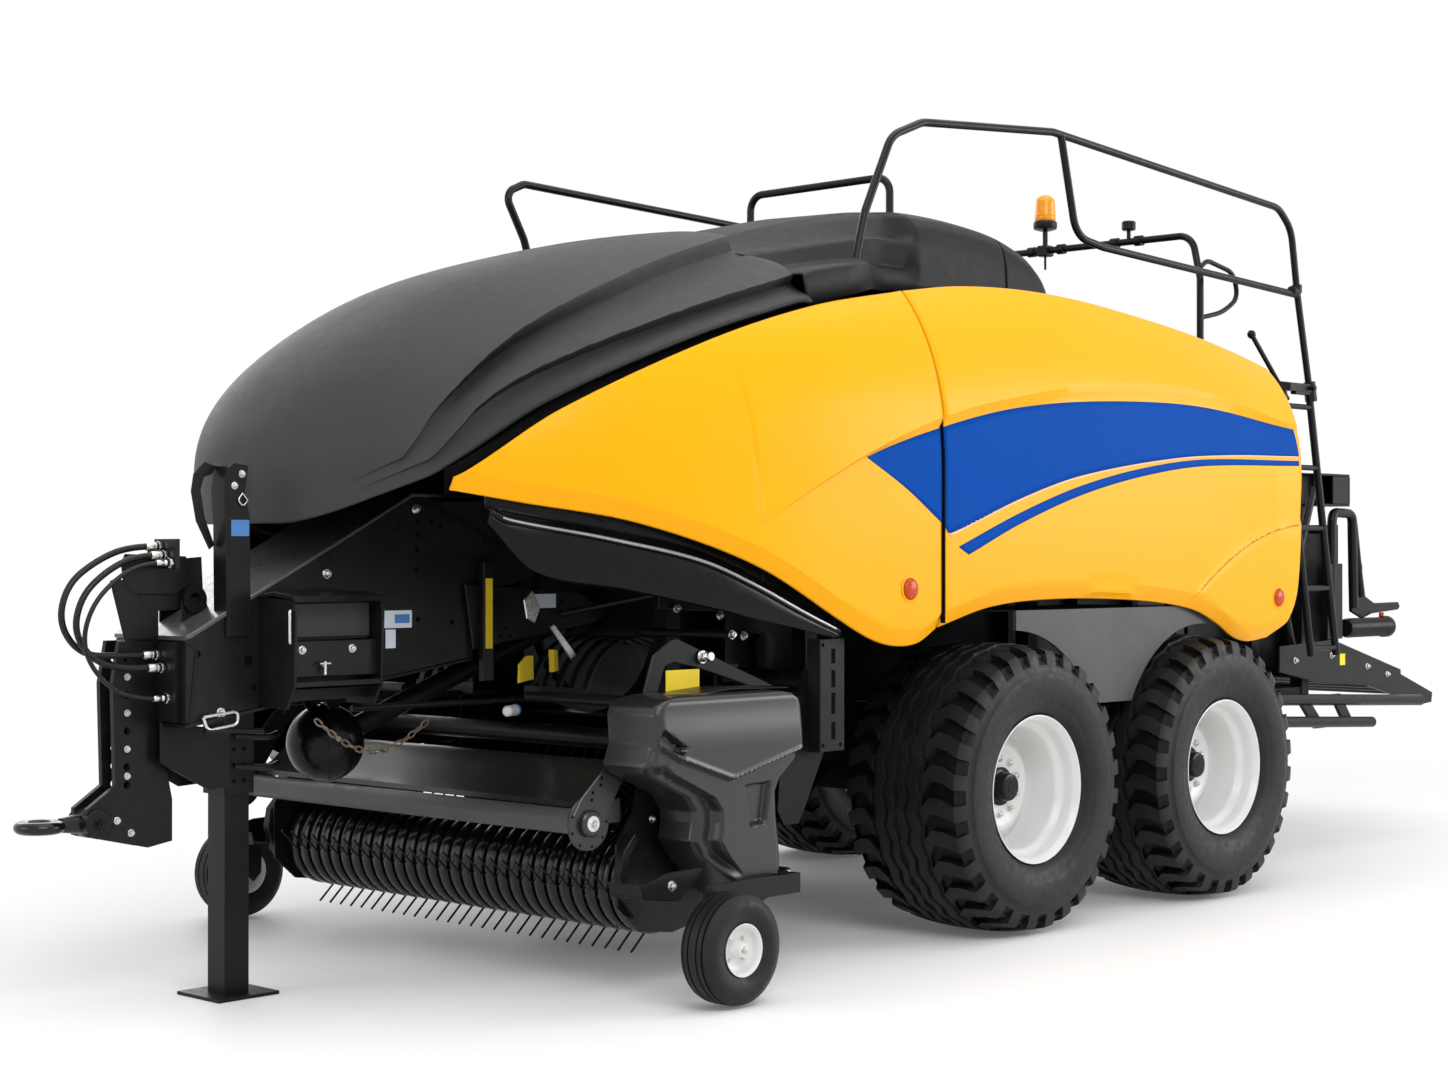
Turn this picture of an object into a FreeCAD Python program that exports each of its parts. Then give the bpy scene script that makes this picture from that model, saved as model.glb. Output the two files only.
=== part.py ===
"""Large square baler, drawbar to chute, as separate solids for each sub-part.

Millimetres. X forward, Y to the machine's left, Z up. The model's zero is on the ground below the front
tandem axle; on export everything moves along X so that zero is below the middle of the machine's length.
"""
import FreeCAD, Part
import math
import os

V = FreeCAD.Vector
X, Y, Z = V(1, 0, 0), V(0, 1, 0), V(0, 0, 1)

# ---------------------------------------------------------------- driving dimensions
TYRE_OD = 1170.0            # flotation tyre on the tandem axles
TYRE_WIDTH = 600.0
RIM_SEAT_D = 571.5          # 22.5 inch rim
RIM_FLANGE_D = 597.0
WHEEL_Y = 1025.0            # centre of tyre from the machine's centre
TANDEM = 1400.0             # front axle to rear axle
AXLE_Z = TYRE_OD / 2

GAP = 5.0                   # least running gap between pieces that move past each other
SEAM = 10.0                 # seam between body panels

CHAMBER_W = 800.0           # bale width
CHAMBER_H = 700.0           # bale height
CHAMBER_Z = 930.0           # floor of the bale chamber, upper face
CHAMBER_WALL = 10.0
CHAMBER_FRONT = 900.0
CHAMBER_REAR = -3900.0
TENSION_XS = (CHAMBER_REAR + 950.0, CHAMBER_REAR + 450.0)      # the two hoops round the chamber


NOSE_X = 2950.0             # foremost point of the hood
BELT_Z = 1800.0             # height where the body sides start to curve in
BODY_HALF = 1240.0          # half width of the body at the belt
BODY_TAPER = 2900.0         # length over which the plan widens from nose to full width
PLAN_POWER = 3.0
SIDE_PANEL_NOSE_X = 3070.0  # the side panels' skin reaches further forward, so they stand proud of the hood
CROWN_POWER = 2.5
SKIN = 22.0                 # thickness of body panels
CROWN = [(3070, 0), (2900, 150), (2600, 345), (2200, 700), (1700, 895), (1100, 1045), (500, 1115),
         (-450, 1215), (-1175, 1156), (-1700, 1050), (-2350, 870), (-2700, 780)]

SEAM_X = 520.0              # vertical seam between front and rear side panels
PANEL_REAR_X = -2165.0
PANEL_TIP_X = 2610.0

EYE_TIP_X = 3790.0          # foremost point of the tow eye
EYE_Z = 640.0
EYE_BORE_D = 68.0
EYE_OUTER_D = 170.0
EYE_THICK = 50.0

JACK_X = 2975.0
JACK_POST = 100.0
JACK_PLATE = 250.0
JACK_TRAVEL = 420.0

PICKUP_PIVOT = (1200.0, 600.0)      # x, z of the hinge, on the feed rotor's shaft
PICKUP_HALF = 985.0                 # half width inside the side plates
REEL = (1850.0, 365.0)              # x, z of the tine reel's shaft
STRIPPER_R = 168.0
TINE_TIP_R = 252.0
TINE_D = 6.0
STRIPPER_COUNT = 29
REEL_TUBE_D = 90.0
ROLLER = (2215.0, 610.0)            # x, z of the crop roller
ROLLER_D = 88.0
WINDGUARD_PIVOT = (1800.0, 905.0)
GAUGE = (1940.0, 198.0)             # x, z of the gauge wheel's centre
GAUGE_OD = 382.0
GAUGE_W = 150.0
GAUGE_Y = 1425.0

ROTOR_R = 235.0
ROTOR_HALF = 560.0

NEEDLE_PIVOT = (700.0, 1150.0)
NEEDLE_R = 750.0
NEEDLE_COUNT = 6
NEEDLE_SWING = 72.0

CHUTE_HINGE = (CHAMBER_REAR - 140.0, 880.0)
CHUTE_TIP = (CHUTE_HINGE[0] - 965.0, 705.0)
CHUTE_HALF = 440.0

FLYWHEEL_D = 800.0

RAIL_TUBE_D = 34.0
HOSE_D = 22.0
SMALL_HOSE_D = 16.0

X_MID = (EYE_TIP_X + CHUTE_TIP[0]) / 2


# ---------------------------------------------------------------- helpers
def box(x0, x1, y0, y1, z0, z1):
    return Part.makeBox(x1 - x0, y1 - y0, z1 - z0, V(x0, y0, z0))


def both_sides(shape):
    """The shape and its mirror image across the machine's centre plane, as a list."""
    return [shape, shape.mirror(V(0, 0, 0), Y)]


def fuse(shapes):
    shapes = list(shapes)
    return shapes[0].multiFuse(shapes[1:]).removeSplitter() if len(shapes) > 1 else shapes[0]


def group(shapes):
    """Separate solids that share a node."""
    solids = [solid for shape in shapes for solid in shape.Solids]
    return Part.makeCompound(solids)


def polygon(points):
    return Part.makePolygon(points + [points[0]])


def plate_xz(points, y0, y1):
    """Plate with the outline `points` (x, z), from y0 to y1."""
    face = Part.Face(polygon([V(x, y0, z) for x, z in points]))
    return face.extrude(V(0, y1 - y0, 0))


def plate_xy(points, z0, z1):
    face = Part.Face(polygon([V(x, y, z0) for x, y in points]))
    return face.extrude(V(0, 0, z1 - z0))


def plate_yz(points, x0, x1):
    face = Part.Face(polygon([V(x0, y, z) for y, z in points]))
    return face.extrude(V(x1 - x0, 0, 0))


def cylinder(point, axis, radius, length):
    return Part.makeCylinder(radius, length, V(*point), axis)


def centred_y(x, z, radius, half):
    """Cylinder across the machine, reaching `half` to each side."""
    return cylinder((x, -half, z), Y, radius, 2 * half)


def ring_y(x, z, outer, inner, y0, y1):
    return cylinder((x, y0, z), Y, outer, y1 - y0).cut(cylinder((x, y0 - 1, z), Y, inner, y1 - y0 + 2))


def bar(start, end, width, depth, up=Z):
    """Straight bar of rectangular section from start to end."""
    start, end = V(*start), V(*end)
    along = (end - start).normalize()
    side = along.cross(up).normalize()
    top = side.cross(along)
    corners = [start + side * (width / 2 * a) + top * (depth / 2 * b)
               for a, b in ((-1, -1), (1, -1), (1, 1), (-1, 1))]
    return Part.Face(polygon(corners)).extrude(end - start)


def rod(start, end, radius):
    start, end = V(*start), V(*end)
    return Part.makeCylinder(radius, (end - start).Length, start, end - start)


def widest_bends(points):
    """Radius of the largest arc that fits at each inner point of a route."""
    points = [V(*p) for p in points]
    radii = []
    for before, corner, after in zip(points, points[1:], points[2:]):
        turn = (corner - before).getAngle(after - corner)
        radii.append(0.45 * min((corner - before).Length, (after - corner).Length) / math.tan(turn / 2))
    return radii


def path_with_bends(points, radius):
    """Wire of straight runs with a tangent arc of about `radius` at each inner point."""
    points = [V(*p) for p in points]
    edges = []
    at = points[0]
    for before, corner, after in zip(points, points[1:], points[2:]):
        into, out = (corner - before).normalize(), (after - corner).normalize()
        turn = into.getAngle(out)
        trim = min(radius * math.tan(turn / 2), 0.45 * (corner - before).Length, 0.45 * (after - corner).Length)
        start, end = corner - into * trim, corner + out * trim
        bend = trim / math.tan(turn / 2)
        inward = (out - into).normalize()
        centre = corner + inward * (bend / math.cos(turn / 2))
        middle = centre - inward * bend
        edges.append(Part.LineSegment(at, start).toShape())
        edges.append(Part.Arc(start, middle, end).toShape())
        at = end
    edges.append(Part.LineSegment(at, points[-1]).toShape())
    return Part.Wire(edges)


def tube(points, diameter, bend=90.0):
    """Round bar along a path with bends."""
    path = path_with_bends(points, bend)
    points = [V(*p) for p in points]
    section = Part.Wire(Part.makeCircle(diameter / 2, points[0], points[1] - points[0]))
    return path.makePipeShell([section], True, False)


def turned(point, angle, pivot):
    """(x, z) turned by `angle` degrees about pivot (x, z), from X towards Z."""
    c, s = math.cos(math.radians(angle)), math.sin(math.radians(angle))
    dx, dz = point[0] - pivot[0], point[1] - pivot[1]
    return pivot[0] + dx * c - dz * s, pivot[1] + dx * s + dz * c


def polar(pivot, radius, angle):
    return (pivot[0] + radius * math.cos(math.radians(angle)),
            pivot[1] + radius * math.sin(math.radians(angle)))


def revolve_y(profile, centre_x, centre_z):
    """Solid of revolution about a cross axis; profile is (y, radius) points."""
    face = Part.Face(polygon([V(centre_x, y, centre_z + r) for y, r in profile]))
    return face.revolve(V(centre_x, 0, centre_z), Y, 360)


# ---------------------------------------------------------------- body skin
def smooth(stations, x):
    """Value at x on a smooth curve through the stations, falling in x (cubic Hermite, in sqrt distance)."""
    s = [math.sqrt(max(stations[0][0] - a, 0)) for a, _ in stations]
    v = [b for _, b in stations]
    slopes = []
    for i in range(len(s)):
        lo, hi = max(i - 1, 0), min(i + 1, len(s) - 1)
        slopes.append((v[hi] - v[lo]) / (s[hi] - s[lo]))
    at = math.sqrt(max(stations[0][0] - x, 0))
    k = max(i for i in range(len(s) - 1) if s[i] <= at or i == 0)
    span = s[k + 1] - s[k]
    t = (at - s[k]) / span
    return ((2 * t ** 3 - 3 * t ** 2 + 1) * v[k] + (t ** 3 - 2 * t ** 2 + t) * span * slopes[k]
            + (-2 * t ** 3 + 3 * t ** 2) * v[k + 1] + (t ** 3 - t ** 2) * span * slopes[k + 1])


def half_width(x, nose):
    """Half width of the body's plan at x, for a skin whose foremost point is at `nose`."""
    share = min(max((nose - x) / BODY_TAPER, 0), 1)
    return BODY_HALF * math.sqrt(1 - (1 - share) ** PLAN_POWER)


def skin_section(x, nose, inset):
    """Closed wire across the body at x: the crowned roof and its base line at the belt."""
    half = half_width(x + inset, nose) - inset
    crown = smooth(CROWN, x + CROWN[0][0] - nose + 0.7 * inset) - 0.9 * inset
    points = []
    for i in range(17):
        angle = math.pi * i / 16
        c, s = math.cos(angle), math.sin(angle)
        points.append(V(x, math.copysign(half * abs(c) ** (2 / CROWN_POWER), c),
                        BELT_Z + crown * abs(s) ** (2 / CROWN_POWER)))
    roof = Part.BSplineCurve()
    roof.interpolate(Points=points, Parameters=[i / 16 for i in range(17)])
    return Part.Wire([roof.toShape(), Part.LineSegment(points[-1], points[0]).toShape()])


def body_block(nose, inset, bottom=1000.0, rear=-2400.0):
    """Everything inside the body skin, down to `bottom`; the skin is `inset` inside the outer one."""
    front = nose - inset
    depths = [12, 60, 150, 300, 520, 850, 1300, 1900, 2600, 3400, 4200, 4850]
    stations = [front - d for d in depths] + [rear]
    roof = Part.makeLoft([skin_section(x, nose, inset) for x in stations], True)
    base = min(roof.Faces, key=lambda face: face.CenterOfMass.z)
    return roof.fuse(base.extrude(V(0, 0, bottom - BELT_Z)))


def upright_sheet(x0, x1, inset0, inset1, z0, z1):
    """Upright sheet that follows the side panels' plan, between two distances inside it."""
    def edge(inset):
        curve = Part.BSplineCurve()
        xs = [x0 + (x1 - x0) * i / 6 for i in range(7)]
        curve.interpolate([V(x, half_width(x, SIDE_PANEL_NOSE_X) - inset, z0) for x in xs])
        return curve.toShape()
    outer, inner = edge(inset0), edge(inset1)
    ends = [Part.LineSegment(a.Vertexes[k].Point, b.Vertexes[k].Point).toShape()
            for a, b, k in ((outer, inner, 0), (outer, inner, -1))]
    wire = Part.Wire(Part.__sortEdges__([outer, ends[1], inner, ends[0]]))
    return Part.Face(wire).extrude(V(0, 0, z1 - z0))


def curve_xz(points, y):
    """Edge through the points (x, z): a line for two, a smooth curve for more."""
    points = [V(x, y, z) for x, z in points]
    if len(points) == 2:
        return Part.LineSegment(*points).toShape()
    curve = Part.BSplineCurve()
    curve.interpolate(points)
    return curve.toShape()


def side_prism(curves, y0, y1):
    """Prism across the machine whose outline is a chain of curves, each starting where the last ended."""
    edges = [curve_xz(points, y0) for points in curves]
    return Part.Face(Part.Wire(edges)).extrude(V(0, y1 - y0, 0))


def shifted(points, dx, dz):
    return [(x + dx, z + dz) for x, z in points]


FRONT_PANEL_TOP = [(PANEL_TIP_X, 1788), (2269, 2029), (1687, 2283), (1100, 2460), (SEAM_X + SEAM / 2, 2567)]
FRONT_PANEL_LOW = [(SEAM_X + SEAM / 2, 1240), (640, 1186), (768, 1178), (900, 1205), (1070, 1278), (1508, 1487),
                   (2001, 1637), (2400, 1704), (PANEL_TIP_X, 1745)]
REAR_PANEL_TOP = [(SEAM_X - SEAM / 2, 2568), (166, 2615), (-236, 2634), (-648, 2621), (-1096, 2581),
                  (-1584, 2525), (-2019, 2456), (-2205, 2415)]
REAR_PANEL_BACK = [(-2205, 2415), (-2190, 2166), (PANEL_REAR_X, 1787), (-2128, 1365), (-2055, 1226),
                   (-1921, 1145)]
REAR_PANEL_LOW = [(-1921, 1145), (-1745, 1131), (-1616, 1153), (-1489, 1214), (-1323, 1275), (-1121, 1309),
                  (-734, 1336), (-226, 1343), (181, 1317), (SEAM_X - SEAM / 2, 1244)]
HOOD_LOW = [(3100, 1628), (2900, 1640), (2740, 1735), (PANEL_TIP_X + 15, 1788 + SEAM)]
HOOD_AXIS = (1010.0, 2950.0)
HOOD_SWING = 50.0
FRONT_PANEL_AXIS = ((SEAM_X, BODY_HALF - 188, 2608.0), (2400.0, BODY_HALF - 188, 2180.0))
REAR_PANEL_AXIS = ((SEAM_X, BODY_HALF - 182, 2662.0), (-2200.0, BODY_HALF - 182, 2600.0))
PANEL_SWING = 75.0
PICKUP_LIFT = 8.0
WINDGUARD_SWING = 12.0
CHUTE_SWING = 80.0
STUB_D = 35.0
HOOD_REAR = [(1100 - 40, 2460 + 22), (960, 3100)]
COVER_HALF = 650.0
COVER_SPLIT_X = -640.0
COVER_REAR_X = -1000.0
DECK_Z = 2380.0
DECK_THICK = 40.0


def cover_block(grown):
    """Everything under the top cover, down to the deck; `grown` is how far it stands outside the cover."""
    side = [(COVER_REAR_X - grown, DECK_Z), (HOOD_REAR[0][0] - SEAM + grown, DECK_Z),
            (HOOD_REAR[0][0] - SEAM + grown, 2480), (HOOD_REAR[1][0] - SEAM + grown, 3100),
            (COVER_REAR_X - grown, 3100)]
    half, wide = COVER_HALF + grown, 985 + grown
    flare = [(COVER_REAR_X - grown, -half), (200, -half), (750, -wide), (1100, -wide), (1100, wide), (750, wide),
             (200, half), (COVER_REAR_X - grown, half)]
    block = body_block(NOSE_X, -grown).common(plate_xz(side, -1200, 1200))
    return block.common(plate_xy(flare, DECK_Z, 3200))


def body_panels():
    """Hood, top covers and side panels, all cut from two lofted skins."""
    panel_skin = body_block(SIDE_PANEL_NOSE_X, 0).cut(body_block(SIDE_PANEL_NOSE_X, SKIN))
    front_outline = [FRONT_PANEL_TOP, [FRONT_PANEL_TOP[-1], FRONT_PANEL_LOW[0]], FRONT_PANEL_LOW,
                     [FRONT_PANEL_LOW[-1], FRONT_PANEL_TOP[0]]]
    rear_outline = [REAR_PANEL_TOP, REAR_PANEL_BACK, REAR_PANEL_LOW, [REAR_PANEL_LOW[-1], REAR_PANEL_TOP[0]]]
    front = panel_skin.common(side_prism(front_outline, 300, 1400))
    rear = panel_skin.common(side_prism(rear_outline, 300, 1400))

    hood_outer, hood_inner = body_block(NOSE_X, 0), body_block(NOSE_X, SKIN)
    over_panel = [p for p in FRONT_PANEL_TOP if p[0] > 1090]
    over_panel = shifted(over_panel, 15, SEAM + 12)
    hood_edge = [over_panel[0], *over_panel[1:-1], HOOD_REAR[0]]
    hood_outline = [[HOOD_LOW[0], HOOD_LOW[1], HOOD_LOW[2], hood_edge[0]], hood_edge, HOOD_REAR,
                    [HOOD_REAR[-1], (3100, 3100)], [(3100, 3100), HOOD_LOW[0]]]
    hood_prism = side_prism(hood_outline, -1400, 1400)
    hood = hood_outer.cut(hood_inner).common(hood_prism)

    inner_flare = [(COVER_REAR_X + SKIN, -COVER_HALF + SKIN), (190, -COVER_HALF + SKIN), (740, -985 + SKIN),
                   (1101, -985 + SKIN), (1101, 985 - SKIN), (740, 985 - SKIN), (190, COVER_HALF - SKIN),
                   (COVER_REAR_X + SKIN, COVER_HALF - SKIN)]
    cover = cover_block(0).cut(hood_inner.common(plate_xy(inner_flare, 2300, 3100)))
    split = box(COVER_SPLIT_X - 4, COVER_SPLIT_X + 4, -1200, 1200, 2300, 3200)
    pieces = sorted(cover.cut(split).Solids, key=lambda solid: -solid.CenterOfMass.x)
    nodes = {"hood": hood, "top_cover_front": pieces[0], "top_cover_rear": pieces[-1]}
    for side, left in (("left", True), ("right", False)):
        nodes["panel_front_" + side] = front if left else front.mirror(V(0, 0, 0), Y)
        nodes["panel_rear_" + side] = rear if left else rear.mirror(V(0, 0, 0), Y)
    return nodes


def panel_arms():
    """Carriers on the posts and the portal that the closed panels and the hood rest on."""
    out = RAIL_OUT + POST_W
    inside = body_block(SIDE_PANEL_NOSE_X, SKIN + 0.5)
    past_skin = BODY_HALF + 60
    arms = [box(x, x + POST_W, out, past_skin, 2215, 2265) for x in POST_X]
    arms += [box(x, x + POST_W, out, past_skin, 1340, 1400) for x in POST_X]
    side_arms = [arm.common(inside) for arm in arms]
    upright = box(*PORTAL_X, RAIL_OUT, out, PORTAL_TOP, 2900).common(body_block(NOSE_X, SKIN + 0.5))
    reach = box(*PORTAL_X, out, past_skin, PORTAL_TOP - 60, PORTAL_TOP).common(inside)
    return group([each for arm in (*side_arms, upright, reach) for each in both_sides(arm)])


# ---------------------------------------------------------------- wheels
def tyre(x, z, y, od, width, bead_d):
    """Tyre with a rounded crown and bulging walls."""
    r, bead, half = od / 2, bead_d / 2, width / 2
    wall = r - bead
    outline = [(-0.84 * half, bead), (-0.97 * half, bead + 0.25 * wall), (-half, bead + 0.5 * wall),
               (-0.96 * half, bead + 0.78 * wall), (-0.82 * half, bead + 0.94 * wall), (-0.5 * half, r - 3),
               (0, r), (0.5 * half, r - 3), (0.82 * half, bead + 0.94 * wall), (0.96 * half, bead + 0.78 * wall),
               (half, bead + 0.5 * wall), (0.97 * half, bead + 0.25 * wall), (0.84 * half, bead)]
    curve = Part.BSplineCurve()
    curve.interpolate([V(x, y + a, z + radius) for a, radius in outline])
    close = Part.LineSegment(V(x, y + outline[-1][0], z + bead), V(x, y + outline[0][0], z + bead)).toShape()
    return Part.Face(Part.Wire([curve.toShape(), close])).revolve(V(x, 0, z), Y, 360)


def rim(x, z, y, side, width, flange_d, seat_d, disc_in, hub_d, bore_d):
    """Deep-dish rim: barrel, cone to the disc and the hub; `side` is +1 with its face to the left."""
    half, flange, seat = width / 2, flange_d / 2, seat_d / 2
    wall = 0.02 * flange_d
    def out(points):
        return [(y + side * a, r) for a, r in points]
    barrel = revolve_y(out([
        (half, flange), (half - 0.05 * width, seat - 0.5), (0.3 * half, seat - 0.5), (0.2 * half, 0.86 * seat),
        (-0.3 * half, 0.86 * seat), (-0.4 * half, seat - 0.5), (-half + 0.05 * width, seat - 0.5),
        (-half, flange), (-half, flange - wall), (-half + 0.07 * width, seat - wall), (-0.42 * half, seat - wall),
        (-0.32 * half, 0.86 * seat - wall), (0.22 * half, 0.86 * seat - wall), (0.32 * half, seat - wall),
        (half - 0.07 * width, seat - wall), (half, flange - wall)]), x, z)
    disc_y = half - disc_in
    plate = revolve_y(out([
        (disc_y - 0.16 * seat, 0.86 * seat - wall / 2), (disc_y, 0.62 * seat), (disc_y, bore_d / 2),
        (disc_y - 2 * wall, bore_d / 2), (disc_y - 2 * wall, 0.58 * seat),
        (disc_y - 0.16 * seat - 2 * wall, 0.86 * seat - wall / 2)]), x, z)
    hub = revolve_y(out([
        (disc_y + 0.22 * hub_d, 0), (disc_y + 0.22 * hub_d, 0.38 * hub_d), (disc_y + 0.12 * hub_d, 0.42 * hub_d),
        (disc_y, 0.5 * hub_d), (disc_y - 0.5 * hub_d, 0.5 * hub_d), (disc_y - 0.5 * hub_d, bore_d / 2),
        (disc_y, bore_d / 2), (disc_y, 0)]), x, z)
    return fuse([barrel, plate, hub])


RIM_WIDTH = 520.0
RIM_DISC_IN = 190.0
HUB_D = 240.0
SPINDLE_D = 110.0
SPINDLE_CLEAR = 0.6


def bead_room(x, z, y, width, flange_d, seat_d):
    """Rings to cut from a tyre so that its beads sit inside the rim's flanges."""
    seat, flange, half = seat_d / 2, flange_d / 2, width / 2
    profile = [(0.9 * half - 1, seat - 2), (0.9 * half - 1, seat + 0.1), (half + 0.5, flange + 0.8),
               (half + 60, flange + 0.8), (half + 60, seat - 2)]
    return [revolve_y([(y + side * a, r) for a, r in profile], x, z) for side in (1, -1)]


def wheels():
    nodes = {}
    for end, x in (("front", 0.0), ("rear", -TANDEM)):
        for side, sign in (("left", 1), ("right", -1)):
            y = sign * WHEEL_Y
            room = bead_room(x, AXLE_Z, y, RIM_WIDTH, RIM_FLANGE_D, RIM_SEAT_D)
            nodes["tyre_%s_%s" % (end, side)] = tyre(x, AXLE_Z, y, TYRE_OD, TYRE_WIDTH, RIM_SEAT_D).cut(room)
            nodes["rim_%s_%s" % (end, side)] = rim(x, AXLE_Z, y, sign, RIM_WIDTH, RIM_FLANGE_D, RIM_SEAT_D,
                                                   RIM_DISC_IN, HUB_D, SPINDLE_D + 2 * SPINDLE_CLEAR)
    return nodes


def spindle_end():
    """Distance from the centre plane to the end of a wheel spindle, inside its hub."""
    return WHEEL_Y + RIM_WIDTH / 2 - RIM_DISC_IN - 2.0


def axles():
    """Square beams with the spindles that carry the wheels."""
    beams = []
    inner = WHEEL_Y + RIM_WIDTH / 2 - RIM_DISC_IN - 0.5 * HUB_D - GAP
    for x in (0.0, -TANDEM):
        beam = box(x - 60, x + 60, -inner + 30, inner - 30, AXLE_Z - 60, AXLE_Z + 60)
        flange = centred_y(x, AXLE_Z, 105, inner)
        spindle = centred_y(x, AXLE_Z, SPINDLE_D / 2, spindle_end())
        beams.append(fuse([beam, flange.cut(centred_y(x, AXLE_Z, 110, inner - 30)), spindle]))
    return group(beams)


SPRING_Y = 520.0
LEAF = 18.0
SPRING_TOP = AXLE_Z + 60 + 4 * LEAF


def leaf_springs():
    """Two stacked leaf springs a side, joined by the rocker between the axles."""
    parts = []
    for x in (0.0, -TANDEM):
        leaves = [box(x - half, x + half, SPRING_Y - 45, SPRING_Y + 45, SPRING_TOP - LEAF * (4 - i),
                      SPRING_TOP - LEAF * (3 - i)) for i, half in enumerate((230, 340, 470, 640))]
        parts.append(fuse(leaves))
    return parts


RAIL_BOTTOM = 750.0
RAIL_H = 160.0
RAIL_IN, RAIL_OUT = 480.0, 560.0
POST_W = 70.0
POST_X = [595.0, -900.0, -2100.0]
UPPER_TOP = DECK_Z - DECK_THICK
PORTAL_X = (1380.0, 1450.0)
PORTAL_TOP = 1740.0


def main_frame():
    """Side rails, spring hangers, posts and the upper frame that carries the body."""
    one_side = [box(-2250, 930, RAIL_IN, RAIL_OUT, RAIL_BOTTOM, RAIL_BOTTOM + RAIL_H)]
    for x in (-TANDEM - 560, -TANDEM / 2, 560):
        one_side.append(plate_xz([(x - 70, RAIL_BOTTOM + 5), (x + 70, RAIL_BOTTOM + 5), (x + 82, SPRING_TOP),
                                  (x - 82, SPRING_TOP)], SPRING_Y - 40, SPRING_Y + 40))
    for x in POST_X:
        one_side.append(box(x, x + POST_W, RAIL_OUT, RAIL_OUT + POST_W, RAIL_BOTTOM, UPPER_TOP))
    x0, x1 = PORTAL_X
    one_side.append(box(POST_X[-1], POST_X[0] + POST_W, RAIL_OUT, RAIL_OUT + POST_W, UPPER_TOP - 60, UPPER_TOP))
    one_side.append(box(POST_X[0], x1, RAIL_OUT, RAIL_OUT + POST_W, PORTAL_TOP - 80, PORTAL_TOP))
    one_side.append(box(x0, x1, RAIL_OUT, RAIL_OUT + POST_W, 1000, PORTAL_TOP))
    frame = both_sides(fuse(one_side))
    frame.append(box(x0, x1, -RAIL_OUT, RAIL_OUT, PORTAL_TOP - 160, PORTAL_TOP))
    for x in (-2230, -700, -260):
        frame.append(box(x - 20, x + 60, -RAIL_IN, RAIL_IN, RAIL_BOTTOM, RAIL_BOTTOM + 80))
    for x in POST_X:
        frame.append(box(x, x + POST_W, -RAIL_OUT, RAIL_OUT, UPPER_TOP - 60, UPPER_TOP))
    return fuse(frame)


def needle_xs(z):
    """x where the needles' centre line crosses height z inside the chamber."""
    return NEEDLE_PIVOT[0] - math.sqrt(NEEDLE_R ** 2 - (NEEDLE_PIVOT[1] - z) ** 2)


NEEDLE_YS = [(i - (NEEDLE_COUNT - 1) / 2) * 120.0 for i in range(NEEDLE_COUNT)]
NEEDLE_SLOT = 34.0
RIB = 50.0
RIB_XS = [-330.0, -960.0, -1500.0, -1960.0, -2450.0, *TENSION_XS, CHAMBER_REAR]


def bale_chamber():
    """Square tunnel with ribs, an inlet in its floor and slots for the needles."""
    half, roof = CHAMBER_W / 2, CHAMBER_Z + CHAMBER_H
    wall = CHAMBER_WALL
    shell = box(CHAMBER_REAR, CHAMBER_FRONT, -half - wall, half + wall, CHAMBER_Z - wall, roof + wall)
    shell = shell.cut(box(CHAMBER_REAR - 1, CHAMBER_FRONT - wall, -half, half, CHAMBER_Z, roof))
    shell = shell.cut(box(DUCT_REAR_X, DUCT_FRONT_X, -half, half, CHAMBER_Z - 2 * wall, CHAMBER_Z + 1))
    floor_x, roof_x = needle_xs(CHAMBER_Z), needle_xs(roof)
    for y in NEEDLE_YS:
        slot = NEEDLE_SLOT / 2
        shell = shell.cut(box(floor_x - 55, floor_x + 55, y - slot, y + slot, CHAMBER_Z - 2 * wall, CHAMBER_Z + 1))
        shell = shell.cut(box(roof_x - 60, roof_x + 60, y - slot, y + slot, roof - 1, roof + 2 * wall))
    ribs = []
    for x in RIB_XS:
        outer = box(x, x + RIB, -half - wall - RIB, half + wall + RIB, CHAMBER_Z - wall - 40, roof + wall + RIB)
        ribs.append(outer.cut(box(x - 1, x + RIB + 1, -half - wall, half + wall, CHAMBER_Z - wall, roof + wall)))
    feet = [box(x, x + RIB, half + wall + RIB, RAIL_IN, CHAMBER_Z - wall - 40, CHAMBER_Z - wall)
            for x in RIB_XS if x > -2250]
    feet = [foot for each in feet for foot in both_sides(each)]
    return fuse([shell] + ribs + feet)


DUCT_REAR_X, DUCT_FRONT_X = 80.0, 780.0
DUCT_R = 655.0
HOUSING_X = (950.0, 1450.0)
HOUSING_HALF = 560.0


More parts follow.
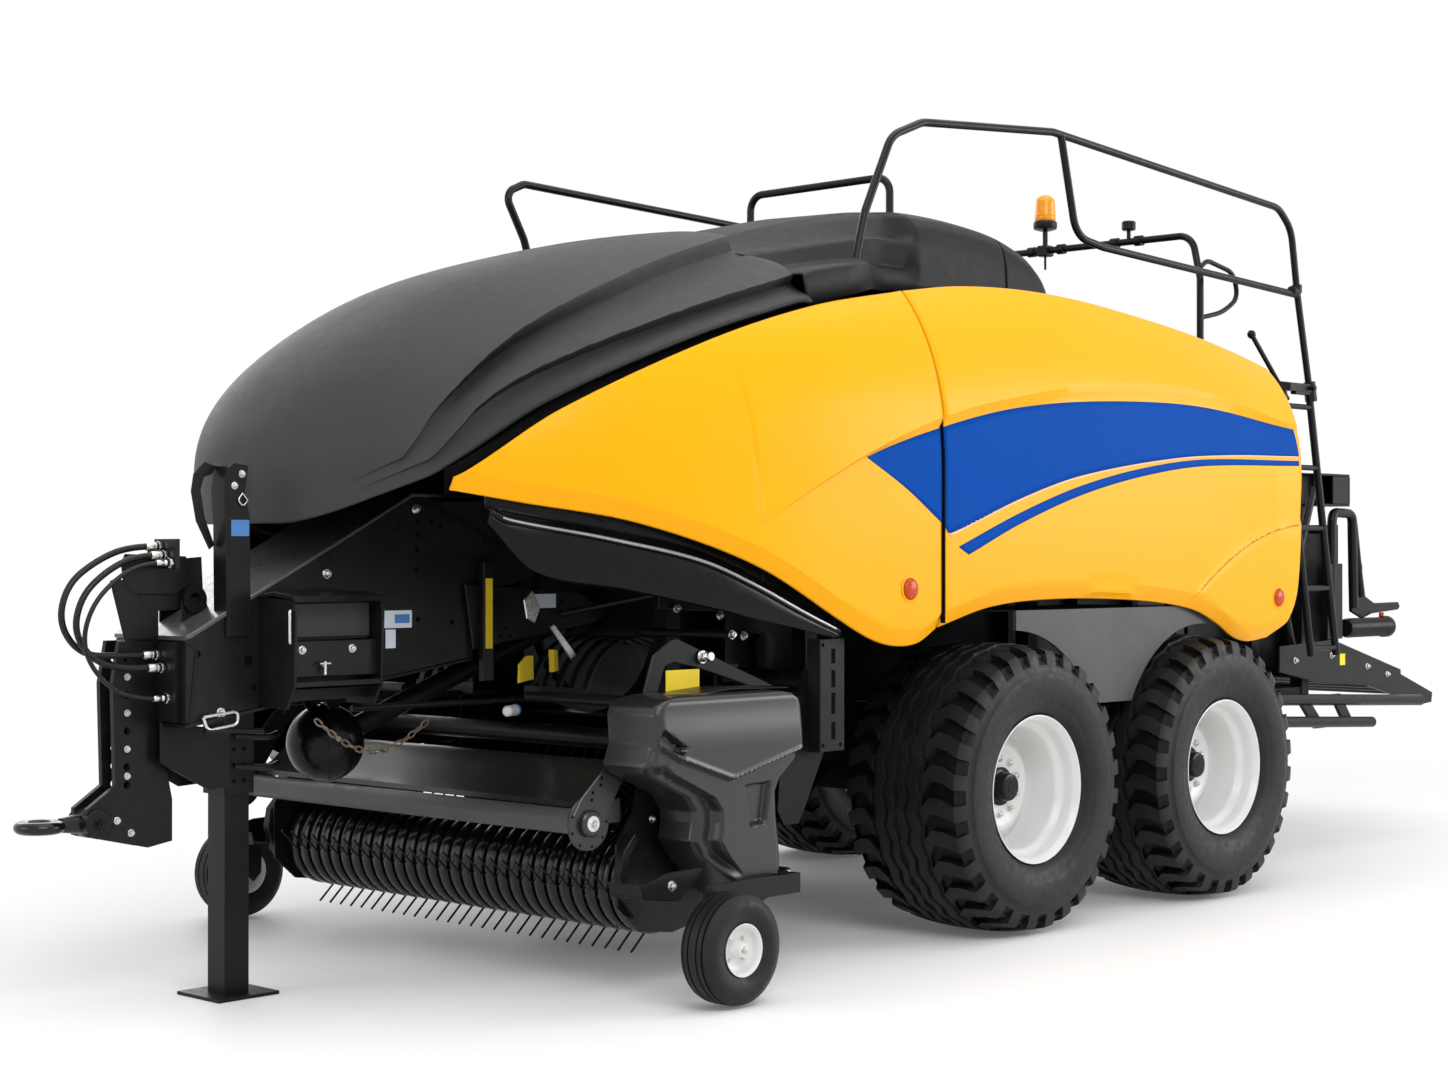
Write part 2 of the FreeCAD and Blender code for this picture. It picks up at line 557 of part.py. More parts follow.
def feeder_duct():
    """Curved channel that lifts the crop from the rotor into the chamber, with the rotor's housing."""
    half, wall = CHAMBER_W / 2, CHAMBER_WALL
    px, pz = NEEDLE_PIVOT
    top = CHAMBER_Z - wall
    start = math.degrees(math.asin((top - pz) / DUCT_R))
    angles = [180 - start, 215, 232, 250, 268, 286]
    arc = [polar(NEEDLE_PIVOT, DUCT_R, a) for a in angles]
    inner = [polar(NEEDLE_PIVOT, DUCT_R - 8, a) for a in reversed(angles)]
    inner[-1] = (arc[0][0] + 10, top)
    back = plate_xz(arc + inner, -half, half)
    cheek = [arc[0], *arc[1:], (HOUSING_X[0], arc[-1][1]), (HOUSING_X[0], 880), (DUCT_FRONT_X + 20, top)]
    cheeks = both_sides(plate_xz(cheek, half, half + wall))
    x0, x1 = HOUSING_X
    rotor_x, rotor_z = PICKUP_PIVOT
    housing = [(x0, arc[-1][1] - 10), (x0 + 60, 370), (1200, 345), (x1 - 60, 400), (x1, 620), (x1, 1000), (850, 1000),
               (850, 760), (x0, 760)]
    sides = plate_xz(housing, HOUSING_HALF, HOUSING_HALF + 15)
    sides = sides.cut(cylinder((rotor_x, 0, rotor_z), Y, SHAFT_D / 2 + 1, 1000))
    step = box(x0, x0 + wall, half, HOUSING_HALF, arc[-1][1] - 10, 880)
    front = plate_xz([(DUCT_FRONT_X + 20, top), (DUCT_FRONT_X + 20, top - 10), (x0, 870), (x0 + 10, 870),
                      (x0 + 10, 880)], -half, half)
    roof = box(x0, x0 + 180, -HOUSING_HALF, HOUSING_HALF, 870, 880)
    floor = plate_xz([(x0 - 20, arc[-1][1] - 2), (x0 + 60, 362), (1200, 337), (1200, 345), (x0 + 60, 370),
                      (x0 - 20, arc[-1][1] + 6)], -HOUSING_HALF - 15, HOUSING_HALF + 15)
    return fuse([back, *cheeks, *both_sides(sides), *both_sides(step), front, roof, floor])


SHAFT_D = 60.0
PIVOT_BOSS_D = 90.0
HANGER_Y = (1020.0, 1035.0)


def pickup_hangers():
    """Cross tube and end plates that carry the pickup's hinge and the rotor's shaft."""
    x, z = PICKUP_PIVOT
    y0, y1 = HANGER_Y
    beam = centred_y(1060, 1045, 45, y0).cut(box(1000, 1120, -HOUSING_HALF - 15, HOUSING_HALF + 15, 900, 1200))
    plate = plate_xz([(x - 75, z - 20), (x - 40, z - 75), (x + 40, z - 75), (x + 75, z - 20), (x + 60, z + 160),
                      (1120, 1100), (1000, 1100), (980, 850)], y0, y1)
    boss = cylinder((x, y0 - 25, z), Y, PIVOT_BOSS_D / 2, 25)
    side = fuse([plate, boss]).cut(cylinder((x, 900, z), Y, SHAFT_D / 2 + 0.6, 200))
    link = box(1000, 1120, HOUSING_HALF, HOUSING_HALF + 15, 1000, 1100)
    return fuse([beam, *both_sides(side), *both_sides(link)])


def feed_rotor():
    """Shaft with a fingered drum between the cheeks and a screw at each end."""
    x, z = PICKUP_PIVOT
    shaft = centred_y(x, z, SHAFT_D / 2, HANGER_Y[1])
    drum = centred_y(x, z, 85, HOUSING_HALF - 12)
    star = []
    for i in range(4):
        tip = polar((x, z), ROTOR_R, 90 * i + 12)
        star += [polar((x, z), 90, 90 * i - 28), tip, polar((x, z), ROTOR_R - 14, 90 * i + 17),
                 polar((x, z), 86, 90 * i + 14)]
    fingers = []
    pitch = 2 * (HOUSING_HALF - 40) / 14
    for i in range(15):
        y = -HOUSING_HALF + 40 + pitch * i
        fingers.append(plate_xz(star, y - 6, y + 6))
    tubes = both_sides(cylinder((x, HOUSING_HALF + 25, z), Y, 70, HANGER_Y[0] - 55 - HOUSING_HALF - 25))
    return fuse([shaft, drum, *tubes, *fingers])


# ---------------------------------------------------------------- drawbar and hitch
DRAWBAR_HALF = 210.0
DRAWBAR_PLATE = 15.0
DRAWBAR_SIDE = [(3290, 965), (3290, 1240), (2330, 1735), (1450, 1735), (1450, 1560), (2010, 1360), (2050, 1150),
                (2400, 1100)]


def drawbar():
    """Gooseneck of two side plates with top, bottom and cross plates."""
    y1, t = DRAWBAR_HALF, DRAWBAR_PLATE
    sides = both_sides(plate_xz(DRAWBAR_SIDE, y1 - t, y1))
    top = plate_xz([(3290, 1240), (2330, 1735), (1450, 1735), (1450, 1720), (2326, 1720), (3283, 1226)],
                   -y1 + t, y1 - t)
    bottom = plate_xz([(3290, 965), (2400, 1100), (2050, 1150), (2052, 1165), (2402, 1115), (3290, 980)],
                      -y1 + t, y1 - t)
    nose = box(3275, 3290, -y1 + t, y1 - t, 965, 1240)
    body = fuse([*sides, top, bottom, nose])
    half = JACK_POST / 2 + 12
    return body.cut(box(JACK_X - half, JACK_X + half, -half, half, 900, 1600))


HITCH_Y = (30.0, 50.0)
HITCH_SIDE = [(3290, 1240), (3440, 1240), (3465, 1100), (3455, 760), (3560, 690), (3560, 600), (3330, 545),
              (3235, 560), (3235, 700), (3290, 960)]
HITCH_HOLE_D = 26.0
NOSE_PLATE_X = 3310.0
GLAND_PLATE_X = 3300.0
FITTING_D = 30.0
FITTING_LENGTH = 25.0
HOSE_FROM = GLAND_PLATE_X + FITTING_LENGTH
HOSE_TO = NOSE_PLATE_X + FITTING_LENGTH
HOSE_YS = (84.0, 116.0, 148.0)
HOSE_ROUTES = [
    [(HOSE_FROM, 1555), (3425, 1555), (3545, 1510), (3655, 1432), (3688, 1305), (3608, 1200), (3470, 1192),
     (HOSE_TO, 1192)],
    [(HOSE_FROM, 1525), (3415, 1525), (3525, 1478), (3622, 1395), (3652, 1275), (3575, 1175), (3445, 1150),
     (HOSE_TO, 1150)],
    [(HOSE_FROM, 1500), (3410, 1500), (3515, 1450), (3605, 1360), (3640, 1240), (3585, 1130), (3460, 1050),
     (HOSE_TO, 1050)]]


def hitch_plates():
    """Pair of upright plates with a row of holes to set the tow eye's height."""
    y0, y1 = HITCH_Y
    plate = plate_xz(HITCH_SIDE, y0, y1)
    for z in range(760, 1200, 60):
        plate = plate.cut(cylinder((3410, 0, z), Y, HITCH_HOLE_D / 2, 100))
    base = box(NOSE_PLATE_X - 20, NOSE_PLATE_X, -180, 180, 970, 1235)
    hose_stand = fuse([box(3290, 3380, y0 - 40, y1, 1240, 1340),
                       plate_xz([(3110, 1345), (3380, 1335), (3390, 1500), (3120, 1520)], 40, 50),
                       box(GLAND_PLATE_X - 15, GLAND_PLATE_X, 40, 170, 1480, 1580)])
    fittings = []
    for y, route in zip(HOSE_YS, HOSE_ROUTES):
        fittings.append(cylinder((GLAND_PLATE_X, y, route[0][1]), X, FITTING_D / 2, FITTING_LENGTH))
        fittings.append(cylinder((NOSE_PLATE_X, y, route[-1][1]), X, FITTING_D / 2, FITTING_LENGTH))
    return fuse([*both_sides(plate), base, hose_stand, *fittings])


def hoses():
    """Hydraulic hoses that loop forward from the stand's fittings to the drawbar's nose plate."""
    nodes = {}
    for number, (y, route) in enumerate(zip(HOSE_YS, HOSE_ROUTES), 1):
        points = [(x, y, z) for x, z in route]
        diameter = SMALL_HOSE_D if number == len(HOSE_ROUTES) else HOSE_D
        print("hose_%d bend radii" % number, [round(r) for r in widest_bends(points)])
        nodes["hose_%d" % number] = tube(points, diameter, max(widest_bends(points)))
    return nodes


def tow_eye():
    """Ring with an upright bore, on a shank clamped between the hitch plates."""
    x = EYE_TIP_X - EYE_OUTER_D / 2
    ring = cylinder((x, 0, EYE_Z - EYE_THICK / 2), Z, EYE_OUTER_D / 2, EYE_THICK)
    shank = box(3330, x - 20, -HITCH_Y[0], HITCH_Y[0], EYE_Z - 25, EYE_Z + 25)
    return fuse([ring, shank]).cut(cylinder((x, 0, EYE_Z - 100), Z, EYE_BORE_D / 2, 200))


def hose_post():
    """Bent plate beside the drawbar nose that parks the hoses and plugs."""
    outline = [(3045, 1250), (3160, 1250), (3150, 1480), (3185, 1620), (3200, 1800), (3165, 1850), (3120, 1840),
               (3110, 1700), (3060, 1540)]
    return plate_xz(outline, DRAWBAR_HALF, DRAWBAR_HALF + 10)


def toolbox():
    shell = box(2560, 2990, DRAWBAR_HALF, 400, 1020, 1375)
    lid = box(2600, 2950, 400, 412, 1060, 1335)
    return fuse([shell, lid])


JACK_SLEEVE_Z = (700.0, 1320.0)


def jack_sleeve():
    inner, outer = JACK_POST / 2 + 0.5, JACK_POST / 2 + 12
    z0, z1 = JACK_SLEEVE_Z
    sleeve = box(JACK_X - outer, JACK_X + outer, -outer, outer, z0, z1)
    collar = box(JACK_X - outer - 60, JACK_X + outer + 60, -DRAWBAR_HALF + DRAWBAR_PLATE,
                 DRAWBAR_HALF - DRAWBAR_PLATE, 1050, 1065)
    return fuse([sleeve, collar]).cut(box(JACK_X - inner, JACK_X + inner, -inner, inner, z0 - 1, z1 + 1))


def jack_leg():
    half, plate = JACK_POST / 2, JACK_PLATE / 2
    post = box(JACK_X - half, JACK_X + half, -half, half, 12, 880)
    post = post.cut(box(JACK_X - half + 8, JACK_X + half - 8, -half + 8, half - 8, 13, 881))
    foot = box(JACK_X - plate, JACK_X + plate, -plate, plate, 0, 12)
    return fuse([post, foot])


DRIVE_FRONT = (2560.0, 850.0)
DRIVE_REAR = (1330.0, 1300.0)
FLYWHEEL = (1250.0, 1300.0)
GUARD_R = 140.0


def flywheel():
    x, z = FLYWHEEL
    disc = cylinder((x - 40, 0, z), X, FLYWHEEL_D / 2, 80)
    disc = disc.cut(cylinder((x + 10, 0, z), X, FLYWHEEL_D / 2 - 70, 40))
    hub = cylinder((x - 60, 0, z), X, 90, 130)
    return fuse([disc, hub])


def driveline():
    """Input shaft from the flywheel down to the splined end under the drawbar."""
    front, rear = V(DRIVE_FRONT[0], 0, DRIVE_FRONT[1]), V(DRIVE_REAR[0], 0, DRIVE_REAR[1])
    along = (front - rear).normalize()
    shaft = Part.makeCylinder(38, (front - rear).Length - 60, rear + along * 20, along)
    joint = Part.makeCylinder(62, 110, rear + along * 12.5, along)
    stub = Part.makeCylinder(STUB_D / 2, 170, front - along * 60, along)
    return fuse([shaft, joint, stub])


def driveline_guard():
    """Bell over the front end of the driveline, hung under the drawbar."""
    front, rear = V(DRIVE_FRONT[0], 0, DRIVE_FRONT[1]), V(DRIVE_REAR[0], 0, DRIVE_REAR[1])
    along = (front - rear).normalize()
    ball = Part.makeSphere(GUARD_R, front)
    ball = ball.cut(Part.makeSphere(GUARD_R - 8, front))
    cutter = Part.makeCylinder(GUARD_R + 10, 300, front + along * 60, along)
    hole = Part.makeCylinder(38.6, 400, front - along * 300, along)
    bracket = box(DRIVE_FRONT[0] - 40, DRIVE_FRONT[0] + 40, -60, 60, DRIVE_FRONT[1] + GUARD_R - 14, 1094)
    bracket = bracket.cut(plate_xz([(2400, 1099.7), (2400, 1300), (2700, 1300), (2700, 1054.2)], -100, 100))
    return fuse([ball.cut(cutter).cut(hole), bracket.cut(Part.makeSphere(GUARD_R - 4, front))])


def gearbox():
    nose = cylinder((1150, 0, FLYWHEEL[1]), X, 80, 39.7)
    return fuse([box(CHAMBER_FRONT, 1150, -260, 260, 1040, 1560), nose])


# ---------------------------------------------------------------- pickup
SIDE_Y = (995.0, 1007.0)
STRIPPER_TUBE = (1530.0, 380.0)     # x, z of the tube that carries the strippers' tails
PITCH = 2 * (PICKUP_HALF - 10) / STRIPPER_COUNT
STRIP_W = PITCH - 16.0


def pickup_frame():
    """Side plates with the hinge eyes, cross tube, floor sheet and the windguard's ears."""
    x, z = PICKUP_PIVOT
    rx, rz = REEL
    y0, y1 = SIDE_Y
    outline = [(x - 60, z + 60), (x + 60, z + 90), (1500, 800), (1800, 960), (1900, 940), (1990, 640), (2070, 520),
               (2065, 300), (1960, 210), (1800, 190), (1640, 220), (1480, 330), (1400, 480), (x + 60, z - 70),
               (x - 60, z - 60)]
    side = plate_xz(outline, y0, y1)
    eye = cylinder((x, y0, z), Y, 70, y1 - y0)
    side = fuse([side, eye]).cut(cylinder((x, 900, z), Y, PIVOT_BOSS_D / 2 + 0.6, 200))
    side = side.cut(cylinder((rx, 900, rz), Y, 30.6, 200))
    side = side.cut(cylinder((WINDGUARD_PIVOT[0], 900, WINDGUARD_PIVOT[1]), Y, 15, 200))
    cross = centred_y(1650, 840, 38, y0)
    lower = centred_y(*STRIPPER_TUBE, 35, y0)
    floor = plate_xz([(1530, 347), (1250, 318), (1250, 324), (1530, 353)], -y0, y0)
    arm = fuse([box(1480, 1560, y1, 1330, 330, 400), box(1480, 1960, 1318, 1330, 330, 400),
                plate_xz([(1900, 330), (1960, 400), (1975, 198), (1940, 163), (1905, 198)], 1318, 1330),
                cylinder((GAUGE[0], 1318, GAUGE[1]), Y, 15, GAUGE_Y - 1318 + 23)])
    return fuse([*both_sides(side), cross, lower, floor, *both_sides(arm)])


def pickup_strippers():
    """Row of curved bands; the tines pass between them."""
    rx, rz = REEL
    bands = []
    tail_top, tail_low = (STRIPPER_TUBE[0], STRIPPER_TUBE[1] + 39), (STRIPPER_TUBE[0], STRIPPER_TUBE[1] - 39)
    def outline(inset):
        r = STRIPPER_R - inset
        start, end = V(rx - 70, 0, rz + r), V(rx - 70, 0, rz - r)
        top, low = V(tail_top[0], 0, tail_top[1] - inset), V(tail_low[0], 0, tail_low[1] + inset)
        front = Part.Arc(start, V(rx + r, 0, rz), end).toShape()
        return front, Part.LineSegment(top, start).toShape(), Part.LineSegment(end, low).toShape(), top, low
    outer, inner = outline(0.0), outline(4.0)
    edges = [*outer[:3], *inner[:3], Part.LineSegment(outer[3], inner[3]).toShape(),
             Part.LineSegment(outer[4], inner[4]).toShape()]
    face = Part.Face(Part.Wire(Part.__sortEdges__(edges)))
    for i in range(STRIPPER_COUNT):
        y = -PICKUP_HALF + 10 + PITCH * (i + 0.5)
        bands.append(face.extrude(V(0, STRIP_W, 0)).translated(V(0, y - STRIP_W / 2, 0)))
    return group(bands)


def pickup_reel():
    """Shaft with end spiders and four tine bars."""
    rx, rz = REEL
    shaft = centred_y(rx, rz, 30, SIDE_Y[1])
    tube_ = centred_y(rx, rz, REEL_TUBE_D / 2, PICKUP_HALF - 12)
    bars = []
    for k in range(4):
        bx, bz = polar(REEL, 112, 90 * k + 20)
        pieces = [centred_y(bx, bz, 13, PICKUP_HALF - 14)]
        tip = polar(REEL, TINE_TIP_R, 90 * k + 8)
        for i in range(STRIPPER_COUNT - 1):
            y = -PICKUP_HALF + 10 + PITCH * (i + 1)
            pieces.append(rod((bx, y, bz), (tip[0], y, tip[1]), TINE_D / 2))
        bars.append(pieces)
    spiders = [cylinder((rx, y, rz), Y, 126, 8) for y in (-PICKUP_HALF + 14, -4, PICKUP_HALF - 22)]
    return fuse([shaft, tube_, *spiders, *[piece for bar_ in bars for piece in bar_]])


SHIELD = [(2150, 1009), (2016, 1047), (1562, 1041), (1413, 1010), (1412, 797), (1535, 664), (1508, 420),
          (1540, 330), (1716, 313), (1870, 470), (2182, 812)]


def pickup_shields():
    """Moulded covers over the chain drives at both ends of the pickup."""
    cover = plate_xz(SHIELD, 1050, 1300)
    inner = plate_xz([(2120, 985), (1440, 985), (1440, 810), (1565, 674), (1538, 430), (1560, 350), (1700, 345),
                      (1850, 490), (2150, 820)], 1040, 1285)
    cover = cover.cut(inner)
    cover = cover.cut(box(1470, 1570, 1030, 1340, 320, 410))
    mounts = box(1600, 1660, SIDE_Y[1], 1290, 760, 800)
    return group(both_sides(fuse([cover, mounts])))


ARM_Y = (1012.0, 1024.0)


def windguard():
    """Arms on the side plates with the deflector sheet and the roller's end plates."""
    px, pz = WINDGUARD_PIVOT
    x, z = ROLLER
    y0, y1 = ARM_Y
    arm = plate_xz([(px - 45, pz + 20), (px + 20, pz + 50), (px + 60, pz), (x + 30, z + 30), (x - 20, z - 30),
                    (px - 30, pz - 45)], y0, y1)
    disc = cylinder((x, y0, z), Y, 75, y1 - y0)
    pin = cylinder((px, SIDE_Y[1] - 11.4, pz), Y, 14.4, y1 - SIDE_Y[1] + 11.4)
    side = fuse([arm, disc, pin]).cut(cylinder((x, 900, z), Y, 20.6, 200))
    sheet = plate_xz([(x - 60, z + 52), (x - 280, z + 78), (x - 280, z + 86), (x - 60, z + 60)], -y0, y0)
    inboard = SIDE_Y[0] - 2 * GAP
    sheet = sheet.cut(box(x - 300, x - 150, inboard, y0 + 1, z, z + 100))
    sheet = sheet.cut(box(x - 300, x - 150, -y0 - 1, -inboard, z, z + 100))
    web = both_sides(box(x - 148, x - 55, y0 - 10, y0, z - 10, z + 75))
    return fuse([*both_sides(side), sheet, *web])


def crop_roller():
    x, z = ROLLER
    return fuse([centred_y(x, z, ROLLER_D / 2, ARM_Y[0] - 14), centred_y(x, z, 20, ARM_Y[1])])


def gauge_wheels():
    nodes = {}
    for side, sign in (("left", 1), ("right", -1)):
        room = bead_room(*GAUGE, sign * GAUGE_Y, 128.0, 180.0, 172.0)
        nodes["gauge_tyre_" + side] = tyre(*GAUGE, sign * GAUGE_Y, GAUGE_OD, GAUGE_W, 172.0).cut(room)
        nodes["gauge_rim_" + side] = rim(GAUGE[0], GAUGE[1], sign * GAUGE_Y, sign, 128.0, 180.0, 172.0, 40.0,
                                         70.0, 31.0)
    return nodes


# ---------------------------------------------------------------- needles
def needle_yoke():
    """Curved needles on a cross tube, swung on arms about the pivots on the chamber's walls."""
    px, pz = NEEDLE_PIVOT
    root, tip = 275.0, 203.0
    yoke = polar(NEEDLE_PIVOT, NEEDLE_R, root)
    needles = []
    for y in NEEDLE_YS:
        outer = [polar(NEEDLE_PIVOT, NEEDLE_R + 12, a) for a in (root, (root + tip) / 2, tip + 3)]
        inner = [polar(NEEDLE_PIVOT, NEEDLE_R - 12, a) for a in (tip + 3, (root + tip) / 2, root)]
        point = polar(NEEDLE_PIVOT, NEEDLE_R, tip)
        def at(p):
            return V(p[0], y - 7, p[1])
        wire = Part.Wire([Part.Arc(*map(at, outer)).toShape(), Part.LineSegment(at(outer[-1]), at(point)).toShape(),
                          Part.LineSegment(at(point), at(inner[0])).toShape(), Part.Arc(*map(at, inner)).toShape(),
                          Part.LineSegment(at(inner[-1]), at(outer[0])).toShape()])
        needles.append(Part.Face(wire).extrude(V(0, 14, 0)))
    wall = CHAMBER_W / 2 + CHAMBER_WALL
    arm = fuse([bar((px, wall + 32, pz), (yoke[0], wall + 32, yoke[1]), 12, 90, X),
                cylinder((px, wall + 26, pz), Y, 60, 12)])
    pin = cylinder((px, wall + 0.3, pz), Y, 25, 37.7)
    tube_ = centred_y(yoke[0], yoke[1], 28, wall + 38)
    return fuse([tube_, *both_sides(fuse([arm, pin])), *needles])


# ---------------------------------------------------------------- body carriers and trim
def fender_liners():
    """Black inner skirt behind the lower edge of each front side panel."""
    outline = [[(2480, 1640), (2330, 1470), (2000, 1400), (1440, 1290), (1060, 1215)],
               [(1060, 1215), (1060, 1330)],
               [(1060, 1330), (1508, 1540), (2001, 1690), (2480, 1760)],
               [(2480, 1760), (2480, 1640)]]
    prism = side_prism(outline, 300, 1400)
    skin = upright_sheet(1000, 2500, 75, 87, 1150, 1790).common(prism)
    strut = box(1395, 1435, RAIL_OUT + POST_W, half_width(1415, SIDE_PANEL_NOSE_X) - 80, 1430, 1470)
    skin = skin.fuse(strut)
    return group(both_sides(skin))


def wheel_fenders():
    """Grey splash plates between and above the wheels of each side."""
    top = 1300.0
    plate = box(-1450, -20, 1150, 1165, 900, top)
    for x in (0.0, -TANDEM):
        plate = plate.cut(cylinder((x, 1000, AXLE_Z), Y, TYRE_OD / 2 + 50, 400))
    shelf = box(-1300, -100, RAIL_OUT + POST_W, 1150, top - 8, top)
    arm = box(POST_X[1], POST_X[1] + POST_W, RAIL_OUT + POST_W, 1150, top - 48, top - 8)
    return group(both_sides(fuse([plate, shelf, arm])))


def twine_boxes():
    """Closed boxes for the twine balls, behind the rear side panels."""
    left = box(-2000, 280, RAIL_OUT + POST_W, 1090, 1420, 2200)
    return group(both_sides(left))


DECK_REAR_X = -2640.0


def deck():
    """Walkway between the side panels, narrower behind them, with a bearer under its tail."""
    outline = [(760, -940), (760, 940), (-1700, 940), (-2180, 900), (DECK_REAR_X, 900), (DECK_REAR_X, -900),
               (-2180, -900), (-1700, -940)]
    floor = plate_xy(outline, UPPER_TOP, DECK_Z)
    bearers = both_sides(box(DECK_REAR_X, POST_X[-1], RAIL_OUT, RAIL_OUT + POST_W, UPPER_TOP - 50, UPPER_TOP))
    return fuse([floor, *bearers])


RAIL_Y = 880.0
GUARD_TOP = 3370.0


def handrails():
    """Bent tubes round the deck: one along each side, a hoop across the front and one across the rear."""
    d = RAIL_TUBE_D
    left = fuse([
        tube([(670, 838, 2460), (520, 820, 2900), (330, 800, 3230), (130, 800, 3310), (-700, 860, GUARD_TOP),
              (-2560, RAIL_Y, 3235), (-2680, RAIL_Y, 3140), (-2740, RAIL_Y, 2820), (-2850, RAIL_Y, DECK_Z)],
             d, 160),
        tube([(-760, 860, GUARD_TOP - 5), (-860, 870, 2930), (-1060, 875, 2900), (-2740, RAIL_Y, 2820)], d, 120),
        box(-2860, DECK_REAR_X, RAIL_Y - 20, RAIL_Y + 20, DECK_Z - DECK_THICK, DECK_Z)])
    right = tube([(745, -800, 2460), (900, -800, 2900), (1010, -800, 3090), (900, -800, 3140), (-560, -800, 3090),
                  (-640, -800, 3000), (-640, -800, DECK_Z)], d, 60)
    hoop_y, hoop_x = 410.0, -130.0
    front = tube([(hoop_x, -hoop_y, 2850), (hoop_x, -hoop_y, 3160), (hoop_x, hoop_y, 3160),
                  (hoop_x, hoop_y, 2850)], d, 70)
    rear = tube([(-2000, -740, DECK_Z), (-2000, -740, 3060), (-2000, 740, 3060), (-2000, 785, 2850),
                 (-2000, 785, DECK_Z)], d, 90)
    under = cover_block(0.3)
    return group([rail.cut(under) for rail in (left, right, front, rear)])


LADDER_TOP = (-2850.0, 2350.0)
LADDER_FOOT = (-3120.0, 1020.0)
LADDER_PITCH = 250.0


def ladder():
    """Two stiles and their rungs, leaning back from the rear edge of the deck."""
    (tx, tz), (fx, fz) = LADDER_TOP, LADDER_FOOT
    y, d = RAIL_Y, 38.0
    stile = rod((tx, y, tz), (fx, y, fz), d / 2)
    other = rod((tx + LADDER_PITCH, y, tz), (fx + LADDER_PITCH, y, fz), d / 2)
    rungs = []
    for i in range(5):
        share = (i + 0.12) / 4.4
        x, z = fx + (tx - fx) * share, fz + (tz - fz) * share
        rungs.append(rod((x, y, z), (x + LADDER_PITCH, y, z), 14))
    return fuse([stile, other, *rungs]).cut(box(tx - 200, tx + 400, y - 60, y + 60, UPPER_TOP, UPPER_TOP + 60))


BEACON = (-2000.0, -120.0, 3060.0)


def beacon():
    """Warning lamp on a stem clamped to the rear hoop."""
    x, y, z = BEACON
    r = RAIL_TUBE_D / 2
    clamp = box(x - r - 10, x + r + 10, y - 25, y + 25, z - r - 10, z + r + 10)
    clamp = clamp.cut(cylinder((x, y - 30, z), Y, r + 0.3, 60))
    stem = cylinder((x, y, z + r + 10), Z, 12, 80)
    base = cylinder((x, y, z + r + 90), Z, 52, 50)
    lens = Part.makeCone(46, 38, 90, V(x, y, z + r + 140))
    cap = Part.makeSphere(38, V(x, y, z + r + 230)).cut(box(x - 99, x + 99, y - 99, y + 99, z, z + r + 230))
    return fuse([clamp, stem, base, lens, cap])


def tension_frame():
    """Hoop round the rear of the chamber that carries the tension cylinders, and the bumper tubes."""
    inner = CHAMBER_W / 2 + CHAMBER_WALL + RIB
    low = CHAMBER_Z - CHAMBER_WALL - 40
    pieces = []
    for x in TENSION_XS:
        pieces += both_sides(box(x - 10, x + RIB + 10, inner, inner + 70, low - 120, 1960))
        pieces.append(box(x - 10, x + RIB + 10, -inner, inner, 1880, 1960))
        pieces.append(box(x - 10, x + RIB + 10, -inner, inner, low - 120, low - 40))
    pieces += both_sides(box(TENSION_XS[1] + 60, TENSION_XS[0], inner + 10, inner + 60, 1890, 1950))
    pieces += both_sides(box(TENSION_XS[1] + 60, -2250, inner + 15, inner + 65, low - 110, low - 50))
    return fuse(pieces)


def tension_cylinders():
    """Hydraulic cylinders between the hoop and the chamber's roof."""
    roof = CHAMBER_Z + CHAMBER_H + CHAMBER_WALL + RIB
    cylinders = []
    for x in (TENSION_XS[0] + RIB / 2, TENSION_XS[1] + RIB / 2):
        for y in (-250.0, 250.0):
            body = cylinder((x, y, roof + 60), Z, 45, 1880 - roof - 60)
            cylinders.append(fuse([body, cylinder((x, y, roof), Z, 25, 70)]))
    return group(cylinders)


def bale_chute():
    """Tail table with side wings and rollers, hinged under the chamber's rear end."""
    hx, hz = CHUTE_HINGE
    tx, tz = CHUTE_TIP
    half = CHUTE_HALF
    wing = [(hx - 20, hz + 30), (hx - 60, hz + 110), (hx - 300, hz + 60), (tx, tz + 25), (tx + 10, tz - 30),
            (tx + 160, tz - 40), (hx - 20, hz - 40)]
    wings = both_sides(plate_xz(wing, half, half + 10))
    tubes = [bar((hx - 45, y, hz - 12), (tx + 120, y, tz + 8), 36, 50) for y in (-half + 17, half - 17)]
    rollers = []
    for i in range(7):
        share = 0.08 + 0.13 * i
        x, z = hx + (tx - hx) * share, hz + (tz - hz) * share
        rollers.append(cylinder((x, -half + 10, z + 14), Y, 26, 2 * half - 20))
    ear = plate_xz([(hx + 30, hz - 30), (hx + 30, hz + 25), (hx - 60, hz + 30), (hx - 60, hz - 30)],
                   half - 58, half - 43)
    ears = [e.cut(cylinder((hx, -900, hz), Y, 15.6, 1800)) for e in both_sides(ear)]
    cross = box(hx - 75, hx - 45, -half, half, hz - 38, hz - 22)
    return fuse([*wings, *tubes, *rollers, *ears, cross])


def chute_hinge():
    """Brackets and pin under the chamber's rear end."""
    hx, hz = CHUTE_HINGE
    half = CHUTE_HALF
    pin = cylinder((hx, -half + 30, hz), Y, 15, 2 * half - 60)
    brackets = []
    for y in (-half + 64, half - 64 - 15):
        brackets.append(plate_xz([(hx - 25, hz - 25), (hx + 190, hz - 45), (hx + 190, hz), (hx + 140, hz),
                                  (hx + 140, hz + 30), (hx - 25, hz + 20)], y, y + 15))
    return fuse([pin, *brackets])


